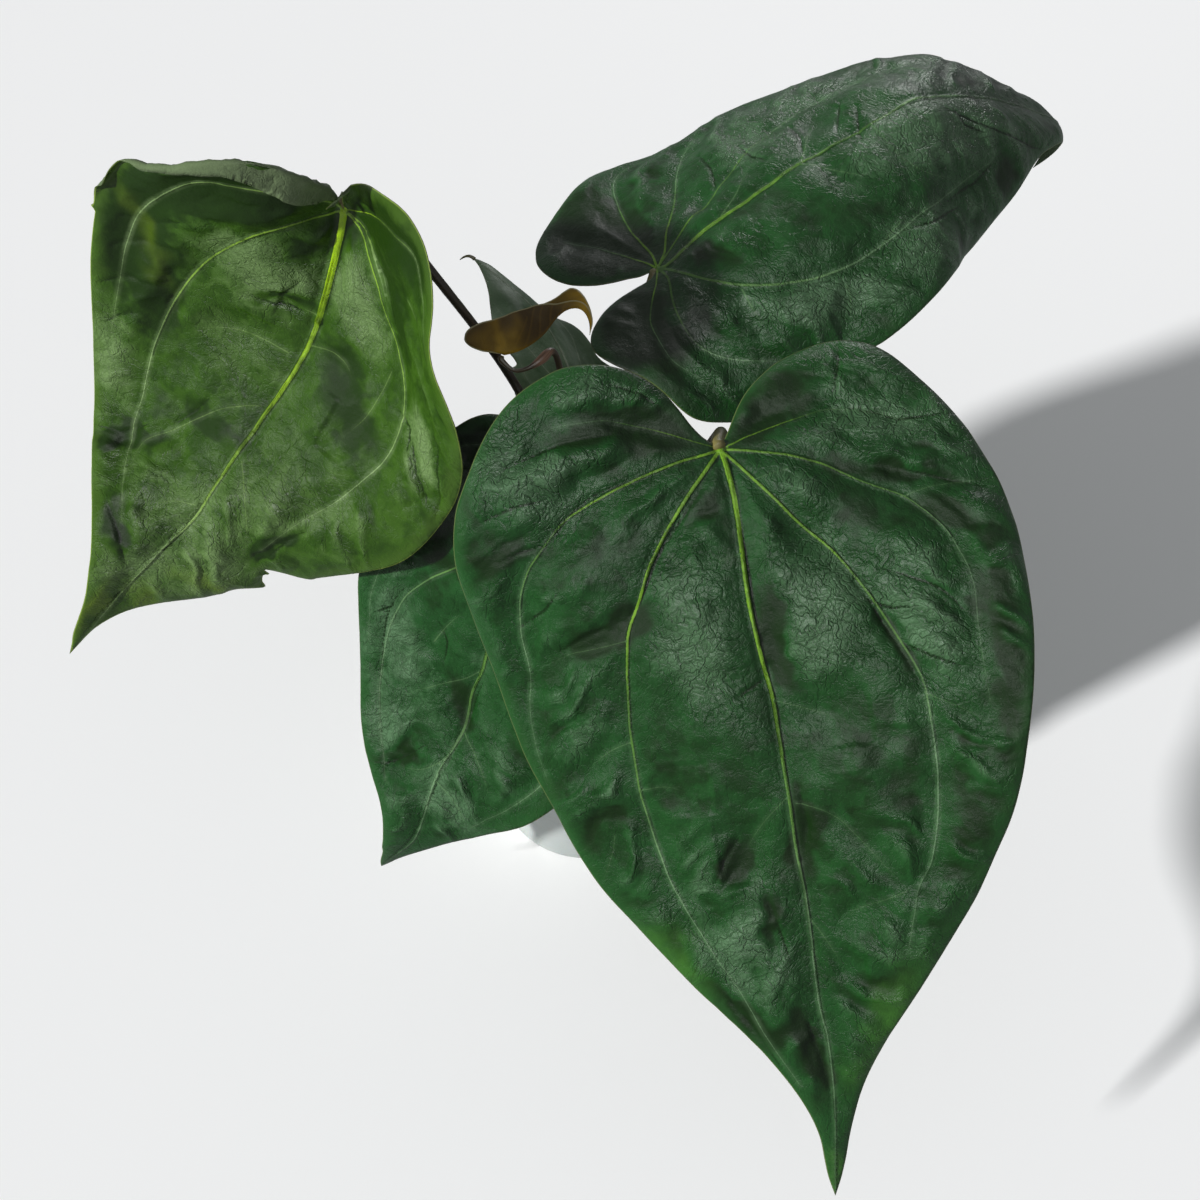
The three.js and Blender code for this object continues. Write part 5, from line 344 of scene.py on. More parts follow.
        "left": [[0, 0], [-2.53, -3.64], [-4.99, -7.33], [-7.4, -11.06], [-10.01, -14.63], [-12.96, -17.93], [-16.22, -20.9], [-19.37, -24.73], [-24, -25.72], [-28.64, -25.43], [-32.89, -23.85], [-36.5, -21.5], [-39.91, -18.88], [-43.06, -15.91], [-45.92, -12.62], [-48.57, -9.12], [-51.41, -5.69], [-53.52, -1.79], [-55.31, 2.27], [-57.18, 6.26], [-58.43, 10.49], [-59.62, 14.76], [-60.63, 19.08], [-61.19, 23.47], [-61.44, 27.89], [-61.53, 32.31], [-61.31, 36.73], [-60.93, 41.15], [-60.41, 45.55], [-59.75, 49.94], [-59.1, 54.33], [-58.43, 58.71], [-57.56, 63.07], [-56.48, 67.37], [-55.37, 71.67], [-54.29, 75.96], [-53.18, 80.26], [-52, 84.53], [-50.75, 88.78], [-49.26, 92.95], [-47.66, 97.08], [-45.95, 101.17], [-44.07, 105.17], [-42.07, 109.12], [-39.95, 113.02], [-37.7, 116.84], [-35.32, 120.59], [-32.83, 124.26], [-30.23, 127.85], [-27.43, 131.29], [-24.51, 134.63], [-21.56, 137.97], [-18.79, 141.43], [-16.36, 145.16], [-14.1, 149], [-12.05, 152.93], [-10.02, 156.86], [-8.04, 160.8], [-6.31, 164.84], [-4.29, 168.8], [-3.03, 173.06], [-2.15, 177.4], [-1.16, 181.72], [0, 186]],
        "ribs": [
            ("mid", 0.85, 0.16, 0.2, 0.5, [[0, 0.3], [0, 4.3], [0, 8.4], [0.1, 12.4], [0.2, 16.4], [0.2, 20.4], [0.3, 24.5], [0.3, 28.5], [0.2, 32.5], [0.1, 36.5], [0.1, 40.6], [0.1, 44.6], [0, 48.6], [-0, 52.6], [0, 56.7], [0.2, 60.7], [0.3, 64.7], [0.5, 68.7], [0.2, 72.7], [-0.3, 76.7], [-0.7, 80.7], [-0.7, 84.7], [-0.3, 88.7], [0.2, 92.7], [0.8, 96.7], [0.7, 100.7], [0.4, 104.7], [0, 108.7], [-0.2, 112.7], [-0.4, 116.7], [-0.6, 120.8], [-0.6, 124.8], [-0.3, 128.8], [0, 132.8], [0.4, 136.8], [0.7, 140.8], [1.1, 144.8], [1.5, 148.8], [1.7, 152.9], [1.4, 156.9], [1.2, 160.9], [1.1, 164.9], [0.9, 168.9], [0.7, 172.9], [0.4, 177], [0.2, 181], [0, 185]]),
            ("l1", 0.42, 0.1, 0.5, 0.3, [[0, 0.3], [-1.9, 3.8], [-3.9, 7.3], [-5.8, 10.9], [-7.6, 14.5], [-9.3, 18.1], [-11, 21.8], [-12.7, 25.4], [-14.4, 29], [-16.8, 32.2], [-19.7, 35], [-22.5, 37.9], [-25.2, 40.8], [-27.9, 43.8], [-30.3, 47.1], [-32.5, 50.4], [-34.6, 53.8], [-36.4, 57.4], [-37.6, 61.3], [-38.4, 65.2], [-39.1, 69.1], [-39.7, 73.1], [-39.9, 77.1], [-39.9, 81.1], [-39.8, 85.2], [-39.6, 89.2], [-38.8, 93.1], [-37.8, 97], [-36.6, 100.8], [-35.1, 104.5], [-33.2, 108.1], [-31.3, 111.6], [-29.3, 115.2], [-27.3, 118.6], [-25.1, 122], [-22.9, 125.4], [-21, 128.9], [-19.1, 132.5]]),
            ("r1", 0.42, 0.1, 0.5, 0.3, [[-0, 0.3], [1.9, 3.8], [3.9, 7.3], [5.8, 10.9], [7.6, 14.5], [9.3, 18.1], [11, 21.8], [12.7, 25.4], [14.4, 29], [16.8, 32.2], [19.7, 35], [22.5, 37.9], [25.2, 40.8], [27.9, 43.8], [30.3, 47.1], [32.5, 50.4], [34.6, 53.8], [36.4, 57.4], [37.6, 61.3], [38.4, 65.2], [39.1, 69.1], [39.7, 73.1], [39.9, 77.1], [39.9, 81.1], [39.8, 85.2], [39.6, 89.2], [38.8, 93.1], [37.8, 97], [36.6, 100.8], [35.1, 104.5], [33.2, 108.1], [31.3, 111.6], [29.3, 115.2], [27.3, 118.6], [25.1, 122], [22.9, 125.4], [21, 128.9], [19.1, 132.5]]),
            ("o1", 0.3, 0.08, 0.4, 0.2, [[0, 0.3], [-4, 0.5], [-8.1, 0.7], [-12.1, 1], [-15.9, 2], [-19.6, 3.8], [-23.2, 5.6], [-26.8, 7.4], [-30.2, 9.5], [-33, 12.4], [-35.6, 15.5], [-38.3, 18.6], [-40.9, 21.6], [-43.2, 24.9], [-44.6, 28.7], [-46, 32.5], [-47.3, 36.3], [-48.6, 40.1], [-49.8, 44], [-50.2, 48], [-50.4, 52.1], [-50.5, 56.1], [-50.7, 60.1], [-50.9, 64.2], [-50.5, 68.2], [-49.6, 72.1], [-48.8, 76.1], [-47.9, 80], [-47, 84]]),
            ("o2", 0.24, 0.07, 0.3, 0.15, [[0, 0.3], [-2.6, -1.3], [-5.1, -2.9], [-7.7, -4.5], [-10.3, -6], [-13.1, -7.3], [-15.8, -8.5], [-18.6, -9.7], [-21.4, -10.9], [-24.3, -11.7], [-27.2, -11.8], [-30.3, -11.6], [-33.3, -11.3], [-36.3, -11], [-38.9, -10], [-41.2, -8.1], [-43.5, -6.1], [-45.7, -4], [-48, -2]]),
            ("o1", 0.3, 0.08, 0.4, 0.2, [[0, 0.3], [4, 0.5], [8.1, 0.7], [12.1, 1], [15.9, 2], [19.6, 3.8], [23.2, 5.6], [26.8, 7.4], [30.2, 9.5], [33, 12.4], [35.6, 15.5], [38.3, 18.6], [40.9, 21.6], [43.2, 24.9], [44.6, 28.7], [46, 32.5], [47.3, 36.3], [48.6, 40.1], [49.8, 44], [50.2, 48], [50.4, 52.1], [50.5, 56.1], [50.7, 60.1], [50.9, 64.2], [50.5, 68.2], [49.6, 72.1], [48.8, 76.1], [47.9, 80], [47, 84]]),
            ("o2", 0.24, 0.07, 0.3, 0.15, [[0, 0.3], [2.6, -1.3], [5.1, -2.9], [7.7, -4.5], [10.3, -6], [13.1, -7.3], [15.8, -8.5], [18.6, -9.7], [21.4, -10.9], [24.3, -11.7], [27.2, -11.8], [30.3, -11.6], [33.3, -11.3], [36.3, -11], [38.9, -10], [41.2, -8.1], [43.5, -6.1], [45.7, -4], [48, -2]]),
            ("s", 0.24, 0.07, 0.7, 0.12, [[0.1, 71.2], [-2.3, 74.5], [-5, 77.7], [-8.1, 80.4], [-11.3, 83], [-14.4, 85.7], [-17.4, 88.5], [-20.4, 91.3], [-23.2, 94.3], [-25.6, 97.7], [-27.8, 101.1]]),
            ("s", 0.24, 0.07, 0.7, 0.12, [[1.8, 98.7], [4.9, 100.9], [8.1, 103.1], [11.2, 105.5], [14.2, 107.9], [16.9, 110.7], [19.2, 113.8], [21.4, 117]]),
            ("s", 0.24, 0.07, 0.7, 0.12, [[0.2, 108.2], [-0.7, 110.9], [-1.8, 113.5], [-3.3, 116], [-5.1, 118.2], [-7.2, 120.2], [-9.5, 121.7], [-12.1, 122.9], [-14.8, 123.9], [-17.5, 125]]),
            ("s", 0.24, 0.07, 0.7, 0.12, [[-0.6, 121.4], [2.5, 122.2], [5.5, 123.3], [8.4, 124.6], [10.9, 126.4], [13.1, 128.7], [15.1, 131.2], [16.9, 133.8], [18.5, 136.5]]),
            ("s", 0.24, 0.07, 0.7, 0.12, [[-20.6, 69.1], [-19.7, 66.3], [-18.7, 63.5], [-17.7, 60.7], [-16.5, 58], [-15.2, 55.4], [-13.7, 52.8], [-12.2, 50.3]]),
        ],
        "dents": [
            ("painted_sheen_shade", 0.35, [-16.6, 94.6], [33, 47.5, -25.6, 20.9]),
            ("round", -1.4, [-3.3, 88.6], [7.4, 11.6, -4.5, 3.8]),
            ("round", -1.1, [-17.6, 120.6], [13.2, -9.4, 1.6, 2.6]),
            ("round", -0.8, [-18.9, 131.9], [3.5, -1.9, 1, 2.6]),
            ("round", 0.8, [4.3, 118.4], [11.3, 7.7, -2.6, 4.4]),
            ("round", 0.8, [-36.7, 78.6], [9, 17.7, -6, 4.9]),
            ("round", -0.7, [-23.3, 98.5], [8.7, 13, -4.8, 3.9]),
            ("round", 0.7, [-27.1, 54.2], [11.6, 15, -5.3, 5.7]),
            ("round", -0.8, [9, 130.2], [7.8, 10.5, -3.3, 4.2]),
            ("round", 0.7, [7.8, 107.1], [9.5, 5.9, -2.6, 4.3]),
            ("painted_sheen_shade", 0.6, [-37.8, 74.5], [9.7, 22, -10, 7.6]),
            ("painted_sheen_shade", -0.3, [-20.3, 63.3], [11.5, 15.4, -7.1, 7.7]),
            ("painted_sheen_shade", 0.5, [7.5, 126], [13.3, 11.3, -5, 8.6]),
            ("painted_sheen_shade", -1.1, [-36.1, -13.8], [7.7, 19.1, -10.5, 8.4]),
            ("painted_sheen_shade", -1, [-43.3, 35.3], [25.7, 5.1, -4.8, 9.3]),
            ("painted_sheen_shade", -1, [-3.3, 88.6], [7.4, 11.6, -4.1, 3.5]),
            ("painted_sheen_shade", -1, [-17.6, 120.6], [13.2, -9.4, 1.6, 2.6]),
            ("painted_sheen_shade", 0.6, [-31.2, 112.1], [9.4, 12.5, -5.4, 4.2]),
        ],
        "cracks": [
            [[-37.6, 53.6], [-41.4, 65.4], [-41.2, 81.2], [-36.2, 101.3], [-28.4, 115.9], [-19.9, 130.7]],
            [[-32.6, 129.8], [-22.2, 126.2], [-15.8, 119.5], [-9.6, 110.5]],
            [[2, 75.6], [1.1, 89.6], [1, 104.1], [1.2, 115.7]],
            [[-48, 72.1], [-44.3, 68.1], [-40, 63.7]],
            [[-21.2, 60], [-15.3, 66], [-14.6, 74.9]],
        ],
    },
    "back": {
        "length": 226, "rect": [-103.96, 103.96, -54.24, 239.56], "rows": 11,
        "net": [
            [18.14, -49.85, 191.63], [38.07, -27.33, 173.35], [59.5, -4.4, 157.39], [84.31, 17.49, 150.93], [108.73, 31.65, 154.27], [133.18, 37.09, 164.51],
            [153.33, 47.61, 169.94], [163.97, 63.39, 161.89], [172.92, 77.5, 150.42], [182.36, 86.95, 139.55], [189.65, 91.97, 128.37], [193.08, 93.75, 116.05],
            [193.71, 93.93, 102.79], [7.46, -37.48, 211.08], [26.41, -16.14, 192.71], [46.01, 5.75, 173.79], [72.54, 29.28, 168.02], [97.07, 45.04, 172.53],
            [123.93, 46.86, 185.82], [147.89, 59.69, 193.22], [155.76, 80.25, 178.32], [166.22, 96.04, 164.98], [179.33, 105.2, 154.95], [188.55, 109.42, 143.93],
            [191.09, 110.11, 130.9], [189.62, 109.24, 116.66], [-2.8, -23.19, 228.36], [16.01, -3.33, 212.88], [31.24, 15.8, 189.97], [59.68, 35.55, 187.25],
            [85.7, 53.86, 195.98], [112.78, 58.62, 206.11], [142.3, 73.99, 215.12], [144.83, 99.3, 190.98], [160.08, 115.21, 179.15], [178.84, 123.44, 171.62],
            [190.14, 127.08, 160.23], [189.78, 126.36, 145.5], [184.21, 124.13, 129.55], [-14.52, -5.04, 236.03], [8.86, 14.89, 227.77], [26.93, 36.13, 209.69],
            [49.18, 48.96, 204.52], [76.25, 62.78, 216.6], [99.74, 78.65, 219.42], [128.05, 92.96, 226.12], [140.7, 114.86, 209.5], [163.1, 130.64, 201.23],
            [183.22, 140.33, 191.82], [195.96, 145.49, 177.03], [188.39, 142.9, 158.66], [176.24, 139.05, 140.3], [-35.21, 16.57, 225.66], [-15.77, 36.1, 215.12],
            [3.17, 58.96, 211.15], [34.83, 67.95, 226.94], [63.1, 80.31, 233.41], [89.03, 97.23, 234.95], [115.08, 112.43, 239.07], [139.68, 129.72, 232.9],
            [161.62, 145.7, 221.3], [183, 157.8, 207.31], [204.1, 167.66, 190.45], [183.89, 161.02, 167.67], [164.82, 155.53, 147.56], [-50.25, 40.85, 217.34],
            [-26.22, 59.16, 210.87], [3.7, 77.9, 211.41], [33.02, 90.08, 219.58], [50.77, 104.81, 230.35], [76.07, 120.22, 237.82], [101.04, 136.07, 243.99],
            [128.93, 153.11, 248.74], [155.57, 167.6, 235.56], [178.74, 182.06, 220.24], [206.62, 196.58, 197.5], [174.49, 183.1, 170.75], [152.99, 176.27, 151.28],
            [-61.11, 65.15, 212], [-33.9, 81.04, 208.11], [-4.28, 93.83, 205.46], [18, 110.63, 210.43], [40.63, 127.07, 220.26], [64.92, 142.15, 228.58],
            [89.31, 157.98, 233.96], [114.55, 174.18, 237.16], [140.69, 189.12, 230.99], [162.99, 203.63, 218.46], [184.3, 216.83, 199.41], [165.8, 208.87, 174.66],
            [147.9, 202.56, 154.89], [-72.35, 88.78, 206.41], [-46.11, 104.43, 204.87], [-19.52, 117.84, 200.84], [4.96, 133.31, 205.32], [30.11, 147.92, 211.25],
            [53.72, 163.32, 217.75], [78.38, 178.35, 222.56], [102.66, 193.61, 224.87], [126.78, 210.27, 227.6], [147.78, 223.49, 216.37], [161.25, 233.31, 199.07],
            [154.9, 232.33, 178.18], [143.86, 229.32, 158.73], [-82.86, 109.91, 196.73], [-56.54, 124.23, 194.15], [-30.56, 138, 191.88], [-7.98, 155.87, 203.1],
            [19.19, 168.84, 199.37], [43.88, 183.67, 204.4], [66.83, 199.57, 212.42], [91.73, 213.68, 212.08], [113.36, 229.7, 215.38], [131.61, 242.49, 208.91],
            [142.53, 251.28, 195.51], [142.49, 254.09, 178.41], [137.59, 254.41, 160.78], [-94, 131.26, 188.52], [-68.31, 145.9, 187.86], [-43.25, 160.93, 189.25],
            [-19.28, 177.42, 195.61], [8.71, 189.7, 189.58], [34.37, 203.67, 191.7], [56.74, 219.77, 200.07], [79.87, 234.36, 202.31], [100.14, 249.1, 204.14],
            [116.47, 261.44, 200], [126.69, 270.28, 189.92], [129.82, 275.15, 175.97], [129, 277.84, 160.51], [-105.44, 152.87, 181.28], [-80.03, 167.76, 181.72],
            [-54.88, 182.89, 183.33], [-29.6, 198.03, 185.46], [-2.43, 211.04, 182.04], [23.21, 224.84, 183.03], [46.13, 240.05, 188.71], [67.93, 254.73, 192.32],
            [87.04, 268.77, 194.03], [102.25, 280.79, 191.33], [112.37, 289.9, 183.68], [117.25, 296, 172.17], [118.87, 300.2, 158.6],
        ],
        "right": [[0, 0], [1.42, -5.78], [4.91, -9.99], [7.86, -14.69], [11.4, -19.12], [15.59, -22.96], [20.26, -26.28], [25.52, -28.52], [30.96, -29.74], [36.4, -30.03], [41.68, -29.19], [46.5, -27.1], [51.14, -24.44], [55.38, -21.05], [59.27, -17.2], [62.77, -12.99], [65.98, -8.55], [68.9, -3.91], [71.7, 0.81], [74.59, 5.52], [77.33, 10.44], [79.81, 15.51], [81.04, 20.99], [80.97, 26.7], [80.05, 32.32], [78.55, 37.76], [76.83, 43], [76.02, 48.3], [76.38, 53.76], [77.38, 59.45], [78.4, 65.21], [78.77, 70.88], [77.99, 76.38], [75.95, 81.61], [73.32, 86.66], [70.84, 91.69], [68.84, 96.82], [67.22, 102.07], [65.85, 107.36], [64.37, 112.64], [62.66, 117.87], [60.51, 122.94], [57.95, 127.81], [55.24, 132.58], [52.34, 137.25], [49.5, 141.97], [47.03, 146.96], [44.59, 152.02], [41.1, 156.36], [36.61, 159.83], [31.95, 163.08], [27.52, 166.58], [23.57, 170.47], [20.1, 174.75], [16.77, 179.27], [13.76, 184.04], [12.78, 189.92], [10.12, 194.73], [7.78, 199.7], [5.73, 204.79], [4.02, 210.02], [2.86, 215.39], [1.54, 220.72], [0, 226]],
        "left": [[0, 0], [-4.82, -3.28], [-5.91, -9.28], [-7.01, -15.33], [-9.68, -20.61], [-13.77, -24.88], [-18.68, -28.58], [-24.35, -31.25], [-30.39, -32.07], [-36.37, -30.74], [-41.42, -28.13], [-45.57, -25.3], [-50, -22.89], [-54.81, -20.46], [-59.97, -17.82], [-64.45, -14.31], [-67.64, -9.66], [-70.06, -4.6], [-72.52, 0.36], [-75.05, 5.32], [-76.15, 10.82], [-77.72, 16.09], [-79.06, 21.41], [-80.01, 26.83], [-80.55, 32.29], [-80.74, 37.78], [-80.45, 43.27], [-79.92, 48.74], [-74.56, 53.48], [-73.61, 58.8], [-72.59, 64.19], [-71.39, 69.5], [-69.99, 74.73], [-68.53, 79.92], [-67.14, 85.09], [-65.77, 90.27], [-64.55, 95.57], [-63.54, 100.95], [-62.69, 106.27], [-61.55, 111.52], [-60.32, 116.88], [-59.02, 122.22], [-57.25, 127.43], [-55.01, 132.44], [-52.39, 137.28], [-49.51, 141.98], [-46.42, 146.53], [-43.22, 151.01], [-39.91, 155.41], [-36.36, 159.62], [-32.6, 163.63], [-28.81, 167.63], [-25.09, 171.69], [-21.69, 176.02], [-18.7, 180.67], [-16.07, 185.5], [-13.42, 190.29], [-10.84, 195.1], [-7.78, 199.7], [-5.73, 204.79], [-4.02, 210.02], [-2.86, 215.39], [-1.54, 220.72], [0, 226]],
        "ribs": [
            ("mid", 0.72, 0.15, 0.25, 0.4, [[0, 0.3], [-3.1, 2.5], [-3.2, 5.7], [-1.9, 9.5], [-0.9, 13.3], [-0.1, 17.2], [0.3, 21.2], [0.1, 25.2], [-0.1, 29.2], [-0.3, 33.2], [-0.4, 37.2], [-0.5, 41.2], [-0.4, 45.2], [-0.3, 49.2], [-0.2, 53.2], [-0, 57.2], [0.2, 61.2], [0.4, 65.2], [0.5, 69.2], [0.5, 73.2], [0.5, 77.2], [0.4, 81.2], [0, 85.2], [-0.3, 89.2], [-0.5, 93.2], [-0.6, 97.2], [-0.4, 101.1], [0.1, 105.1], [0.7, 109.1], [1.3, 113], [1.3, 117], [1.1, 121], [1.2, 125], [1.4, 129], [1.1, 133], [0.9, 137], [0.6, 141], [0.3, 145], [0.1, 149], [0, 153], [0, 157], [0, 161], [0, 165], [0, 169], [0, 173], [0, 177], [0, 181], [0, 185], [0, 189], [0, 193], [0, 197], [0, 201], [0, 205], [0, 209], [0, 213], [0, 217], [0, 221], [0, 225]]),
            ("up", 0.38, 0.08, 0.15, 0.22, [[0, 0.3], [2.4, 3.4], [5, 6.3], [8.1, 8.6], [11.2, 11], [14.2, 13.6], [17, 16.3], [19.8, 19], [22.8, 21.6], [25.8, 24], [29, 26.3], [32.3, 28.4], [35.6, 30.6], [38.8, 32.7], [42.1, 34.9], [45.3, 37.2], [48.3, 39.6], [51.4, 42], [54.5, 44.5], [57.3, 47.1], [59.7, 50.2], [62.1, 53.3], [64.5, 56.4]]),
            ("lup", 0.32, 0.08, 0.12, 0.2, [[0, 0.3], [3.9, 1.4], [7.9, 2.5], [11.9, 3.2], [15.9, 3.7], [20, 4.3], [24, 5], [28, 5.7], [32, 6.7], [35.9, 7.8], [39.9, 8.9], [43.8, 10.1], [47.7, 11.3], [51.5, 12.7], [55.4, 14], [59.2, 15.5], [62.8, 17.3], [66.1, 19.7], [69, 22.6], [70.9, 26], [71.5, 30], [71.3, 34.1], [70.6, 38.1]]),
            ("l", 0.28, 0.07, 0.1, 0.15, [[0, 0.3], [4, -0.5], [7.9, -1.4], [11.8, -2.4], [15.7, -3.3], [19.6, -4.3], [23.5, -5.3], [27.4, -6.5], [31.2, -7.8], [35, -9.3], [38.7, -10.9], [42.3, -12.7], [45.9, -14.5]]),
            ("rin", 0.4, 0.1, 0.55, 0.25, [[0, 0.3], [-3.6, 1.9], [-7.2, 3.5], [-10.9, 5.1], [-14.4, 6.8], [-17.8, 8.8], [-21.1, 11], [-24.2, 13.5], [-27, 16.2], [-29.7, 19], [-32.1, 22.2], [-34.2, 25.6], [-36.1, 29], [-37.8, 32.6], [-39.2, 36.3], [-40.5, 40], [-41.8, 43.7], [-42.8, 47.5], [-43.4, 51.4], [-43.9, 55.3], [-44.2, 59.3], [-44.3, 63.2], [-44, 67.2], [-43.6, 71.1], [-43.2, 75], [-42.6, 78.9], [-41.8, 82.8], [-40.9, 86.6], [-39.9, 90.5], [-39.2, 94.3], [-38.7, 98.3], [-38.2, 102.2], [-37.5, 106.1], [-36.5, 109.9], [-35.6, 113.7], [-34.6, 117.6], [-33.5, 121.3], [-32.2, 125.1], [-30.9, 128.8], [-29.6, 132.5], [-28.3, 136.3], [-27, 140]]),
            ("far", 0.3, 0.08, 0.3, 0.2, [[0, 0.3], [1.8, 3.9], [3.7, 7.5], [5.5, 11.1], [7.3, 14.8], [8.9, 18.5], [10.4, 22.2], [12, 25.9], [13.5, 29.7], [15.1, 33.4], [16.7, 37.2], [18.3, 40.8], [20, 44.5], [21.7, 48.2], [23.4, 51.9], [25, 55.6], [26.7, 59.2], [28.3, 63], [29.5, 66.8], [30.7, 70.7], [31.9, 74.6], [33.1, 78.4], [34.2, 82.3], [35.4, 86.2], [36.1, 90.1], [36.3, 94.2], [36.4, 98.2], [36.6, 102.3], [36.8, 106.3], [36.9, 110.4], [36.4, 114.3], [35.6, 118.3], [34.6, 122.2], [33.7, 126.2], [32.8, 130.1], [31.9, 134.1], [31, 138]]),
            ("low", 0.34, 0.08, 0.35, 0.2, [[0, 0.3], [-4, 0.8], [-8, 1.3], [-12, 1.6], [-15.9, 1.2], [-19.9, 0.5], [-23.9, -0.2], [-27.9, -0.7], [-31.9, -1], [-35.9, -1.2], [-39.9, -0.9], [-43.6, 0.4], [-46.9, 2.5], [-49.7, 5.4], [-52.2, 8.6], [-54.3, 12], [-56.4, 15.4], [-58.5, 18.8], [-60.7, 22.2], [-62.8, 25.7], [-64.9, 29.1]]),
            ("lobe", 0.26, 0.07, 0.1, 0.15, [[0, 0.3], [-2.9, -0.5], [-5.8, -1.3], [-8.7, -2.1], [-11.6, -3], [-14.4, -4.1], [-17.2, -5.3], [-20, -6.5], [-22.8, -7.7], [-25.5, -8.9], [-28.4, -9.9], [-31.3, -10.4], [-34.3, -10.8], [-37.3, -11.2], [-40.3, -11.5], [-43.2, -11.6], [-45.9, -10.7], [-48.5, -9], [-51, -7.4], [-53.5, -5.7], [-56, -4]]),
            ("s", 0.24, 0.07, 0.7, 0.12, [[1.3, 65], [-2.1, 67.2], [-5.4, 69.5], [-8.7, 71.9], [-11.9, 74.4], [-14.8, 77.2], [-17.5, 80.2], [-19.9, 83.5], [-22.1, 86.9]]),
            ("s", 0.24, 0.07, 0.7, 0.12, [[-33.5, 21.4], [-36.6, 21.4], [-39.7, 21.6], [-42.8, 21.8], [-45.9, 22.1], [-48.9, 22.4]]),
            ("s", 0.24, 0.07, 0.7, 0.12, [[-43.9, 72.3], [-42.5, 74.9], [-41.2, 77.5], [-40.2, 80.2], [-39.4, 82.9], [-38.4, 85.6], [-37.1, 88.1], [-35.4, 90.5]]),
            ("s", 0.24, 0.07, 0.7, 0.12, [[-49.8, 55.1], [-52.7, 54.9], [-55.4, 54.1], [-58, 52.9], [-60.4, 51.4]]),
            ("s", 0.24, 0.07, 0.7, 0.12, [[-0.8, 95.2], [-4.7, 94.9], [-8.7, 94.8], [-12.6, 95.2], [-16.4, 96], [-20, 97.5], [-23.2, 99.7], [-26, 102.4], [-28, 105.7], [-29.3, 109.4], [-30.4, 113.2], [-31.3, 117], [-32.2, 120.8]]),
            ("s", 0.24, 0.07, 0.7, 0.12, [[1.1, 31.6], [2.2, 34.3], [3.4, 37.1], [4.8, 39.8], [6.3, 42.3], [8.1, 44.7], [10, 47], [12.1, 49.2], [14.3, 51.3], [16.5, 53.3], [18.8, 55.2]]),
            ("s", 0.24, 0.07, 0.7, 0.12, [[0.4, 65.7], [2.4, 67.9], [4.4, 70], [6.5, 71.9], [8.7, 73.8], [10.9, 75.7], [13.2, 77.5], [15.4, 79.4], [17.6, 81.3], [19.7, 83.3], [21.8, 85.3], [23.8, 87.4], [25.9, 89.4]]),
        ],
        "dents": [
            ("round", 0.9, [31.4, 60.7], [-15.1, 13.2, -9.7, -4.8]),
            ("round", 0.8, [-3.8, 106.1], [-6.6, 17.6, -5.1, -3]),
            ("round", -0.8, [-18.3, 126], [-4, 20.1, -4.1, -3]),
            ("round", 0.9, [-46.2, 94.2], [-0.6, 24.9, -5, -0.6]),
            ("round", 0.8, [-31.3, 54.2], [-6.8, 21, -5.5, -1.9]),
            ("round", -0.8, [18.9, 32.3], [-8.6, 12.5, -8.3, -3.3]),
            ("round", -0.7, [-20.4, 81.9], [-8.5, 16.3, -4.1, -2.6]),
            ("round", 0.8, [-46.3, 37.7], [-9.9, 15.6, -3.4, -2.2]),
            ("painted_sheen_shade", -1.5, [38.4, -5.4], [-35.5, 3.2, -12, -16.7]),
            ("painted_sheen_shade", -1.8, [-27.1, -17], [-23.4, 0.7, -3.5, -12.6]),
            ("painted_sheen_shade", 0.7, [47.5, 94.5], [-19.9, 36.9, -17.3, -9.1]),
            ("painted_sheen_shade", 0.9, [32.9, 60.2], [-14.6, 12.6, -16.1, -7.9]),
            ("painted_sheen_shade", 1.1, [-13.2, 114.6], [-4.6, 40.6, -12.9, -6.3]),
            ("painted_sheen_shade", 0.7, [-45.5, 94.6], [2.2, 27.1, -12.2, 1.9]),
            ("painted_sheen_shade", 1, [-49.7, 44.2], [-11.9, 23.4, -7.9, -4]),
            ("painted_sheen_shade", -0.3, [-6, 44.3], [-13.2, 17.4, -7.3, -3.9]),
            ("painted_sheen_shade", -0.3, [-28.5, 68.4], [-10.2, 19.2, -4.5, -2.6]),
            ("painted_sheen_shade", 0.3, [-53.3, -5.8], [-13.1, -4.2, 1.8, -9.8]),
        ],
        "cracks": [
            [[22.3, 98.8], [12.8, 90.8], [5.2, 85.1]],
            [[12.4, 98.9], [3.2, 92.8], [-4.7, 88.7]],
            [[-6.8, 125.2], [-15.1, 141.5], [-19.8, 165.7], [-17.9, 182.9]],
            [[-23.3, 147.6], [-34.1, 129.3], [-38.8, 110]],
            [[-7.2, 128.4], [-13.3, 129.6], [-16.7, 137.9]],
            [[-12.4, 184.8], [-27.2, 169.6], [-41.2, 151]],
            [[33.8, 59.8], [21.2, 57.6], [10.2, 58.9]],
            [[27.1, 78.7], [14.5, 75], [4.4, 69.6]],
            [[-42.1, 81.8], [-44.2, 95.5], [-41.3, 118.4]],
            [[46, 48.3], [31.3, 45.3], [19, 39.8]],
        ],
    },
    "small": {
        "length": 76, "rect": [-34.96, 34.96, -18.24, 80.56], "rows": 11,
        "net": [
            [46.82, 63.9, 182.52], [40.22, 71.56, 182.74], [33.5, 79.07, 183.08], [26.51, 86.12, 183.42], [18.74, 91.96, 182.82], [13.24, 98.21, 179.5],
            [9.13, 106.12, 176.8], [2.83, 113.57, 174.11], [-4.27, 120.54, 172.29], [-10.97, 127.82, 172.33], [-17.1, 135.44, 173.82], [-22.89, 143.23, 175.92],
            [-28.57, 151.05, 178.13], [41.25, 58, 179.72], [34.85, 65.77, 179.61], [28.47, 73.53, 179.45], [22.32, 81.32, 179.47], [13.55, 86.97, 179.53],
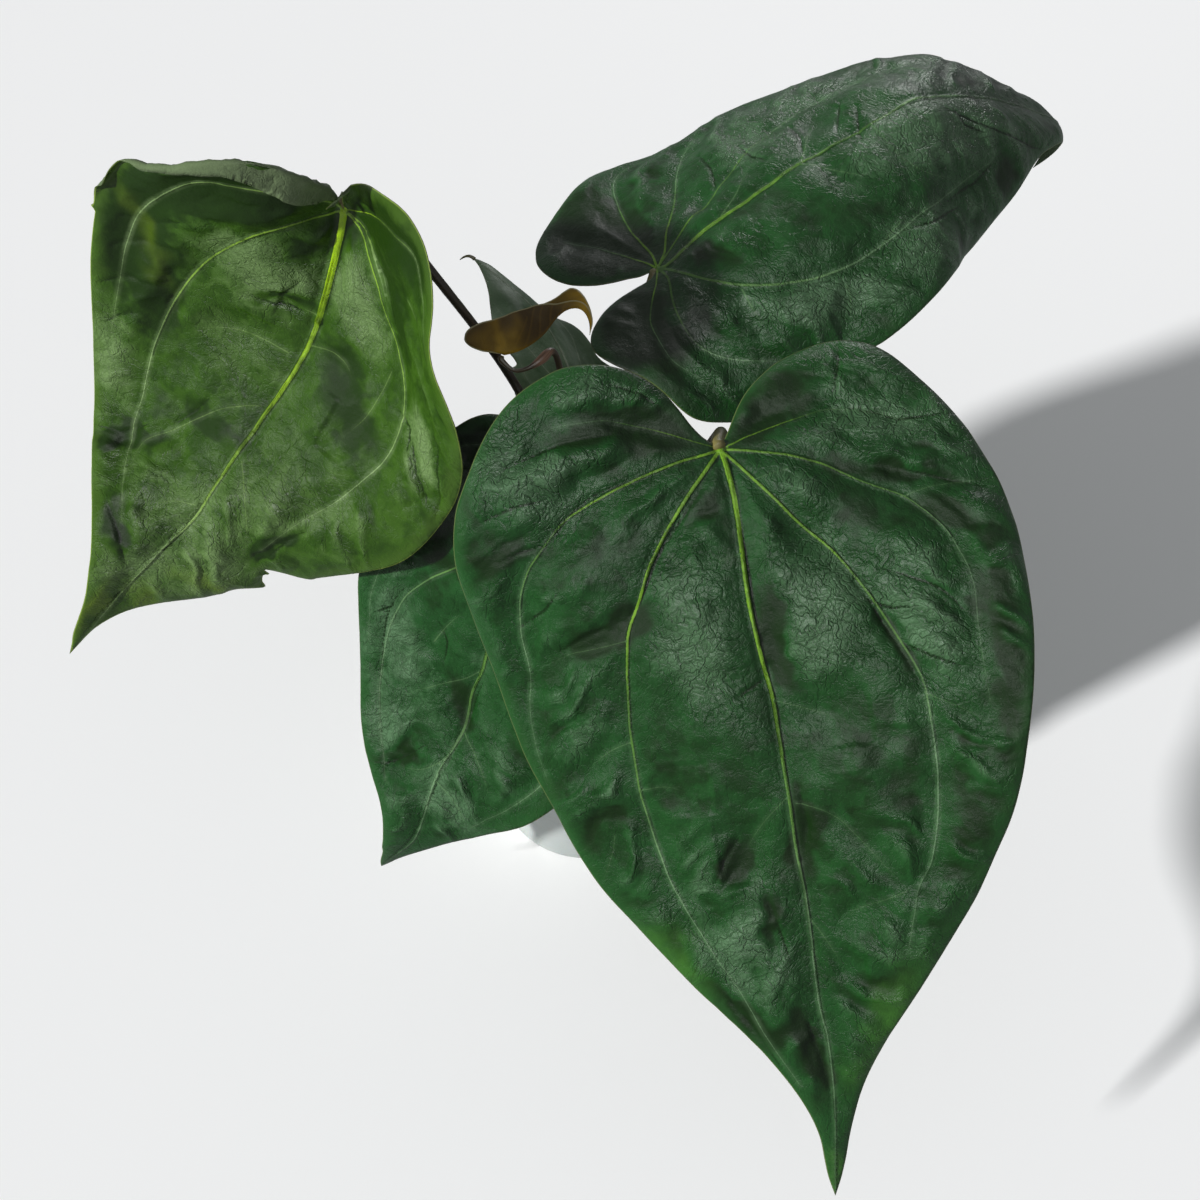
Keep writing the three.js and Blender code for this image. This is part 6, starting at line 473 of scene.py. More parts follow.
            [8.5, 93.14, 176.12], [5.82, 102.22, 176.27], [-1.48, 109.55, 175], [-9.18, 116.05, 173.99], [-15.75, 123.4, 175.25], [-21.59, 131.19, 177.85],
            [-27.19, 139.05, 180.46], [-32.78, 146.88, 182.74], [35.41, 52.04, 177.43], [29.19, 59.83, 177.1], [22.9, 67.53, 176.24], [18.11, 75.89, 174.51],
            [9.53, 82.18, 172.56], [4.44, 88.97, 170.88], [2.37, 98.75, 177.18], [-6.46, 105.4, 176.84], [-14.42, 111.26, 176.3], [-20.48, 119.01, 178.89],
            [-25.91, 127.04, 182.66], [-31.35, 134.92, 185.46], [-36.96, 142.68, 187.41], [29.09, 46.12, 176.02], [23.19, 54.05, 176.08], [16.9, 61.73, 176.17],
            [10.78, 69.17, 174.43], [3.48, 76.57, 172.38], [-1.59, 84.78, 176.17], [-4.68, 93.19, 181.47], [-11.62, 100.19, 181.4], [-18.45, 107.05, 181.95],
            [-24.5, 115.12, 184.35], [-29.82, 123.11, 188.88], [-35.39, 130.78, 190.86], [-41.23, 138.34, 191.69], [21.83, 40.18, 175.16], [16.23, 48.38, 174.75],
            [10.21, 56.52, 174.31], [3.66, 63.96, 175.88], [-1.48, 71.87, 179.06], [-4.7, 80.13, 183.58], [-9.2, 88.18, 186.45], [-14.76, 96.35, 188.8],
            [-21.23, 103.93, 189.66], [-28.05, 111.42, 190.86], [-33.64, 119.04, 196], [-39.75, 126.27, 195.46], [-46.01, 133.57, 194.48], [13.64, 34.21, 176.24],
            [8.4, 42.25, 177.01], [2.78, 50.4, 176.93], [-2.36, 58.67, 179.23], [-4.26, 66.85, 186.01], [-8, 75.37, 190.06], [-13.11, 83.62, 193.07],
            [-18.53, 91.97, 195.73], [-25.31, 99.34, 196.44], [-32.23, 106.53, 197.04], [-39.07, 113.65, 199.22], [-45.5, 120.81, 196.31], [-51.86, 128.09, 194.46],
            [4.81, 29.01, 177.39], [0.1, 37.02, 180.05], [-4.45, 45.46, 182.1], [-8.74, 54.5, 183.19], [-11.28, 62.25, 189.07], [-15.21, 70.38, 192.78],
            [-18.93, 78.42, 197.72], [-24.65, 86.47, 198.73], [-31.5, 93.62, 198.45], [-38.75, 100.03, 199.56], [-46.39, 107.05, 195.59], [-52.43, 114.6, 193.79],
            [-58.48, 122.08, 192.52], [-4.3, 25.08, 176.22], [-8.61, 33.41, 178.57], [-12.57, 41.97, 181.01], [-15.91, 50.22, 185.57], [-17.92, 57.47, 192.3],
            [-21.58, 65.65, 195.65], [-26.61, 73.62, 199.74], [-31.38, 81.31, 199.47], [-37.23, 87.19, 190.71], [-44.1, 94.6, 196.05], [-51.69, 101.51, 194.3],
            [-58.35, 108.8, 192.51], [-64.7, 116.16, 191.02], [-13.26, 21.84, 175.23], [-17.12, 30.23, 178.36], [-20.69, 38.64, 182.09], [-24.15, 46.89, 186.72],
            [-25.3, 53.22, 194.99], [-25.41, 60.24, 202.67], [-34.04, 68.43, 200.93], [-38.6, 77.22, 203.32], [-43.7, 82.54, 194.91], [-50.09, 89.35, 194.74],
            [-57.17, 96.24, 193.49], [-63.99, 103.33, 191.84], [-70.59, 110.51, 190.17], [-22.06, 18.9, 174.69], [-25.65, 27.31, 178.46], [-29.02, 35.66, 182.77],
            [-31.92, 43.61, 188.17], [-32.63, 49.92, 196.83], [-32.51, 56.3, 205.06], [-39.14, 63.77, 204.42], [-44.63, 71.71, 204.08], [-50.07, 77.94, 198.86],
            [-56.22, 84.45, 196.11], [-62.92, 91.17, 193.94], [-69.67, 98.08, 191.9], [-76.35, 105.09, 189.95], [-30.65, 15.97, 174.6], [-33.96, 24.29, 178.95],
            [-36.89, 32.4, 184], [-39.02, 39.92, 190.36], [-39.74, 46.32, 198.54], [-40.59, 52.57, 205.48], [-45.24, 59.45, 206.63], [-50.59, 66.62, 205.46],
            [-56.21, 73.12, 201.52], [-62.28, 79.57, 197.94], [-68.77, 86.16, 194.96], [-75.42, 92.92, 192.41], [-82.09, 99.81, 190.12],
        ],
        "right": [[0, 0], [1.09, -1.48], [2.14, -2.99], [3.18, -4.5], [4.3, -5.96], [5.56, -7.3], [6.93, -8.5], [8.55, -9.38], [10.28, -9.94], [12.08, -10.21], [13.91, -10.01], [15.57, -9.28], [17.11, -8.29], [18.47, -7.06], [19.7, -5.69], [20.85, -4.26], [21.91, -2.76], [22.84, -1.17], [23.73, 0.44], [24.58, 2.07], [25.14, 3.81], [25.64, 5.58], [26.07, 7.37], [26.38, 9.18], [26.55, 11.01], [26.6, 12.84], [26.49, 14.68], [26.31, 16.51], [23.35, 17.92], [23.49, 19.76], [24.02, 21.71], [24.65, 23.68], [24.96, 25.6], [24.79, 27.45], [24.32, 29.24], [23.72, 30.99], [23.07, 32.72], [22.46, 34.45], [21.89, 36.2], [21.32, 37.95], [20.63, 39.65], [19.9, 41.34], [19.08, 42.98], [18.18, 44.59], [17.23, 46.16], [16.24, 47.7], [15.17, 49.2], [14.09, 50.69], [12.98, 52.15], [11.81, 53.56], [10.62, 54.96], [9.47, 56.4], [8.37, 57.87], [7.31, 59.38], [6.28, 60.89], [5.36, 62.47], [4.46, 64.06], [3.61, 65.67], [2.85, 67.32], [2.15, 68.99], [1.49, 70.7], [1.01, 72.46], [0.51, 74.23], [0, 76]],
        "left": [[0, 0], [-1.09, -1.48], [-2.14, -2.99], [-3.18, -4.5], [-4.3, -5.96], [-5.56, -7.3], [-6.93, -8.5], [-8.55, -9.38], [-10.28, -9.94], [-12.08, -10.21], [-13.91, -10.01], [-15.57, -9.28], [-17.11, -8.29], [-18.47, -7.06], [-19.7, -5.69], [-20.85, -4.26], [-21.91, -2.76], [-22.84, -1.17], [-23.73, 0.44], [-24.58, 2.07], [-25.14, 3.81], [-25.64, 5.58], [-26.07, 7.37], [-26.38, 9.18], [-26.55, 11.01], [-26.6, 12.84], [-26.49, 14.68], [-26.31, 16.51], [-26.07, 18.33], [-25.76, 20.14], [-25.45, 21.95], [-25.68, 23.87], [-25.24, 25.66], [-24.67, 27.43], [-24.07, 29.18], [-23.57, 30.95], [-23.16, 32.74], [-22.8, 34.56], [-22.4, 36.37], [-21.7, 38.09], [-20.52, 39.6], [-18.91, 40.88], [-17.02, 41.89], [-15.87, 43.24], [-15.7, 45.2], [-16.03, 47.57], [-16.13, 49.87], [-15.3, 51.57], [-13.79, 52.78], [-12.05, 53.76], [-10.38, 54.76], [-8.99, 56.01], [-7.82, 57.43], [-6.74, 58.93], [-5.69, 60.47], [-4.78, 62.11], [-3.98, 63.79], [-3.32, 65.52], [-2.73, 67.27], [-2.09, 68.97], [-1.43, 70.68], [-0.93, 72.45], [-0.47, 74.22], [0, 76]],
        "ribs": [
            ("mid", 0.62, 0.15, 0.8, 0.25, [[0, 0.3], [0, 3.3], [0, 6.3], [0, 9.3], [0, 12.3], [0, 15.2], [0, 18.2], [0, 21.2], [0, 24.2], [0, 27.2], [0, 30.2], [0, 33.2], [0, 36.2], [0, 39.1], [0, 42.1], [0, 45.1], [0, 48.1], [0, 51.1], [0, 54.1], [0, 57.1], [0, 60.1], [0, 63], [0, 66], [0, 69], [0, 72], [0, 75]]),
            ("l1", 0.26, 0.07, 0.6, 0.1, [[0, 0.3], [-2.2, 2.4], [-4.3, 4.5], [-6.3, 6.7], [-7.9, 9.2], [-9.5, 11.8], [-11, 14.4], [-12.2, 17.1], [-13.1, 19.9], [-14, 22.8], [-14.8, 25.7], [-15.3, 28.6], [-15.3, 31.6], [-15.2, 34.6], [-15.1, 37.6], [-14.7, 40.6], [-13.8, 43.4], [-12.9, 46.3], [-12, 49.1], [-11, 52]]),
            ("o1", 0.2, 0.06, 0.5, 0.08, [[0, 0.3], [-3, 0.2], [-6, 0.2], [-8.8, 1], [-11.5, 2.2], [-14, 3.7], [-16.2, 5.7], [-18, 8], [-19.8, 10.5], [-20.9, 13.1], [-21.4, 16], [-21.7, 19], [-22, 22]]),
            ("l1", 0.26, 0.07, 0.6, 0.1, [[0, 0.3], [2.2, 2.4], [4.3, 4.5], [6.3, 6.7], [7.9, 9.2], [9.5, 11.8], [11, 14.4], [12.2, 17.1], [13.1, 19.9], [14, 22.8], [14.8, 25.7], [15.3, 28.6], [15.3, 31.6], [15.2, 34.6], [15.1, 37.6], [14.7, 40.6], [13.8, 43.4], [12.9, 46.3], [12, 49.1], [11, 52]]),
            ("o1", 0.2, 0.06, 0.5, 0.08, [[0, 0.3], [3, 0.2], [6, 0.2], [8.8, 1], [11.5, 2.2], [14, 3.7], [16.2, 5.7], [18, 8], [19.8, 10.5], [20.9, 13.1], [21.4, 16], [21.7, 19], [22, 22]]),
        ],
        "dents": [
            ("painted_sheen_shade", 1, [10.8, 60.7], [4.5, -12.2, 3.6, 1.1]),
            ("painted_sheen_shade", 0.5, [8.5, 24.4], [-6, -8.9, 5.9, -3.4]),
            ("painted_sheen_shade", -0.6, [6.8, 41.6], [-0.4, -13, 4.2, -1.7]),
        ],
        "cracks": [
        ],
    },
    "new": {
        "length": 44.2794, "rect": [-16, 16, -16, 50.5], "rows": 17,
        "net": [
            [-48.77, 48.88, 238.39], [-42.76, 50, 236.74], [-37.11, 51.44, 235.18], [-31.7, 52.87, 233.6], [-29.5, 54.1, 232.67], [-28.33, 55.03, 232.17],
            [-27.04, 56.14, 232.31], [-26.3, 57.42, 232.62], [-23.03, 60.35, 235], [-11.94, 64.95, 242.23], [6.75, 60.41, 243.9], [18.52, 48.72, 234.76],
            [18.9, 41.12, 227.93], [19.1, 39.22, 226.19], [14.79, 45.4, 230.27], [-49.16, 47.9, 236.45], [-43.06, 48.87, 234.75], [-37.63, 50.38, 233.3],
            [-31.17, 51.78, 231.58], [-29.27, 53, 230.87], [-27.7, 53.83, 230.51], [-25.31, 55.13, 231.17], [-24.59, 55.97, 231.23], [-22.73, 58.21, 232.17],
            [-13.19, 65.7, 241.51], [7.44, 61.26, 244.67], [18.87, 47.78, 232.64], [15.37, 41.24, 226.6], [17.51, 38.61, 224.88], [11.27, 47.91, 231.24],
            [-49.39, 46.89, 234.51], [-43.29, 47.69, 232.78], [-37.82, 49.13, 231.41], [-31.43, 50.44, 229.73], [-29.04, 51.61, 229.02], [-26.83, 52.41, 228.89],
            [-24.09, 53.78, 229.73], [-22.8, 54.95, 230.21], [-20.71, 57.34, 231.52], [-11.94, 63.95, 239.67], [6.2, 60.23, 242.42], [16.39, 48.07, 231.83],
            [13.25, 42.13, 226.54], [15.43, 38.74, 224.21], [8.18, 48.99, 231.19], [-49.26, 45.79, 232.5], [-43.61, 46.57, 230.83], [-37.98, 47.9, 229.49],
            [-31.67, 49.15, 227.87], [-28.79, 50.27, 227.16], [-25.98, 51.03, 227.26], [-22.84, 52.5, 228.32], [-21.02, 53.87, 229.13], [-18.86, 56.44, 230.72],
            [-10.88, 62.4, 237.94], [5.16, 59.32, 240.29], [14, 48.42, 231.05], [11.32, 42.73, 226.17], [12.92, 39.35, 223.87], [7.28, 47.04, 229],
            [-49.06, 44.65, 230.49], [-43.91, 45.41, 228.89], [-38.14, 46.64, 227.6], [-31.91, 47.82, 226.03], [-28.54, 48.88, 225.32], [-25.12, 49.62, 225.65],
            [-21.59, 51.17, 226.9], [-19.24, 52.8, 228.09], [-16.93, 55.52, 229.96], [-9.77, 60.78, 236.18], [4.05, 58.33, 238.14], [11.56, 48.75, 230.29],
            [9.32, 43.38, 225.9], [10.45, 39.92, 223.52], [6.35, 45.18, 226.88], [-48.9, 43.57, 228.48], [-44.23, 44.31, 226.92], [-38.3, 45.45, 225.68],
            [-32.17, 46.56, 224.17], [-28.3, 47.56, 223.46], [-24.28, 48.27, 224.02], [-20.36, 49.9, 225.48], [-17.48, 51.76, 227.02], [-15.07, 54.64, 229.18],
            [-8.7, 59.23, 234.43], [2.99, 57.44, 235.98], [9.19, 49.1, 229.48], [7.38, 44.02, 225.57], [8.02, 40.5, 223.12], [5.29, 43.52, 224.89],
            [-48.73, 42.42, 226.49], [-44.52, 43.1, 225.03], [-38.45, 44.14, 223.82], [-32.39, 45.19, 222.36], [-28.05, 46.14, 221.65], [-23.42, 46.83, 222.43],
            [-19.1, 48.55, 224.09], [-15.69, 50.66, 225.99], [-13.15, 53.69, 228.43], [-7.59, 57.58, 232.71], [1.88, 56.41, 233.89], [6.74, 49.4, 228.76],
            [5.37, 44.64, 225.32], [5.54, 41.02, 222.8], [4.26, 41.8, 222.89], [-48.59, 41.31, 224.42], [-44.86, 42.16, 223.05], [-38.64, 43.08, 221.9],
            [-32.66, 44.06, 220.5], [-27.82, 44.95, 219.81], [-22.61, 45.6, 220.82], [-17.93, 47.39, 222.68], [-14.02, 49.72, 224.92], [-11.37, 52.89, 227.65],
            [-6.56, 56.17, 230.97], [0.9, 55.65, 231.72], [4.49, 49.8, 227.89], [3.53, 45.3, 224.92], [3.24, 41.68, 222.38], [3.28, 39.97, 220.76],
            [-48.48, 40.31, 222.96], [-45.04, 40.71, 221.37], [-38.73, 41.6, 220.26], [-32.8, 42.52, 218.88], [-27.57, 43.38, 218.16], [-21.78, 44.02, 219.38],
            [-16.68, 45.92, 221.42], [-12.23, 48.5, 224.02], [-9.47, 51.87, 226.99], [-5.46, 54.37, 229.4], [-0.28, 54.42, 229.89], [2.02, 49.94, 227.4],
            [1.5, 45.84, 224.88], [0.76, 41.96, 222.14], [2.11, 38.83, 219.46], [-48.48, 42.02, 223.43], [-45.19, 42.75, 222.24], [-38.82, 43.62, 221.15],
            [-32.94, 44.53, 219.85], [-27.82, 45.38, 219.21], [-22.52, 45.99, 220.28], [-17.87, 47.72, 222.23], [-13.94, 50.04, 224.48], [-11.3, 53.12, 227.35],
            [-6.53, 56.55, 230.43], [1.06, 56.32, 230.82], [4.52, 50.22, 227.13], [3.51, 45.72, 224.31], [3.28, 42.03, 221.86], [3.08, 40.83, 219.98],
            [-48.57, 44.36, 223.82], [-45.49, 44.92, 222.52], [-39.02, 45.78, 221.56], [-33.21, 46.64, 220.36], [-28.05, 47.45, 219.84], [-23.16, 48.01, 220.8],
            [-18.93, 49.54, 222.72], [-15.47, 51.63, 224.65], [-12.93, 54.37, 227.51], [-7.49, 58.76, 231.05], [2.36, 58.44, 231.19], [6.82, 50.68, 226.44],
            [5.3, 45.91, 223.49], [5.65, 42.15, 221.21], [3.76, 44.09, 220.76], [-48.61, 46.64, 224.26], [-45.72, 47.08, 223.1], [-39.18, 47.96, 222.22],
            [-33.43, 48.77, 221.11], [-28.29, 49.57, 220.7], [-23.87, 50.09, 221.52], [-20.09, 51.43, 223.39], [-17.14, 53.25, 224.96], [-14.74, 55.68, 227.77],
            [-8.54, 61.04, 231.9], [3.74, 60.55, 231.84], [9.31, 51.06, 225.93], [7.26, 45.97, 222.76], [8.19, 42.21, 220.7], [4.5, 47.17, 221.51],
            [-48.67, 48.92, 224.64], [-46, 49.29, 223.53], [-39.36, 50.15, 222.76], [-33.68, 50.93, 221.75], [-28.53, 51.7, 221.45], [-24.56, 52.17, 222.14],
            [-21.21, 53.3, 223.98], [-18.76, 54.89, 225.21], [-16.46, 56.98, 227.98], [-9.55, 63.31, 232.63], [5.09, 62.68, 232.35], [11.74, 51.49, 225.32],
            [9.16, 46.11, 221.97], [10.69, 42.33, 220.12], [5.26, 50.21, 222.21], [-48.66, 51.21, 225.06], [-46.26, 51.49, 224.05], [-39.53, 52.35, 223.37],
            [-33.91, 53.08, 222.46], [-28.78, 53.83, 222.26], [-25.26, 54.25, 222.83], [-22.36, 55.2, 224.61], [-20.42, 56.51, 225.49], [-18.27, 58.28, 228.22],
            [-10.59, 65.61, 233.44], [6.47, 64.82, 232.95], [14.22, 51.89, 224.76], [11.11, 46.18, 221.2], [13.22, 42.39, 219.57], [5.87, 53.49, 223.02],
            [-48.79, 53.48, 225.45], [-46.52, 53.7, 224.52], [-39.7, 54.56, 223.93], [-34.17, 55.24, 223.12], [-29.02, 55.96, 223.04], [-25.96, 56.34, 223.46],
            [-23.5, 57.08, 225.22], [-22.06, 58.17, 225.75], [-19.98, 59.6, 228.45], [-11.6, 67.86, 234.18], [7.8, 66.94, 233.47], [16.66, 52.3, 224.16],
            [13.01, 46.36, 220.45], [15.8, 42.43, 218.97], [6.44, 56.9, 223.87], [-49.7, 55.63, 225.81], [-46.67, 55.92, 225.04], [-39.92, 56.75, 224.54],
            [-34.36, 57.4, 223.84], [-29.26, 58.11, 223.84], [-26.64, 58.44, 224.16], [-24.64, 58.99, 225.86], [-23.71, 59.75, 226.01], [-21.89, 60.8, 228.63],
            [-12.78, 70.3, 235.09], [9.34, 69.16, 234.12], [19.17, 52.78, 223.6], [15.09, 46.1, 219.53], [17.88, 43.11, 218.66], [9.75, 56.21, 223.22],
            [-50.5, 57.79, 226.14], [-46.42, 58.22, 225.43], [-40.32, 58.93, 224.88], [-34.66, 59.57, 224.38], [-29.95, 60.14, 224.37], [-27.42, 60.41, 224.76],
            [-26.09, 60.78, 225.93], [-25.28, 61.66, 226.79], [-22.07, 64.18, 229.76], [-11.06, 70.64, 234.33], [8.35, 68.36, 232.71], [19.11, 55.12, 224.23],
            [18.9, 46.84, 219.26], [19.12, 45.04, 218.42], [13.53, 53.89, 221.58],
        ],
        "right": [[0, 0], [1.2, -3], [1.8, -6.5], [3.6, -10], [6.5, -11.6], [9.5, -10], [11.6, -6.5], [12.6, -1], [12.9, 5], [12.4, 11], [11.2, 17], [9.2, 21.5], [7.4, 24.2], [6.4, 26], [6.4, 27.6], [7.4, 29.2], [8.3, 30.2], [7.8, 31.3], [6, 32.6], [3.9, 34.4], [2.6, 36.6], [1.6, 39.5], [0.9, 42], [0, 44.28]],
        "left": [[0, 0], [-1.2, -3], [-1.6, -6.5], [-3.4, -10.6], [-5.5, -12], [-8.2, -11.6], [-10.3, -9.4], [-11.8, -6.4], [-12.6, -2], [-13, 3], [-13, 9.7], [-12.4, 14], [-11.5, 17.5], [-9.4, 21.5], [-7.5, 23.5], [-5.7, 24.9], [-3.9, 26.4], [-3.1, 28.6], [-3, 31], [-2.8, 34], [-2.3, 37], [-1.7, 40], [-0.9, 42.4], [0, 44.28]],
        "ribs": [
            ("mid", 0.5, 0.2, 0.2, 0.25, [[0, 0.3], [0, 3.4], [0, 6.4], [0, 9.5], [0, 12.6], [0, 15.6], [0, 18.7], [0, 21.8], [0, 24.9], [0, 27.9], [0, 31], [0, 34.1], [0, 37.1], [0, 40.2], [0, 43.3]]),
            ("s", 0.14, 0.06, 0.5, 0.06, [[0, 3], [-2.1, 5.4], [-4.1, 7.9], [-5.8, 10.6], [-7.2, 13.5], [-8.4, 16.5]]),
            ("s", 0.14, 0.06, 0.5, 0.06, [[0, 8], [-2.1, 10.4], [-4.1, 12.9], [-5.8, 15.6], [-7.2, 18.5], [-8.4, 21.5]]),
            ("s", 0.14, 0.06, 0.5, 0.06, [[0, 14], [-2.1, 16.4], [-4.1, 18.9], [-5.8, 21.6], [-7.2, 24.5], [-8.4, 27.5]]),
            ("s", 0.14, 0.06, 0.5, 0.06, [[0, 20], [-2.1, 22.4], [-4.1, 24.9], [-5.8, 27.6], [-7.2, 30.5], [-8.4, 33.5]]),
            ("s", 0.14, 0.06, 0.5, 0.06, [[0, 26], [-2.1, 28.4], [-4.1, 30.9], [-5.8, 33.6], [-7.2, 36.5], [-8.4, 39.5]]),
            ("s", 0.14, 0.06, 0.5, 0.06, [[0, 3], [2.1, 5.4], [4.1, 7.9], [5.8, 10.6], [7.2, 13.5], [8.4, 16.5]]),
            ("s", 0.14, 0.06, 0.5, 0.06, [[0, 8], [2.1, 10.4], [4.1, 12.9], [5.8, 15.6], [7.2, 18.5], [8.4, 21.5]]),
            ("s", 0.14, 0.06, 0.5, 0.06, [[0, 14], [2.1, 16.4], [4.1, 18.9], [5.8, 21.6], [7.2, 24.5], [8.4, 27.5]]),
            ("s", 0.14, 0.06, 0.5, 0.06, [[0, 20], [2.1, 22.4], [4.1, 24.9], [5.8, 27.6], [7.2, 30.5], [8.4, 33.5]]),
            ("s", 0.14, 0.06, 0.5, 0.06, [[0, 26], [2.1, 28.4], [4.1, 30.9], [5.8, 33.6], [7.2, 36.5], [8.4, 39.5]]),
        ],
        "dents": [
            ("tint", 1, [0, 1], [12, 0, -0, 9]),
            ("tint", 1.2, [0, 40], [14, 0, -0, 12]),
            ("painted_sheen_shade", -0.8, [0, 16], [10, 0, -0, 8]),
        ],
        "cracks": [
        ],
    },
}
STALKS = {
    "front": {"path": [[10.27, 0.82, 96], [13.5, 2.5, 112], [20, 8, 145], [30, 12, 175], [39, 12.5, 198], [44, 11, 212], [45.2, 6.8, 219.5], [43.35, -3.22, 224.9]], "radii": [2.4, 2, 1.9, 1.8, 1.8, 1.9, 2.2]},
    "left": {"path": [[-7.42, 10.42, 100], [-9.5, 13.5, 120], [-13, 27, 155], [-17.5, 41, 185], [-29.3, 52.5, 206.6], [-52, 64.2, 238.5], [-62, 71.5, 248.5], [-70.5, 77.5, 255], [-78.99, 76.46, 257.51]], "radii": [2.4, 2, 1.8, 1.7, 1.6, 1.6, 1.7, 2]},
    "low": {"path": [[-9.33, -1.35, 93], [-12.5, 1, 108], [-14, 7, 135], [-16, 13, 160], [-17.5, 18, 175], [-18.2, 17.6, 182], [-18.42, 11.47, 184.24]], "radii": [2.2, 1.8, 1.6, 1.6, 1.7, 1.9]},
    "back": {"path": [[4.93, 12.27, 97], [6.8, 16, 116], [9, 27, 145], [12.5, 45, 172], [18, 66, 195], [22.5, 80, 207], [25.41, 86.98, 214.9]], "radii": [2.4, 2, 1.8, 1.7, 1.7, 2.1]},
    "small": {"path": [[-1.36, 12.7, 90], [-1.6, 16.5, 104], [-1.2, 26, 128], [-0.6, 40, 152], [-1.2, 50, 167], [-2.05, 56.7, 177.17]], "radii": [1.7, 1.4, 1.2, 1.2, 1.3]},
    "new": {"path": [[0, 4, 112.45], [-0.6, 6.5, 122], [-3, 22, 150], [-5.5, 37, 183], [-7.4, 45.5, 202], [-9.1, 48.8, 211.5], [-11.2, 48.4, 215.6], [-14.2, 44.6, 215.4], [-18.6, 41.2, 214.6], [-23.6, 39.4, 215.2], [-28.13, 42.15, 217.66]], "radii": [1.6, 1.4, 1.2, 1.1, 1.1, 1.2, 1.2, 1.1, 1.2]},
}

# margins that curl over: a line just inside the margin (the outside is on its left), how wide the
# curled part is along it, and how tight
ROLLS = {
    "left": [([(-8.0, -6.0), (-10.5, -11.5), (-16.0, -17.2), (-26.2, -22.8), (-34.6, -24.6), (-43.4, -23.0), (-53.4, -15.3), (-66.0, 2.0), (-73.0, 13.5), (-76.3, 28.5), (-79.0, 44.0)], [2.0, 12.0, 15.5, 13.5, 10.5, 7.5, 5.0, 3.5, 3.5, 4.0, 0.0], 1.7)],
}
# ---------------------------------------------------------------- repeatable noise
_rng = np.random.default_rng(11)
_PERM = np.concatenate([_rng.permutation(256)] * 2)
_GRAD = _rng.normal(size=(256, 3))
_GRAD /= np.linalg.norm(_GRAD, axis=1)[:, None]


def noise(p, seed=0):
    """Smooth gradient noise, about -1 to 1, at points p (n, 2 or 3)."""
    p = np.asarray(p, float)
    if p.shape[1] == 2:
        p = np.column_stack([p, np.full(len(p), 0.37)])
    p = p + np.array([17.3, 5.9, 31.7]) * (seed + 1)
    i = np.floor(p).astype(int)
    f = p - i
    u = f * f * f * (f * (f * 6 - 15) + 10)
    out = np.zeros(len(p))
    for dx in (0, 1):
        wx = u[:, 0] if dx else 1 - u[:, 0]
        for dy in (0, 1):
            wy = u[:, 1] if dy else 1 - u[:, 1]
            for dz in (0, 1):
                wz = u[:, 2] if dz else 1 - u[:, 2]
                h = _PERM[(_PERM[(_PERM[(i[:, 0] + dx) & 255] + i[:, 1] + dy) & 255] + i[:, 2] + dz) & 255]
                g = _GRAD[h]
                d = g[:, 0] * (f[:, 0] - dx) + g[:, 1] * (f[:, 1] - dy) + g[:, 2] * (f[:, 2] - dz)
                out += wx * wy * wz * d
    return out * 1.55


def fbm(p, octaves=3, seed=0, gain=0.5):
    total, k, s = 0, 1.0, 1.0
    for o in range(octaves):
        total = total + k * noise(np.asarray(p) * s, seed + o * 7)
        k *= gain
        s *= 2.03
    return total


def smoothstep(lo, hi, x):
    t = np.clip((x - lo) / (hi - lo), 0, 1)
    return t * t * (3 - 2 * t)


# ---------------------------------------------------------------- lines in the plane
def resample(line, step, smooth=True):
    """Even points along a line, through a smooth curve."""
    p = np.asarray(line, float)
    if smooth and len(p) > 3:
        q = [p[0]]
        for k in range(len(p) - 1):
            p0 = p[max(k - 1, 0)]
            p1, p2 = p[k], p[k + 1]
            p3 = p[min(k + 2, len(p) - 1)]
            for t in np.linspace(0, 1, 7)[1:]:
                q.append(0.5 * ((2 * p1) + (p2 - p0) * t + (2 * p0 - 5 * p1 + 4 * p2 - p3) * t * t
                                + (3 * p1 - p0 - 3 * p2 + p3) * t ** 3))
        p = np.array(q)
    d = np.r_[0, np.cumsum(np.linalg.norm(np.diff(p, axis=0), axis=1))]
    n = max(2, int(round(d[-1] / step)) + 1)
    s = np.linspace(0, d[-1], n)
    return np.stack([np.interp(s, d, p[:, k]) for k in range(p.shape[1])], -1)


def near(points, line, closed=False):
    """Distance to a line, how far along it (0 to 1) and the side it is on, for many points."""
    a = np.asarray(line, float)
    b = np.roll(a, -1, axis=0) if closed else a[1:]
    a = a if closed else a[:-1]
    ab = b - a
    ll = np.maximum((ab ** 2).sum(1), 1e-12)
    lens = np.sqrt(ll)
    run = np.r_[0, np.cumsum(lens)]
    dist = np.empty(len(points))
    along = np.empty(len(points))
    side = np.empty(len(points))
    for c in range(0, len(points), 8192):
        q = points[c:c + 8192]
        px = q[:, 0:1] - a[None, :, 0]
        py = q[:, 1:2] - a[None, :, 1]
        t = np.clip((px * ab[:, 0] + py * ab[:, 1]) / ll, 0, 1)
        dx = px - t * ab[:, 0]
        dy = py - t * ab[:, 1]
        d2 = dx * dx + dy * dy
        k = np.argmin(d2, axis=1)
        r = np.arange(len(q))
        dist[c:c + 8192] = np.sqrt(d2[r, k])
        along[c:c + 8192] = (run[k] + t[r, k] * lens[k]) / run[-1]
        side[c:c + 8192] = np.sign(ab[k, 0] * py[r, k] - ab[k, 1] * px[r, k])
    return dist, along, side


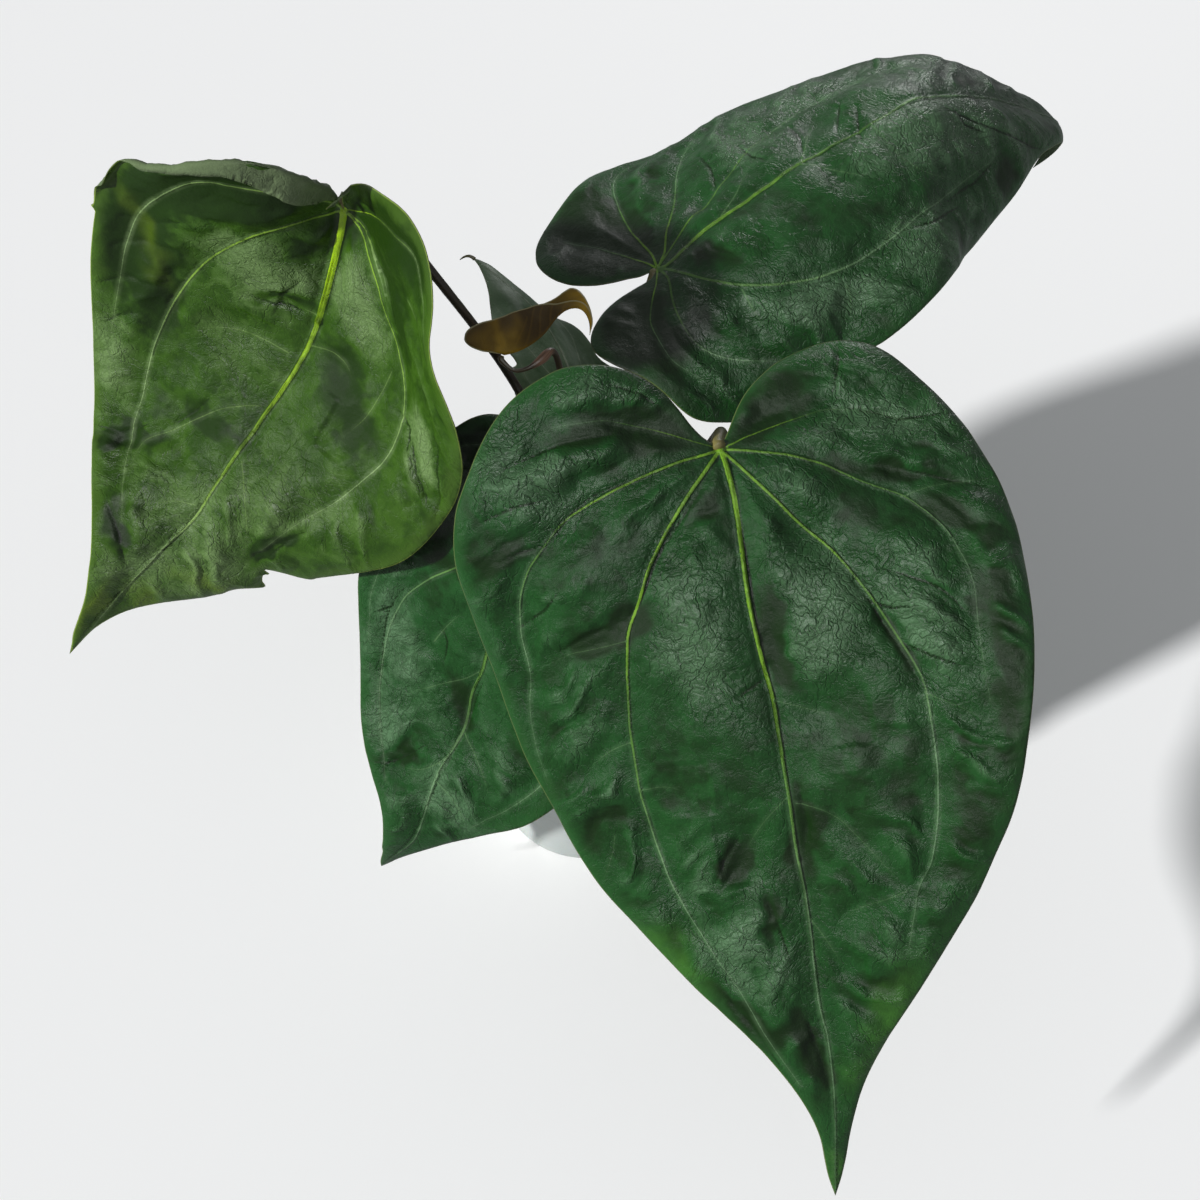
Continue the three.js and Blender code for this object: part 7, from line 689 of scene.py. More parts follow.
def inside(points, loop):
    a = np.asarray(loop, float)
    b = np.roll(a, -1, axis=0)
    hit = np.zeros(len(points), bool)
    for c in range(0, len(points), 8192):
        q = points[c:c + 8192]
        y = q[:, 1:2]
        cross = (a[:, 1] > y) != (b[:, 1] > y)
        with np.errstate(divide="ignore", invalid="ignore"):
            x = (b[:, 0] - a[:, 0]) * (y - a[:, 1]) / (b[:, 1] - a[:, 1]) + a[:, 0]
        hit[c:c + 8192] = (cross & (q[:, 0:1] < x)).sum(1) % 2 == 1
    return hit


def tree_of(points):
    t = KDTree(len(points))
    for k, p in enumerate(points):
        t.insert((p[0], p[1], 0.0), k)
    t.balance()
    return t


def away_from(keep, extra, r):
    """The extra points that are no closer than r to any kept one."""
    if not len(extra):
        return extra
    t = tree_of(keep)
    ok = np.array([t.find((p[0], p[1], 0.0))[2] >= r for p in extra])
    return extra[ok]


def thin_out(keep, extra, r):
    """The extra points that are no closer than r to the kept ones or to each other."""
    extra = away_from(keep, extra, r)
    cell = {}
    out = []
    rr = r * r
    for x, y in extra.tolist():
        i, j = int(x // r), int(y // r)
        near_by = [q for di in (-1, 0, 1) for dj in (-1, 0, 1) for q in cell.get((i + di, j + dj), ())]
        if all((q[0] - x) ** 2 + (q[1] - y) ** 2 >= rr for q in near_by):
            out.append((x, y))
            cell.setdefault((i, j), []).append((x, y))
    return np.array(out) if out else np.zeros((0, 2))


def near_loop(points, loop):
    """Distance from many points to a finely divided closed loop."""
    t = tree_of(loop)
    k = np.array([t.find((p[0], p[1], 0.0))[1] for p in points], int)
    best = np.full(len(points), 1e9)
    n = len(loop)
    for a, b in ((loop[(k - 1) % n], loop[k]), (loop[k], loop[(k + 1) % n])):
        ab = b - a
        u = np.clip(((points - a) * ab).sum(1) / np.maximum((ab ** 2).sum(1), 1e-12), 0, 1)
        best = np.minimum(best, np.linalg.norm(points - a - ab * u[:, None], axis=1))
    return best


def triangulate(loop, inner, holes=()):
    """Triangles inside a closed loop. The loop's points come first in the result."""
    pts = [np.asarray(loop, float)] + [np.asarray(h, float) for h in holes] + ([inner] if len(inner) else [])
    edges = []
    first = 0
    for ring in [loop] + list(holes):
        n = len(ring)
        edges += [(first + k, first + (k + 1) % n) for k in range(n)]
        first += n
    allp = np.concatenate(pts)
    v, _, f, ov, _, _ = delaunay_2d_cdt([Vector(p) for p in allp], edges, [], 0, 1e-5, True)
    v = np.array([tuple(p) for p in v])
    f = np.array(f, int)
    mid = v[f].mean(1)
    ok = inside(mid, loop)
    for h in holes:
        ok &= ~inside(mid, h)
    f = f[ok]
    # back to the order the points were given in
    where = np.full(len(v), -1)
    for k, o in enumerate(ov):
        if len(o):
            where[k] = o[0]
    if (where[np.unique(f)] < 0).any():
        raise RuntimeError("the outline crosses itself")
    f = where[f]
    e1 = allp[f[:, 1]] - allp[f[:, 0]]
    e2 = allp[f[:, 2]] - allp[f[:, 0]]
    area = e1[:, 0] * e2[:, 1] - e1[:, 1] * e2[:, 0]
    f[area < 0] = f[area < 0][:, ::-1]
    return allp, f[np.abs(area) > 1e-7]


# ---------------------------------------------------------------- meshes
def make(name, points, faces, values=None, smooth=True, vectors=None):
    """A mesh object from points in millimetres."""
    mesh = bpy.data.meshes.new(name)
    points = np.asarray(points, float) * MM
    mesh.vertices.add(len(points))
    mesh.vertices.foreach_set("co", points.astype(np.float32).ravel())
    if isinstance(faces, np.ndarray):
        n, k = faces.shape
        mesh.loops.add(n * k)
        mesh.loops.foreach_set("vertex_index", faces.astype(np.int32).ravel())
        mesh.polygons.add(n)
        mesh.polygons.foreach_set("loop_start", np.arange(0, n * k, k, dtype=np.int32))
    else:
        sizes = np.array([len(f) for f in faces])
        flat = np.array([i for f in faces for i in f], np.int32)
        mesh.loops.add(len(flat))
        mesh.loops.foreach_set("vertex_index", flat)
        mesh.polygons.add(len(faces))
        mesh.polygons.foreach_set("loop_start", np.r_[0, np.cumsum(sizes)[:-1]].astype(np.int32))
    mesh.update(calc_edges=True)
    mesh.validate()
    for key, v in (values or {}).items():
        a = mesh.attributes.new(key, "FLOAT", "POINT")
        a.data.foreach_set("value", np.asarray(v, np.float32))
    for key, v in (vectors or {}).items():
        a = mesh.attributes.new(key, "FLOAT_VECTOR", "POINT")
        a.data.foreach_set("vector", np.asarray(v, np.float32).ravel())
    mesh.polygons.foreach_set("use_smooth", np.full(len(mesh.polygons), smooth))
    ob = bpy.data.objects.new(name, mesh)
    scene.collection.objects.link(ob)
    return ob


def put(ob, material, slot, nodes=(), body="root"):
    ob.data.materials.append(material)
    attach(ob, body)
    if nodes:
        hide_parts(*nodes)
    return ob


# ---------------------------------------------------------------- node material helper
class Mat:
    """A node material with a Principled shader, written as small sums."""

    def __init__(self, name, roughness=0.5, specular=0.5):
        self.m = bpy.data.materials.new(name)
        self.m.use_nodes = True
        self.t = self.m.node_tree
        self.t.nodes.clear()
        self.out = self.t.nodes.new("ShaderNodeOutputMaterial")
        self.s = self.t.nodes.new("ShaderNodeBsdfPrincipled")
        self.t.links.new(self.s.outputs[0], self.out.inputs[0])
        self.s.inputs["Roughness"].default_value = roughness
        self.s.inputs["Specular IOR Level"].default_value = specular

    def node(self, kind, **kw):
        n = self.t.nodes.new(kind)
        for k, v in kw.items():
            setattr(n, k, v)
        return n

    def link(self, a, b):
        self.t.links.new(a, b)

    def feed(self, socket, v):
        if isinstance(v, bpy.types.NodeSocket):
            self.link(v, socket)
        elif isinstance(v, (tuple, list)) and len(v) == 3 and socket.type == "RGBA":
            socket.default_value = (*v, 1)
        else:
            socket.default_value = v

    def attr(self, name, vector=False):
        n = self.node("ShaderNodeAttribute", attribute_name=name)
        return n.outputs["Vector"] if vector else n.outputs["Fac"]

    def math(self, op, a, b=None, c=None, clamp=False):
        n = self.node("ShaderNodeMath", operation=op, use_clamp=clamp)
        self.feed(n.inputs[0], a)
        if b is not None:
            self.feed(n.inputs[1], b)
        if c is not None:
            self.feed(n.inputs[2], c)
        return n.outputs[0]

    def ramp(self, x, lo, hi, to_lo=0.0, to_hi=1.0, smooth=True):
        n = self.node("ShaderNodeMapRange", interpolation_type="SMOOTHSTEP" if smooth else "LINEAR")
        self.feed(n.inputs["Value"], x)
        n.inputs["From Min"].default_value = lo
        n.inputs["From Max"].default_value = hi
        n.inputs["To Min"].default_value = to_lo
        n.inputs["To Max"].default_value = to_hi
        return n.outputs["Result"]

    def mix(self, fac, a, b, mode="MIX"):
        n = self.node("ShaderNodeMix", data_type="RGBA", blend_type=mode)
        self.feed(n.inputs[0], fac)
        self.feed(n.inputs[6], a)
        self.feed(n.inputs[7], b)
        return n.outputs[2]

    def scaled(self, vec, scale, turn=None):
        n = self.node("ShaderNodeMapping")
        self.link(vec, n.inputs["Vector"])
        n.inputs["Scale"].default_value = scale if isinstance(scale, tuple) else (scale,) * 3
        if turn:
            n.inputs["Rotation"].default_value = turn
        return n.outputs[0]

    def noise(self, vec, scale, detail=3.0, rough=0.5, distort=0.0):
        n = self.node("ShaderNodeTexNoise")
        self.link(vec, n.inputs["Vector"])
        n.inputs["Scale"].default_value = scale
        n.inputs["Detail"].default_value = detail
        n.inputs["Roughness"].default_value = rough
        n.inputs["Distortion"].default_value = distort
        return n.outputs["Fac"]

    def voronoi(self, vec, scale, feature="F1", out="Distance", rand=1.0):
        n = self.node("ShaderNodeTexVoronoi", feature=feature)
        self.link(vec, n.inputs["Vector"])
        n.inputs["Scale"].default_value = scale
        n.inputs["Randomness"].default_value = rand
        return n.outputs[out]

    def warp(self, vec, scale, amount):
        """The vector pushed about by noise."""
        n = self.node("ShaderNodeTexNoise")
        self.link(vec, n.inputs["Vector"])
        n.inputs["Scale"].default_value = scale
        n.inputs["Detail"].default_value = 2.0
        a = self.node("ShaderNodeVectorMath", operation="SUBTRACT")
        self.link(n.outputs["Color"], a.inputs[0])
        a.inputs[1].default_value = (0.5, 0.5, 0.5)
        b = self.node("ShaderNodeVectorMath", operation="SCALE")
        self.link(a.outputs[0], b.inputs[0])
        b.inputs["Scale"].default_value = amount
        c = self.node("ShaderNodeVectorMath", operation="ADD")
        self.link(vec, c.inputs[0])
        self.link(b.outputs[0], c.inputs[1])
        return c.outputs[0]

    def bump(self, height, distance, strength=1.0, base=None):
        n = self.node("ShaderNodeBump")
        n.inputs["Strength"].default_value = strength
        n.inputs["Distance"].default_value = distance
        self.link(height, n.inputs["Height"])
        if base is not None:
            self.link(base, n.inputs["Normal"])
        return n.outputs[0]

    def base(self, c):
        self.feed(self.s.inputs["Base Color"], c)

    def set(self, name, v):
        self.feed(self.s.inputs[name], v)


# ---------------------------------------------------------------- blades
def spline_basis(x, x0, x1, n):
    u = (x - x0) / (x1 - x0) * (n - 3)
    i = np.clip(np.floor(u).astype(int), 0, n - 4)
    f = u - i
    B = np.stack([(1 - f) ** 3 / 6, (3 * f ** 3 - 6 * f ** 2 + 4) / 6, (-3 * f ** 3 + 3 * f ** 2 + 3 * f + 1) / 6, f ** 3 / 6], -1)
    dB = np.stack([-(1 - f) ** 2 / 2, (3 * f ** 2 - 4 * f) / 2, (-3 * f ** 2 + 2 * f + 1) / 2, f ** 2 / 2], -1) * (n - 3) / (x1 - x0)
    return i, B, dB


# a small tear in the margin, in the flat leaf
TEARS = {"left": [(34.2, 132.0), (36.6, 133.9), (35.4, 134.9), (35.2, 136.2), (37.0, 139.6), (39.4, 143.0)]}


class Blade:
    def __init__(self, name):
        d = LEAVES[name]
        self.name, self.length, self.rect = name, d["length"], d["rect"]
        net = np.array(d["net"], float)
        self.net = net.reshape(d["rows"], -1, 3)
        self.right, self.left = np.array(d["right"], float), np.array(d["left"], float)
        self.ribs, self.dents, self.cracks = d["ribs"], d["dents"], d["cracks"]
        self.rolls = [(resample(line, 1.0), np.array(width), r) for line, width, r in ROLLS.get(name, [])]

    def at(self, q):
        """Point and upper-face normal at flat places q, with the curled margins."""
        S, N, Sa, Sb = self.smooth(q)
        for line, _, r in self.rolls:
            d, t, side = near(q, line)
            out = (side > 0) & (d < 24) & (t > 1e-4) & (t < 1 - 1e-4) & (q[:, 0] * line[0, 0] > 0)
            if not out.any():
                continue
            n = len(line) - 1
            x = t[out] * n
            k = np.clip(x.astype(int), 0, n - 1)
            f = (x - k)[:, None]
            foot = line[k] * (1 - f) + line[k + 1] * f
            S0, N0, Sa0, Sb0 = self.smooth(foot)
            run = line[k + 1] - line[k]
            along = Sa0 * run[:, 0:1] + Sb0 * run[:, 1:2]
            along /= np.linalg.norm(along, axis=1)[:, None]
            away = np.cross(along, N0)
            step = q[out] - foot
            sgn = np.sign(((Sa0 * step[:, 0:1] + Sb0 * step[:, 1:2]) * away).sum(1))
            away *= np.where(sgn == 0, 1, sgn)[:, None]
            dd = d[out]
            tight = r * (1 + 0.35 * noise(np.column_stack([t[out] * 9, dd * 0]), 5))
            turn = np.minimum(dd / tight, math.pi * 0.93)
            rest = np.maximum(dd - tight * math.pi * 0.93, 0)
            S[out] = S0 + away * (tight * np.sin(turn) + rest * np.cos(turn))[:, None] + N0 * (tight * (1 - np.cos(turn)) + rest * np.sin(turn))[:, None]
            N[out] = N0 * np.cos(turn)[:, None] - away * np.sin(turn)[:, None]
        return S, N, Sa, Sb

    def smooth(self, q):
        """Point and upper-face normal of the smooth blade at flat places q."""
        a0, a1, b0, b1 = self.rect
        na, nb = self.net.shape[:2]
        i, A, dA = spline_basis(q[:, 0], a0, a1, na)
        j, B, dB = spline_basis(q[:, 1], b0, b1, nb)
        S = np.zeros((len(q), 3))
        Sa = np.zeros_like(S)
        Sb = np.zeros_like(S)
        for k in range(4):
            for m in range(4):
                c = self.net[i + k, j + m]
                S += c * (A[:, k] * B[:, m])[:, None]
                Sa += c * (dA[:, k] * B[:, m])[:, None]
                Sb += c * (A[:, k] * dB[:, m])[:, None]
        N = np.cross(Sb, Sa)
        N /= np.linalg.norm(N, axis=1)[:, None]
        return S, N, Sa, Sb

    def outline(self, step):
        right = self.right
        if self.name in TEARS:
            tear = np.array(TEARS[self.name])
            k = np.where((right[:, 1] > tear[0, 1] - 0.8) & (right[:, 1] < tear[-1, 1] + 0.8) & (right[:, 0] > 20))[0]
            right = np.concatenate([right[:k[0]], tear, right[k[-1] + 1:]])
        r = resample(right, step)
        l = resample(self.left, step)
        if np.hypot(*(r[0] - l[0])) < step * 0.6:
            l = l[1:]
        if np.hypot(*(r[-1] - l[-1])) < step * 0.6:
            l = l[:-1]
        loop = np.concatenate([r, l[::-1]])
        for line, width, _ in self.rolls:
            # the margin moves out by the width of what is curled over
            d, t, side = near(loop, line)
            hit = (d < 6) & (t > 0.004) & (t < 0.996) & (loop[:, 0] * line[0, 0] > 0)
            n = len(line) - 1
            x = t[hit] * n
            k = np.clip(x.astype(int), 0, n - 1)
            f = (x - k)[:, None]
            foot = line[k] * (1 - f) + line[k + 1] * f
            run = line[k + 1] - line[k]
            out = np.column_stack([-run[:, 1], run[:, 0]]) / np.linalg.norm(run, axis=1)[:, None]
            w = np.interp(t[hit], np.linspace(0, 1, len(width)), width)
            w *= 1 + 0.12 * noise(np.column_stack([t[hit] * 14, t[hit] * 0]), 6)
            loop[hit] = foot + out * np.maximum(w, d[hit])[:, None]
        nxt = np.roll(loop, -1, axis=0)
        gap = np.linalg.norm(nxt - loop, axis=1)
        fill = []
        for k in range(len(loop)):
            m = max(1, int(round(gap[k] / step)))
            fill += [loop[k] + (nxt[k] - loop[k]) * i / m for i in range(m)]
        loop = np.array(fill)
        d = np.linalg.norm(loop - np.roll(loop, -1, axis=0), axis=1)
        return loop[d > step * 0.2]


def lattice(loop, step, seed):
    """An even field of points inside a loop, a little shaken."""
    lo, hi = loop.min(0), loop.max(0)
    cols, rows = np.meshgrid(np.arange(lo[0], hi[0] + step, step), np.arange(lo[1], hi[1], step * 0.866))
    cols[1::2] += 0.5 * step
    g = np.column_stack([cols.ravel(), rows.ravel()])
    g += np.random.default_rng(seed).normal(0, step * 0.06, g.shape)
    return g[inside(g, loop)]


def rib_fields(blade, q):
    """For flat places q: distance to the nearest rib's edge, its paleness and how strong it is, the
    distance to the main ribs, and the height that the ribs add above and below."""
    n = len(q)
    edge = np.full(n, 9.0)
    pale = np.zeros(n)
    strong = np.zeros(n)
    main = np.full(n, 60.0)
    along = np.zeros(n)
    up = np.zeros(n)
    down = np.zeros(n)
    low = np.zeros(n)
    for name, w0, w1, p, rise, line in blade.ribs:
        line = resample(line, 2.0)
        if name == "s":
            lo, hi = line.min(0) - 7, line.max(0) + 7
            here = (q[:, 0] > lo[0]) & (q[:, 0] < hi[0]) & (q[:, 1] > lo[1]) & (q[:, 1] < hi[1])
            d, t = np.full(n, 99.0), np.zeros(n)
            d[here], t[here], _ = near(q[here], line)
        else:
            d, t, _ = near(q, line)
        w = w1 + (w0 - w1) * (1 - t) ** 1.3
        e = d - w
        better = e < edge
        edge = np.where(better, e, edge)
        pale = np.where(better, np.clip(p + (1 - p) * smoothstep(0.15, 0.85, t), 0, 1) if name not in ("s", "stub") else p, pale)
        power = 0.42 * (1 - smoothstep(0.5, 1.0, t)) if name == "s" else float(np.clip(w0 / 0.34, 0.5, 1.0)) * (1 - 0.6 * smoothstep(0.6, 1.0, t))
        strong = np.where(better, power, strong)
        fade = 1 - smoothstep(0.55, 1.0, t) if name != "stub" else np.ones(n)
        r = rise * (0.25 + 0.75 * fade)
        ridge = np.clip(1 - (d / (w * 1.25)) ** 2, 0, 1) ** 0.8
        groove = np.exp(-((d - 2.1 * w - 0.25) / (0.75 * w + 0.3)) ** 2)
        up = up + r * ridge - 0.42 * r * groove
        low = np.maximum(low, 0.42 * r * (1 - smoothstep(2.6 * w + 0.8, 2.6 * w + 3.6, d)))
        down = np.maximum(down, (0.35 + w) * fade ** 0.5 * np.exp(-(d / (w * 1.5 + 0.3)) ** 2))
        if name != "s":
            k = 6.0 * smoothstep(0.75, 1.0, t) if name != "stub" else 0.0
            k = np.sqrt(d * d + k * k)
            length = np.linalg.norm(np.diff(line, axis=0), axis=1).sum()
            along = np.where(k < main, t * length + 37.0 * w0, along)
            main = np.minimum(main, k)
        else:
            main = np.minimum(main, np.sqrt(d * d + 9.0))
    return edge, pale, strong, main, along, up, down, low


def combed(q):
    """Coordinates that follow the small veins: outwards and towards the tip, and across that way."""
    wq = q + np.column_stack([fbm(q / 19.0, 2, 91), fbm(q / 19.0, 2, 93)]) * 6.0
    a, b = np.abs(wq[:, 0]), wq[:, 1]
    tilt = 0.50
    return np.column_stack([a * math.cos(tilt) + b * math.sin(tilt), b * math.cos(tilt) - a * math.sin(tilt), 23.0 * np.sign(q[:, 0])])


def ruffle(q):
    """Small shifts that keep the fine cells from lining up."""
    return np.column_stack([fbm(q / 2.3, 2, 111), fbm(q / 2.3, 2, 113), q[:, 0] * 0]) * 1.5


def blots(q):
    """Soft blotches, about 0.2 to 0.8."""
    w = q + np.column_stack([fbm(q / 4.5, 2, 121), fbm(q / 4.5, 2, 123)]) * 3.4
    v = fbm(w / 6.6, 4, 125)
    return np.clip(0.5 + 0.19 * v, 0.1, 0.9)


def pleats(blade, q, margin, main):
    """The pleats between the outer ribs and the margin: how much there are, and their two sizes."""
    L = blade.length
    c = combed(q)
    outer = (1 - smoothstep(0.09 * L, 0.22 * L, margin)) * (1 - np.exp(-margin / 6.0)) * smoothstep(3.0, 9.0, main)
    pl = noise(np.column_stack([c[:, 0] / 60.0 + c[:, 2], c[:, 1] / 12.5]), 101)
    pl2 = noise(np.column_stack([c[:, 0] / 16.0 + c[:, 2], c[:, 1] / 4.2]), 103)
    return outer, (1 - np.abs(pl) * 2.6).clip(-0.5, 1), (1 - np.abs(pl2) * 2.2).clip(-0.4, 1)


def crack_field(blade, q):
    """Distance to the nearest of the blade's deep creases, less its half width."""
    d = np.full(len(q), 9.0)
    for line in blade.cracks:
        line = resample(line, 1.0)
        lo, hi = line.min(0) - 5, line.max(0) + 5
        here = (q[:, 0] > lo[0]) & (q[:, 0] < hi[0]) & (q[:, 1] > lo[1]) & (q[:, 1] < hi[1])
        if here.any():
            e, t, _ = near(q[here], line)
            d[here] = np.minimum(d[here], e - 0.30 + 0.30 * np.abs(2 * t - 1) ** 2)
    return d


def relief(blade, q, style, margin, main):
    """Height of the blade's soft relief at flat places q, and of its fine wrinkles."""
    L = blade.length
    s = style
    w = np.column_stack([noise(q / 9.0, 3), noise(q / 9.0, 5)])
    w2 = np.column_stack([noise(q / 2.6, 8), noise(q / 2.6, 9)])
    warped = q + w * 2.2 + w2 * 0.9
    inner = 1 - np.exp(-margin / 7.0)
    h = s["quilt"] * (1 - np.exp(-(main / s["reach"]) ** 1.35)) * inner
    h += s["swell"] * fbm(q / 34.0, 2, 21) * inner
    h += s["ripple"] * noise(warped / np.array([17.0, 11.0]), 33) * inner
    h += s["small"] * fbm(warped / 5.2, 2, 41) * (0.4 + 0.6 * inner)
    h += s["wave"] * np.exp(-margin / 9.0) * noise(np.column_stack([q[:, 0], q[:, 1]]) / 24.0, 51)
    h -= s["droop"] * np.exp(-margin / 4.0)
    outer, pl, pl2 = pleats(blade, q, margin, main)
    h += s["pleat"] * outer * (pl + 0.22 * pl2)
    for kind, height, mid, j in blade.dents:
        m = np.array([[j[0], j[2]], [j[1], j[3]]])
        x = (warped - np.array(mid)) @ np.linalg.inv(m).T
        r = np.sqrt((x ** 2).sum(1))
        if kind == "round":
            h += height * np.exp(-1.6 * r ** 2)
        elif kind == "pit":
            h += height * (1 - smoothstep(0.35, 1.15, r))
        elif kind == "fold":
            h += height * np.exp(-1.6 * x[:, 0] ** 2) * (1 - np.abs(x[:, 1])).clip(0) ** 0.7
    # wrinkles run across the ribs, like combed leather
    ridged = 1 - np.abs(noise(warped / np.array([3.4, 1.9]), 61)) * 2.2
    ridged2 = 1 - np.abs(noise(warped / np.array([1.9, 3.6]), 71)) * 2.2
    where = 0.35 + 0.65 * smoothstep(-0.15, 0.55, noise(q / 15.0, 81) + 0.45 * np.exp(-(main / 4.5)))
    fine = -s["wrinkle"] * (np.clip(ridged, 0, 1) ** 3 + 0.8 * np.clip(ridged2, 0, 1) ** 3) * where
    return h, fine, where


FOCUS = "front"


def patches(blade, q, which):
    """Soft patches of the blade's list: "tint" is yellower; the sheen patches are glossier and paint a greyer, lighter
    colour (painted sheen), or below 0 are rougher and paint a deeper colour (painted shade).
    """
    v = np.zeros(len(q))
    wq = q + np.column_stack([fbm(q / 11.0, 2, 13), fbm(q / 11.0, 2, 15)]) * 5.0
    for kind, amount, mid, j in blade.dents:
        if kind == which:
            m = np.array([[j[0], j[2]], [j[1], j[3]]])
            x = (wq - np.array(mid)) @ np.linalg.inv(m).T
            v += amount * np.exp(-1.1 * (x ** 2).sum(1) ** 1.3)
    return np.clip(v, -1.2, 1.4)


STYLE = {
    "quilt": 2.3, "reach": 9.0, "swell": 1.6, "ripple": 0.8, "small": 0.14, "wave": 1.2, "droop": 0.6, "wrinkle": 0.04, "pleat": 1.6,
    "thick": 0.55, "edge": 0.32, "step": 0.9, "ribs": 1.0,
}


def keep_apart(top, top_n, margin, low, low_n, low_faces, fixed):
    """Pushes the lower face's points down where a chord of it comes too near the upper face."""
    low = low.copy()
    faces = [tuple(int(i) for i in f) for f in low_faces]
    places = [i for i in range(0, len(top)) if margin[i] > 6.0]
    for turn in range(2):
        tree = BVHTree.FromPolygons([tuple(v) for v in low.tolist()], faces)
        push = np.zeros(len(low))
        for i in places:
            n = Vector(top_n[i])
            hit, hn, face, dist = tree.ray_cast(Vector(top[i]) + n * 0.5, -n, 1.2)
            if hit is not None and dist - 0.5 < 0.16:
                for j in faces[face]:
                    if j >= fixed:
                        push[j] = max(push[j], min(0.3, 0.22 - (dist - 0.5)))
        if not push.any():
            break
        low -= low_n * push[:, None]
    return low


def build_blade(name, style, material, slot, node, holes=()):
    blade = Blade(name)
    s = dict(STYLE, **style)
    blade.ribs = [(r[0], r[1] * s["ribs"], r[2] * s["ribs"]) + tuple(r[3:]) for r in blade.ribs]
    step = s["step"] * (1.7 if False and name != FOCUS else 1.0)
    loop = blade.outline(step)
    centre = []
    rows = []
    rows_low = []
    for rname, w0, w1, p, rise, line in blade.ribs:
        c = resample(line, step * 0.8)
        ok = inside(c, loop)
        centre.append(c[ok])
        if rname != "s" and w0 > 0.3:
            t = np.gradient(c, axis=0)
            t /= np.maximum(np.linalg.norm(t, axis=1), 1e-9)[:, None]
            n = np.column_stack([-t[:, 1], t[:, 0]])
            u = np.linspace(0, 1, len(c))
            w = w1 + (w0 - w1) * (1 - u) ** 1.3
            for k in ((0.65, 1.3, 2.2) if w0 > 0.7 else (1.25, 2.4)):
                for sgn in (-1, 1):
                    r = c + n * (sgn * w * k)[:, None]
                    ok = inside(r, loop) & (w * k > 0.25)
                    rows.append(r[ok])
            for k in (0.75, 1.7):
                for sgn in (-1, 1):
                    r = c + n * (sgn * k * (1.5 * w + 0.3))[:, None]
                    rows_low.append(r[inside(r, loop)])
    inner_line = thin_out(loop, np.concatenate(centre), step * 0.42)
    rows = np.concatenate(rows) if rows else np.zeros((0, 2))
    base = np.concatenate([loop, inner_line])
    rows = thin_out(base, rows, step * 0.45)
    base = np.concatenate([base, rows])
    top_inner = np.concatenate([inner_line, rows, away_from(base, lattice(loop, step, 3), step * 0.62)])
    low_base = np.concatenate([loop, inner_line])
    rows_low = thin_out(low_base, np.concatenate(rows_low), step * 0.4) if rows_low else rows
    low_base = np.concatenate([low_base, rows_low])
    low_inner = np.concatenate([inner_line, rows_low, away_from(low_base, lattice(loop, step * 1.7, 4), step * 0.9)])
    tq, tf = triangulate(loop, top_inner)
    bq, bf = triangulate(loop, low_inner)

    def lay(q, upper):
        margin = near_loop(q, loop)
        edge, pale, strong, main, along, up, down, low = rib_fields(blade, q)
        h, fine, where = relief(blade, q, s, margin, main)
        crack = crack_field(blade, q)
        wide = ((crack + 0.2) / 0.75) if upper else ((crack - 1.0) / 1.8)
        h = h - 0.55 * np.exp(-wide.clip(0) ** 2) * np.minimum(1, margin / 3)
        outer, pl, pl2 = pleats(blade, q, margin, main)
        # painted sheen on the pleat crests and painted shade in their hollows, added to the listed patches of painted
        # sheen and painted shade
        painted_sheen_shade = np.clip(patches(blade, q, "painted_sheen_shade") + s.get("pleat_sheen_shade", 1.0) * outer * (0.9 * pl + 0.3 * pl2 - 0.45), -2.2, 1.4)
        S, N, Sa, Sb = blade.at(q)
        grow = smoothstep(0, 2.0, margin)
        half = (s["edge"] + (s["thick"] - s["edge"]) * grow) / 2
        rib_in = smoothstep(0, 1.2, margin)
        if upper:
            height = h + half + (up + fine * grow) * rib_in
        else:
            height = h - half - (down * s.get("under", 1.0) + low) * rib_in
        P = S + N * height[:, None]
        ways.append((N, margin))
        return P, dict(rib=edge, pale=pale, strong=strong, margin=np.minimum(margin, 30), main=np.minimum(main, 30),
                       rough=where, tint=patches(blade, q, "tint"), painted_sheen_shade=painted_sheen_shade, crack=crack, blot=blots(q), under=np.full(len(q), 0.0 if upper else 1.0)), np.column_stack([q, np.full(len(q), 0.0 if upper else 40.0)]), combed(q) + ruffle(q)

    ways = []
    tp, tv, tu, tw = lay(tq, True)
    bp, bv, bu, bw = lay(bq, False)
    n = len(loop)
    if blade.length > 80:
        bp = keep_apart(tp, ways[0][0], ways[0][1], bp, ways[1][0], bf, n)
    nt = len(tp)
    k = np.arange(n)
    k2 = (k + 1) % n
    ccw = ((loop[:, 0] * np.roll(loop[:, 1], -1) - np.roll(loop[:, 0], -1) * loop[:, 1]).sum()) > 0
    # the flat leaf's own up is against (across x along), so the upper face takes the turned triangles
    strip = np.concatenate([np.column_stack([k, k2, k2 + nt]), np.column_stack([k, k2 + nt, k + nt])])
    if not ccw:
        strip = strip[:, ::-1]
    faces = np.concatenate([tf[:, ::-1], bf + nt, strip])
    values = {key: np.concatenate([tv[key], bv[key]]) for key in tv}
    ob = make(name, np.concatenate([tp, bp]), faces, values, vectors={"flat": np.concatenate([tu, bu]), "combed": np.concatenate([tw, bw])})
    ob.name = node + "_blade"
    put(ob, material, slot, (node,))
    return ob, blade


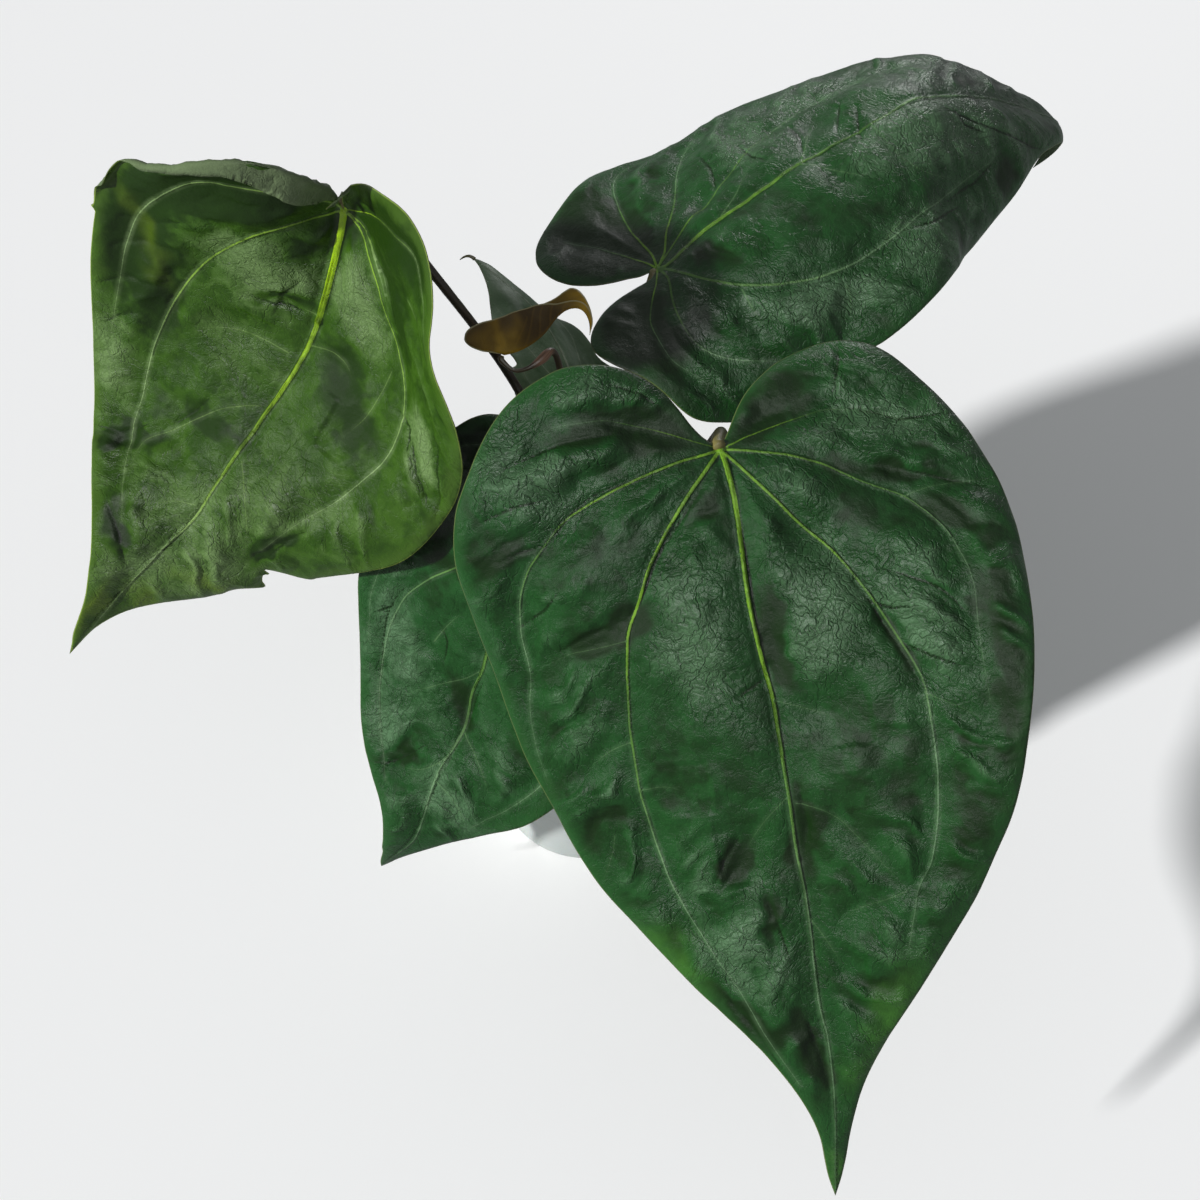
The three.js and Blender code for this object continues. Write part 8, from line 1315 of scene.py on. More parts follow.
# ---------------------------------------------------------------- leaf materials
# The first colour (deep) paints shade and the fifth paints sheen; the others are the blade's own colours.
def leaf_material(name, deep, dark, mid, light, sheen_paint, rib, rib_dull, rib_pale, under, edge_line, roughness=0.32, haze=0.0, bump=1.0, gloss=0.32, mottle=1.0, gold=None, gold_rim=False):
    m = Mat(name, roughness, gloss)
    gold = gold or tuple(v * k for v, k in zip(light, (1.9, 1.45, 0.8)))
    flat = m.attr("flat", True)
    combed = m.attr("combed", True)
    ribs = m.attr("rib")
    pale = m.attr("pale")
    strong = m.attr("strong")
    margin = m.attr("margin")
    below = m.attr("under")
    tint = m.attr("tint")
    painted_sheen_shade = m.attr("painted_sheen_shade")
    # blotches and fine cells of the blade
    mid_n = m.attr("blot")
    fine = m.noise(flat, 1.3, 3.0, 0.68)
    # thin cracks between long flat cells that follow the small veins
    cells = m.voronoi(m.scaled(combed, (0.42, 0.56, 1.0)), 1.0, "DISTANCE_TO_EDGE")
    cells2 = m.voronoi(m.scaled(combed, (0.11, 0.19, 1.0)), 1.0, "DISTANCE_TO_EDGE")
    # lit: the listed sheen and shade patches, shaken by the blotches; it steers the painted shade, the painted sheen
    # and the roughness below
    lit = m.math("ADD", painted_sheen_shade, m.math("MULTIPLY", m.math("SUBTRACT", mid_n, 0.5), 1.5))
    c = m.mix(m.ramp(mid_n, 0.36, 0.62), dark, mid)
    c = m.mix(m.math("MULTIPLY", m.ramp(fine, 0.48, 0.74), 0.55 * mottle), c, light)
    # painted shade: a deeper colour where lit is low; painted sheen: a greyer, lighter colour where lit is high
    c = m.mix(m.ramp(lit, 0.10, -0.75), c, deep)
    c = m.mix(m.math("MULTIPLY", m.ramp(lit, 0.05, 1.15), m.ramp(fine, 0.30, 0.66, 0.5, 1.0)), c, sheen_paint)
    # painted shade in the thin creases between the cells, strongest where the painted sheen is
    crease_shade_paint = m.math("MAXIMUM", m.math("MULTIPLY", m.ramp(cells, 0.10, 0.0), 0.8), m.ramp(cells2, 0.05, 0.0))
    crease_shade_paint = m.math("MULTIPLY", crease_shade_paint, m.ramp(lit, -0.1, 0.9, 0.0, 0.42 * mottle))
    c = m.mix(crease_shade_paint, c, deep)
    wob = m.math("MULTIPLY", m.math("SUBTRACT", fine, 0.5), 0.5)
    # painted shade along the blade's deep creases
    cut = m.math("ADD", m.attr("crack"), m.math("MULTIPLY", wob, 1.4))
    c = m.mix(m.ramp(cut, 0.42, -0.05, 0.0, 0.9), c, tuple(v * 0.8 for v in deep))
    # lighter and yellower towards the margin, paler beside the ribs
    m_edge = m.ramp(m.math("ADD", margin, m.math("MULTIPLY", m.math("SUBTRACT", mid_n, 0.5), 14.0)), 0.0, 6.0, 0.45, 0.0)
    c = m.mix(m_edge, c, light)
    c = m.mix(m.math("MULTIPLY", tint, m.ramp(mid_n, 0.30, 0.62, 0.45, 1.0)), c, gold)
    halo = m.math("MULTIPLY", m.ramp(ribs, 0.0, 1.7, 1.0, 0.0), m.math("MULTIPLY", m.math("MULTIPLY", pale, strong), m.ramp(mid_n, 0.35, 0.65, 0.08 + haze, 0.34 + haze)))
    c = m.mix(halo, c, rib_pale)
    # painted shade: a dark line along each side of the ribs
    shade = m.ramp(m.math("ADD", ribs, wob), 0.75, 0.15, 0.0, 0.55)
    c = m.mix(m.math("MULTIPLY", shade, m.math("MULTIPLY", strong, m.ramp(pale, 0.2, 0.8, 1.0, 0.25))), c, deep)
    line = m.ramp(m.math("ADD", ribs, wob), -0.14, 0.12, 1.0, 0.0)
    rib_c = m.mix(m.ramp(pale, 0.1, 0.4), rib, rib_dull)
    rib_c = m.mix(m.ramp(pale, 0.45, 0.9), rib_c, rib_pale)
    c = m.mix(m.math("MULTIPLY", line, m.math("MULTIPLY", strong, m.ramp(mid_n, 0.34, 0.62, 0.45, 1.0))), c, rib_c)
    rim = m.ramp(margin, 0.10, 0.36, 0.75, 0.0)
    c = m.mix(rim, c, edge_line)
    # underside
    cu = m.mix(m.ramp(fine, 0.35, 0.7), under, tuple(v * 1.25 for v in under))
    cu = m.mix(m.math("MULTIPLY", m.ramp(ribs, -0.05, 0.5, 1.0, 0.0), 0.75), cu, tuple(v * 1.9 for v in under))
    cu = m.mix(m.math("MULTIPLY", tint, m.ramp(mid_n, 0.30, 0.62, 0.6, 1.0)), cu, gold)
    c = m.mix(below, c, cu)
    c = m.mix(m.ramp(margin, 0.12, 0.55, 0.8, 0.0), c, edge_line) if gold_rim else c
    m.base(c)
    r = m.math("ADD", m.ramp(lit, -0.8, 0.5, roughness + 0.20, roughness + 0.02), m.math("MULTIPLY", m.math("SUBTRACT", fine, 0.5), 0.20))
    r = m.math("ADD", r, m.math("MULTIPLY", below, 0.2))
    m.set("Roughness", r)
    # the blade's skin: soft pebbles, with the creases pressed into it
    keep = m.ramp(painted_sheen_shade, -0.5, 0.8, 0.06, 1.0)
    h = m.math("ADD", m.math("MULTIPLY", m.ramp(cells, 0.0, 0.16), 0.45), m.math("MULTIPLY", m.ramp(cells2, 0.0, 0.07), 0.8))
    h = m.math("MULTIPLY", h, keep)
    h = m.math("ADD", h, m.math("MULTIPLY", m.noise(flat, 0.60, 4.0, 0.70), 0.85))
    m.set("Normal", m.bump(h, 0.00030 * bump, 1.0))
    return m.m


MAT_DARK = leaf_material("leaf_dark", (0.0030, 0.0175, 0.0010), (0.0055, 0.0375, 0.0058), (0.0088, 0.0540, 0.0100), (0.0175, 0.0800, 0.0160), (0.078, 0.150, 0.076), (0.15, 0.31, 0.018), (0.075, 0.175, 0.030), (0.13, 0.23, 0.115), (0.055, 0.088, 0.042), (0.10, 0.13, 0.04), roughness=0.28)
MAT_LIGHT = leaf_material("leaf_light", (0.0085, 0.0285, 0.0006), (0.017, 0.053, 0.0020), (0.030, 0.080, 0.005), (0.060, 0.126, 0.012), (0.135, 0.215, 0.078), (0.27, 0.45, 0.006), (0.18, 0.32, 0.03), (0.23, 0.34, 0.14), (0.085, 0.12, 0.055), (0.22, 0.30, 0.05), haze=0.03, roughness=0.28, bump=0.75, gloss=0.36, mottle=0.6)
MAT_DULL = leaf_material("leaf_dull", (0.050, 0.105, 0.040), (0.075, 0.140, 0.062), (0.110, 0.185, 0.095), (0.17, 0.25, 0.15), (0.34, 0.42, 0.30), (0.32, 0.42, 0.24), (0.36, 0.44, 0.28), (0.42, 0.49, 0.36), (0.090, 0.130, 0.065), (0.20, 0.24, 0.12), roughness=0.42, bump=0.4)
MAT_BRONZE = leaf_material("leaf_bronze", (0.024, 0.013, 0.0008), (0.046, 0.025, 0.0013), (0.070, 0.039, 0.0020), (0.12, 0.075, 0.0035), (0.12, 0.080, 0.010), (0.20, 0.14, 0.025), (0.20, 0.14, 0.025), (0.24, 0.18, 0.04), (0.060, 0.031, 0.0014), (0.50, 0.45, 0.24), roughness=0.40, bump=0.22, gloss=0.26, mottle=0.4, gold=(0.48, 0.28, 0.003), gold_rim=True)

blades = {}
for nm, style, mat, slot in (
    ("front", {}, MAT_DARK, "leaf_dark"),
    ("left", {"pleat_sheen_shade": 0.55, "pleat": 1.3}, MAT_LIGHT, "leaf_light"),
    ("low", {}, MAT_DARK, "leaf_dark"),
    ("back", {"pleat": 0.8, "wave": 0.5, "ribs": 1.4}, MAT_DARK, "leaf_dark"),
    ("small", {"step": 0.7, "quilt": 0.5, "swell": 0.5, "ripple": 0.2, "wave": 0.4, "droop": 0.2, "wrinkle": 0.03, "pleat": 0.25, "pleat_sheen_shade": 0.3}, MAT_DULL, "leaf_dull"),
    ("new", {"step": 0.5, "quilt": 0.12, "reach": 2.0, "swell": 0.15, "ripple": 0.08, "small": 0.03, "wave": 0.2, "droop": 0.0, "wrinkle": 0.01, "pleat": 0.05, "pleat_sheen_shade": 0.0, "thick": 0.4, "edge": 0.3, "under": 0.5}, MAT_BRONZE, "leaf_bronze"),
):
    ob, b = build_blade(nm, style, mat, slot, "leaf_" + nm)
    blades[nm] = (ob, b)
    print("piece", ob.name, "triangles", len(ob.data.polygons))

# ---------------------------------------------------------------- tubes
def curve_through(path, n):
    """n even points on a smooth curve through the path."""
    p = resample(np.asarray(path, float), 0.25)
    d = np.r_[0, np.cumsum(np.linalg.norm(np.diff(p, axis=0), axis=1))]
    for _ in range(12):
        p[1:-1] = (p[:-2] + 2 * p[1:-1] + p[2:]) / 4
    d = np.r_[0, np.cumsum(np.linalg.norm(np.diff(p, axis=0), axis=1))]
    u = np.linspace(0, d[-1], n)
    return np.stack([np.interp(u, d, p[:, k]) for k in range(3)], -1), d[-1]


def frames_along(c):
    """Tangents and two steady side directions along a curve."""
    t = np.gradient(c, axis=0)
    t /= np.linalg.norm(t, axis=1)[:, None]
    side = np.cross(t[0], [0.31, -0.83, 0.2])
    side /= np.linalg.norm(side)
    us = []
    for k in range(len(c)):
        side = side - t[k] * (side @ t[k])
        side /= np.linalg.norm(side)
        us.append(side)
    us = np.array(us)
    return t, us, np.cross(t, us)


def tube(name, path, radius, sides=20, step=1.2, seed=0, rough=0.03, caps=(True, True), ridges=0.0, ridge_count=9, squash=None):
    """A closed tube: radius(u, length) is in mm, u goes 0 to 1 along it."""
    _, length = curve_through(path, 8)
    n = max(8, int(length / step))
    c, length = curve_through(path, n)
    t, us, vs = frames_along(c)
    u = np.linspace(0, 1, n)
    r = np.array([radius(k, length) for k in u])
    w = np.arange(sides) / sides * 2 * math.pi
    uu = np.repeat(u, sides)
    ww = np.tile(w, n)
    rr = np.repeat(r, sides)
    ring = np.column_stack([np.cos(ww) * 1.3, np.sin(ww) * 1.3, uu * length / 3.2])
    rr = rr * (1 + rough * fbm(ring, 3, seed) + ridges * np.sin(ww * ridge_count + 1.5 * noise(np.column_stack([uu * length / 25, uu * 0, uu * 0]), seed + 3)))
    P = np.repeat(c, sides, axis=0) + np.repeat(us, sides, axis=0) * (np.cos(ww) * rr)[:, None] + np.repeat(vs, sides, axis=0) * (np.sin(ww) * rr)[:, None]
    faces = []
    k = np.arange(n - 1)[:, None] * sides
    j = np.arange(sides)[None]
    j2 = (j + 1) % sides
    quads = np.stack([k + j, k + j2, k + sides + j2, k + sides + j], -1).reshape(-1, 4)
    faces = quads.tolist()
    pts = [P]
    count = len(P)
    vals_u, vals_w = [uu * length], [ww]
    for end, sign in ((0, -1), (n - 1, 1)):
        # a rounded cap
        prev = [end * sides + q for q in range(sides)]
        for f, lift in ((0.8, 0.45), (0.45, 0.8)):
            q = c[end] + us[end] * 0
            ringp = c[end] + t[end] * sign * r[end] * lift * 0.5 + f * (P[end * sides:(end + 1) * sides] - c[end])
            pts.append(ringp)
            vals_u.append(np.full(sides, u[end] * length))
            vals_w.append(w)
            cur = [count + q for q in range(sides)]
            for q in range(sides):
                q2 = (q + 1) % sides
                faces.append([prev[q], prev[q2], cur[q2], cur[q]] if sign > 0 else [prev[q2], prev[q], cur[q], cur[q2]])
            prev = cur
            count += sides
        pts.append((c[end] + t[end] * sign * r[end] * 0.47)[None])
        vals_u.append(np.array([u[end] * length]))
        vals_w.append(np.array([0.0]))
        for q in range(sides):
            q2 = (q + 1) % sides
            faces.append([prev[q], prev[q2], count] if sign > 0 else [prev[q2], prev[q], count])
        count += 1
    P = np.concatenate(pts)
    along = np.concatenate(vals_u)
    ang = np.concatenate(vals_w)
    ob = make(name, P, faces, {"along": along, "left": length - along}, vectors={"flat": np.column_stack([np.cos(ang) * 2.2, np.sin(ang) * 2.2, along])})
    return ob


def profile(points):
    """A smooth function of u from a few (u, value) pairs."""
    x = np.array([q[0] for q in points])
    y = np.array([q[1] for q in points])

    def f(u):
        k = int(np.clip(np.searchsorted(x, u) - 1, 0, len(x) - 2))
        t = (u - x[k]) / (x[k + 1] - x[k])
        t = t * t * (3 - 2 * t)
        return y[k] + (y[k + 1] - y[k]) * t

    return f


def lathe(points, sides):
    """Quads round the axis from a profile of (r, z); the ends close on the axis if r is 0."""
    pts, faces = [], []
    w = np.arange(sides) / sides * 2 * math.pi
    rings = []
    for r, z in points:
        if r < 1e-6:
            rings.append([len(pts)])
            pts.append((0, 0, z))
        else:
            rings.append(list(range(len(pts), len(pts) + sides)))
            pts += [(r * math.cos(a), r * math.sin(a), z) for a in w]
    for a, b in zip(rings[:-1], rings[1:]):
        for k in range(sides):
            k2 = (k + 1) % sides
            if len(a) == 1 and len(b) == 1:
                continue
            if len(a) == 1:
                faces.append([a[0], b[k2], b[k]])
            elif len(b) == 1:
                faces.append([a[k], a[k2], b[0]])
            else:
                faces.append([a[k], a[k2], b[k2], b[k]])
    return np.array(pts, float), faces


# ---------------------------------------------------------------- stalks
def stalk_material(name, dark, brown, green, top, roughness=0.38, knob=None):
    m = Mat(name, roughness, 0.5)
    flat = m.attr("flat", True)
    left = m.attr("left")
    along = m.attr("along")
    streak = m.noise(m.scaled(flat, (1.0, 1.0, 0.06)), 1.6, 4.0, 0.65)
    blot = m.noise(m.scaled(flat, (0.5, 0.5, 0.12)), 0.5, 3.0, 0.6)
    c = m.mix(m.ramp(streak, 0.36, 0.66), dark, brown)
    c = m.mix(m.math("MULTIPLY", m.ramp(blot, 0.48, 0.72), 0.6), c, green)
    # the knuckle under the blade is lighter
    k = m.ramp(left, 4.0, 17.0, 0.8, 0.0)
    c = m.mix(k, c, top)
    if knob:
        k = m.math("MULTIPLY", m.ramp(left, 12.5, 16.0), m.ramp(left, 24.0, 20.5))
        c = m.mix(k, c, m.mix(m.ramp(streak, 0.4, 0.6), knob, tuple(v * 0.55 for v in knob)))
    speck = m.voronoi(flat, 0.9, "F1")
    c = m.mix(m.math("MULTIPLY", m.ramp(speck, 0.10, 0.16, 1.0, 0.0), 0.35), c, tuple(v * 2.2 + 0.02 for v in brown))
    m.base(c)
    m.set("Roughness", m.math("ADD", roughness - 0.06, m.math("MULTIPLY", blot, 0.2)))
    h = m.math("ADD", m.math("MULTIPLY", streak, 0.7), m.math("MULTIPLY", m.noise(m.scaled(flat, (1, 1, 0.5)), 3.0, 2.0), 0.3))
    m.set("Normal", m.bump(h, 0.00016))
    return m.m


MAT_STALK = stalk_material("stalk", (0.018, 0.011, 0.0045), (0.046, 0.028, 0.011), (0.034, 0.034, 0.010), (0.17, 0.15, 0.045))
MAT_STALK_NEW = stalk_material("stalk_new", (0.034, 0.020, 0.004), (0.062, 0.036, 0.008), (0.070, 0.048, 0.010), (0.075, 0.048, 0.010), roughness=0.34, knob=(0.30, 0.15, 0.085))

for nm, st in STALKS.items():
    ob_b, bl = blades[nm]
    S, N, Sa, Sb = bl.at(np.array([[0.0, 0.0], [0.0, bl.length * 0.015]]))
    b_dir = (S[1] - S[0]) / np.linalg.norm(S[1] - S[0])
    path = [list(p) for p in st["path"]]
    end = np.array(path[-1])
    path.append(list(end * 0.35 + (S[0] - 0.9 * N[0]) * 0.65))
    radii = st["radii"]
    big = {"front": 2.5, "left": 2.2, "low": 2.1, "back": 2.3, "small": 1.4, "new": 1.25}[nm]
    knuckle = {"front": 15.0, "left": 15.0, "low": 13.0, "back": 14.0, "small": 8.0, "new": 5.0}[nm]
    base_r = radii[0]

    def radius(u, length, radii=radii, big=big, knuckle=knuckle, base_r=base_r):
        x = u * (len(radii) - 1)
        i = min(int(x), len(radii) - 2)
        r = radii[i] + (radii[i + 1] - radii[i]) * (x - i)
        left = (1 - u) * length
        k = math.exp(-((left - knuckle * 0.42) / (knuckle * 0.40)) ** 4)
        r = max(r * (1 - 0.12 * math.exp(-((left - knuckle * 1.25) / 4.0) ** 2)), r + (big - r) * k)
        r *= 1 + 0.35 * math.exp(-((u * length) / 9.0) ** 2) * (0 if base_r < 1.65 else 1)
        if big < 1.3:
            # the new leaf's thin stalk is thicker at its bend
            r *= 1 - 0.36 * math.exp(-((left - 7.5) / 6.5) ** 4) + 0.55 * math.exp(-((left - 18.5) / 3.6) ** 2)
        return r

    ob = tube("petiole_" + nm + "_stalk", path, radius, sides=20, step=1.1, seed=sum(map(ord, nm)) % 40, rough=0.025, ridges=0.012, ridge_count=7)
    put(ob, MAT_STALK_NEW if nm == "new" else MAT_STALK, "stalk", ("petiole_" + nm,))

# the small leaf ends in a thin hooked tip
tip = blades["small"][1].at(np.array([[0.0, blades["small"][1].length - 1.0]]))[0][0]
hook = [tip, tip + (-1.6, 0.6, 0.9), tip + (-3.6, 0.5, 0.8), tip + (-5.6, -0.1, -0.3)]
ob = tube("leaf_small_hook", [list(v) for v in hook], lambda u, length: 0.62 * (1 - u) ** 0.8 + 0.14, sides=10, step=0.4, seed=4, rough=0.02, ridges=0.0, ridge_count=5)
put(ob, MAT_STALK, "stalk", ("leaf_small",))

# ---------------------------------------------------------------- stem with leaf scars
STEM_R, STEM_Y, STEM_TOP, SOIL = 7.5, 3.0, 112.0, 77.8


def stem_at(z):
    return STEM_R if z < 100 else STEM_R - 2.2 * ((z - 100) / (STEM_TOP - 100)) ** 2


def make_stem():
    sides, rows = 72, 96
    z = np.linspace(SOIL + 0.2, STEM_TOP - 1.5, rows)
    w = np.arange(sides) / sides * 2 * math.pi
    Z, W = np.meshgrid(z, w, indexing="ij")
    zz, ww = Z.ravel(), W.ravel()
    r = np.array([stem_at(v) for v in zz])
    q = np.column_stack([np.cos(ww) * 3, np.sin(ww) * 3, zz / 4.0])
    # rings where older leaves stood, each a little tilted
    rings = np.zeros(len(zz))
    for k, (z0, tilt, turn) in enumerate(((83, 0.8, 0.3), (88.5, 0.9, 2.1), (94, 0.8, 4.0), (99.5, 0.9, 5.4), (105, 0.7, 1.2))):
        c = z0 + tilt * np.cos(ww - turn)
        rings += 0.55 * np.exp(-((zz - c) / 0.55) ** 2) - 0.45 * np.exp(-((zz - c - 1.3) / 0.6) ** 2)
    r = r + rings * 0.8 + 0.35 * fbm(q, 3, 5) - 0.25
    r[zz < SOIL + 3] += 0.3
    P = np.column_stack([np.cos(ww) * r, STEM_Y + np.sin(ww) * r, zz])
    faces = []
    for i in range(rows - 1):
        for j in range(sides):
            j2 = (j + 1) % sides
            faces.append([i * sides + j, i * sides + j2, (i + 1) * sides + j2, (i + 1) * sides + j])
    n = len(P)
    top = []
    prev = [(rows - 1) * sides + j for j in range(sides)]
    for f, dz in ((0.82, 0.7), (0.5, 1.2), (0.2, 1.45)):
        ring = np.array([[P[(rows - 1) * sides + j][0] * f, STEM_Y + (P[(rows - 1) * sides + j][1] - STEM_Y) * f, z[-1] + dz] for j in range(sides)])
        cur = [n + len(top) * sides + j for j in range(sides)]
        top.append(ring)
        for j in range(sides):
            j2 = (j + 1) % sides
            faces.append([prev[j], prev[j2], cur[j2], cur[j]])
        prev = cur
    P = np.concatenate([P] + top)
    faces.append(prev)
    faces.append([j for j in range(sides)][::-1])
    wv = np.concatenate([ww] + [w] * 3)
    ob = make("stem_body", P, faces, vectors={"flat": np.column_stack([np.cos(wv) * 7.5, np.sin(wv) * 7.5, P[:, 2]])})
    m = Mat("stem", 0.75, 0.35)
    flat = m.attr("flat", True)
    fibre = m.noise(m.scaled(flat, (1, 1, 0.25)), 0.9, 5.0, 0.7)
    rings_n = m.noise(m.scaled(flat, (0.25, 0.25, 1.6)), 0.7, 4.0, 0.6)
    c = m.mix(m.ramp(fibre, 0.35, 0.68), (0.020, 0.013, 0.006), (0.085, 0.055, 0.026))
    c = m.mix(m.math("MULTIPLY", m.ramp(rings_n, 0.45, 0.7), 0.7), c, (0.055, 0.060, 0.022))
    m.base(c)
    m.set("Normal", m.bump(m.math("ADD", fibre, rings_n), 0.0005))
    put(ob, m.m, "stem", ("stem",))


make_stem()

# ---------------------------------------------------------------- papery sheaths round the stem
def sheath(name, deg, half, z0, height, lean, seed):
    across, up = 40, 44
    sides = []
    for skin in (0, 1):
        i, j = np.meshgrid(np.arange(up + 1), np.arange(across + 1), indexing="ij")
        t = (i / up).ravel()
        v = (j / across * 2 - 1).ravel()
        width = half * (1 - t ** 2.2) + 0.03
        fray = 1 - 0.06 * np.abs(noise(np.column_stack([v * 9, t * 1.5]), seed)) * t
        w = np.radians(deg + width * v + 1.2 * noise(np.column_stack([t * 3, v * 0.5]), seed + 2))
        q = np.column_stack([v * 7.0, t * 2.2])
        r = STEM_R + 1.25 + lean * t * t + 0.30 * fbm(q, 2, seed + 4) * (0.3 + t) + 0.12 * np.sin(v * 26 + 2 * noise(q, seed)) + 0.9 * t * v * v
        r = r + (0.32 if skin else 0.0)
        z = z0 + height * t * fray
        sides.append(np.column_stack([np.cos(w) * r, STEM_Y + np.sin(w) * r, z]))
    P = np.concatenate(sides)
    row = across + 1
    skin = row * (up + 1)
    faces = []
    for a in range(up):
        for b in range(across):
            k = a * row + b
            faces.append([k, k + row, k + row + 1, k + 1])
            faces.append([skin + k, skin + k + 1, skin + k + row + 1, skin + k + row])
        k, l = a * row, a * row + across
        faces.append([k, skin + k, skin + k + row, k + row])
        faces.append([l, l + row, skin + l + row, skin + l])
    for b in range(across):
        faces.append([b, b + 1, skin + b + 1, skin + b])
        k = up * row + b
        faces.append([k, skin + k, skin + k + 1, k + 1])
    t = np.tile(np.repeat(np.arange(up + 1) / up, row), 2)
    v = np.tile(np.tile(np.arange(row) / across * 2 - 1, up + 1), 2)
    ob = make(name + "_paper", P, faces, vectors={"flat": np.column_stack([v * half * 0.15, t * height, np.repeat([0.0, 5.0], len(sides[0]))])})
    return ob


def sheath_material():
    m = Mat("sheath", 0.8, 0.3)
    flat = m.attr("flat", True)
    fibre = m.noise(m.scaled(flat, (1.0, 0.07, 1.0)), 2.6, 5.0, 0.7)
    blot = m.noise(flat, 0.25, 3.0)
    c = m.mix(m.ramp(fibre, 0.34, 0.66), (0.075, 0.038, 0.017), (0.26, 0.155, 0.078))
    c = m.mix(m.math("MULTIPLY", m.ramp(blot, 0.5, 0.75), 0.6), c, (0.06, 0.032, 0.016))
    m.base(c)
    m.set("Normal", m.bump(fibre, 0.0004))
    return m.m


MAT_SHEATH = sheath_material()
for nm, args in (("cataphyll_1", (255, 30, 84.6, 24, 3.0, 3)), ("cataphyll_2", (308, 20, 84.6, 21, 2.2, 9)), ("cataphyll_3", (168, 14, 82, 24, 2.6, 14))):
    put(sheath(nm, *args), MAT_SHEATH, "sheath", (nm,))

# ---------------------------------------------------------------- roots
def soil_at(r):
    return 77.8 - 0.4 * (r / 24) if r < 24 else 77.4 - (r - 24) / 14 if r < 38 else 76.4


def root_material():
    m = Mat("root", 0.7, 0.35)
    flat = m.attr("flat", True)
    n1 = m.noise(m.scaled(flat, (1, 1, 0.5)), 1.2, 4.0, 0.65)
    c = m.mix(m.ramp(n1, 0.35, 0.7), (0.085, 0.060, 0.032), (0.25, 0.20, 0.125))
    c = m.mix(m.ramp(m.attr("left"), 0.0, 4.0, 0.7, 0.0), c, (0.10, 0.13, 0.05))
    m.base(c)
    m.set("Normal", m.bump(n1, 0.0004))
    return m.m


MAT_ROOT = root_material()
for nm, deg, z, reach, r in (("root_1", 232, 81.6, 24, 1.5), ("root_2", 283, 81.4, 21, 1.4), ("root_3", 20, 81.6, 23, 1.5)):
    w = math.radians(deg)
    at = lambda d, h: [math.cos(w) * d, STEM_Y + math.sin(w) * d, h]
    start = STEM_R + 1.45
    low = soil_at(reach) + r + 0.6
    path = [at(start - 1.6, z), at(start + 3, z + 0.6), at((start + reach) * 0.55, z - 0.3), at(reach - 3, low + 0.8), at(reach + 0.6, low - 0.9)]
    ob = tube(nm + "_aerial", path, lambda u, length, r=r: r * (1.12 - 0.22 * u) * (1 - 0.35 * max(0, u - 0.85) / 0.15), sides=18, step=0.6, seed=deg, rough=0.09)
    put(ob, MAT_ROOT, "root", (nm,))

# ---------------------------------------------------------------- potting mix
POT_H, POT_R0, POT_R1, RIM_R, RIM_H, WALL = 88.0, 38.0, 49.5, 53.0, 12.0, 1.5


def wall_at(z):
    return POT_R0 + (POT_R1 - POT_R0) * (z / POT_H)


def make_mix():
    sides = 150
    radii = np.linspace(0, wall_at(76) - WALL - 0.9, 56)[1:]
    w = np.arange(sides) / sides * 2 * math.pi
    R, W = np.meshgrid(radii, w, indexing="ij")
    x, y = (R * np.cos(W)).ravel(), (R * np.sin(W)).ravel()
    q = np.column_stack([x, y])
    z = np.array([soil_at(v) for v in R.ravel()]) - 0.9
    z = z + 1.1 * fbm(q / 6.0, 3, 31) + 0.5 * fbm(q / 1.9, 2, 37)
    near_stem = np.hypot(x, y - STEM_Y)
    z = np.where(R.ravel() > wall_at(76) - 4, z - 0.5, z)
    top = np.column_stack([x, y, z])
    pts = [top]
    n = len(top)
    faces = []
    for i in range(len(radii) - 1):
        for j in range(sides):
            j2 = (j + 1) % sides
            faces.append([i * sides + j, (i + 1) * sides + j, (i + 1) * sides + j2, i * sides + j2])
    faces.append(list(range(sides)))
    # walls and underside
    prev = [(len(radii) - 1) * sides + j for j in range(sides)]
    for r, zz in ((wall_at(60) - WALL - 0.8, 60), (wall_at(3) - WALL - 1.0, 3.4), (POT_R0 - 4, 1.9)):
        cur = [n + j for j in range(sides)]
        pts.append(np.column_stack([r * np.cos(w), r * np.sin(w), np.full(sides, zz)]))
        n += sides
        for j in range(sides):
            j2 = (j + 1) % sides
            faces.append([prev[j], cur[j], cur[j2], prev[j2]])
        prev = cur
    faces.append(prev[::-1])
    return make("substrate_mix", np.concatenate(pts), faces)


def coord(m):
    """Place on the object in millimetres."""
    o = m.node("ShaderNodeTexCoord").outputs["Object"]
    return m.scaled(o, 1000.0)


def mix_material():
    m = Mat("mix", 0.92, 0.2)
    q = coord(m)
    n1 = m.noise(q, 0.8, 6.0, 0.7)
    n2 = m.noise(q, 0.22, 3.0)
    c = m.mix(m.ramp(n1, 0.35, 0.68), (0.008, 0.005, 0.003), (0.060, 0.036, 0.020))
    c = m.mix(m.math("MULTIPLY", m.ramp(n2, 0.5, 0.7), 0.5), c, (0.030, 0.022, 0.014))
    m.base(c)
    m.set("Normal", m.bump(n1, 0.0012))
    return m.m


def bark_material():
    m = Mat("bark", 0.85, 0.25)
    q = coord(m)
    layer = m.noise(m.scaled(q, (0.35, 1.0, 1.6)), 0.9, 5.0, 0.7)
    n2 = m.noise(q, 0.35, 3.0)
    c = m.mix(m.ramp(layer, 0.34, 0.68), (0.022, 0.010, 0.005), (0.125, 0.062, 0.030))
    c = m.mix(m.math("MULTIPLY", m.ramp(n2, 0.45, 0.7), 0.55), c, (0.065, 0.040, 0.024))
    m.base(c)
    m.set("Normal", m.bump(layer, 0.0009))
    return m.m


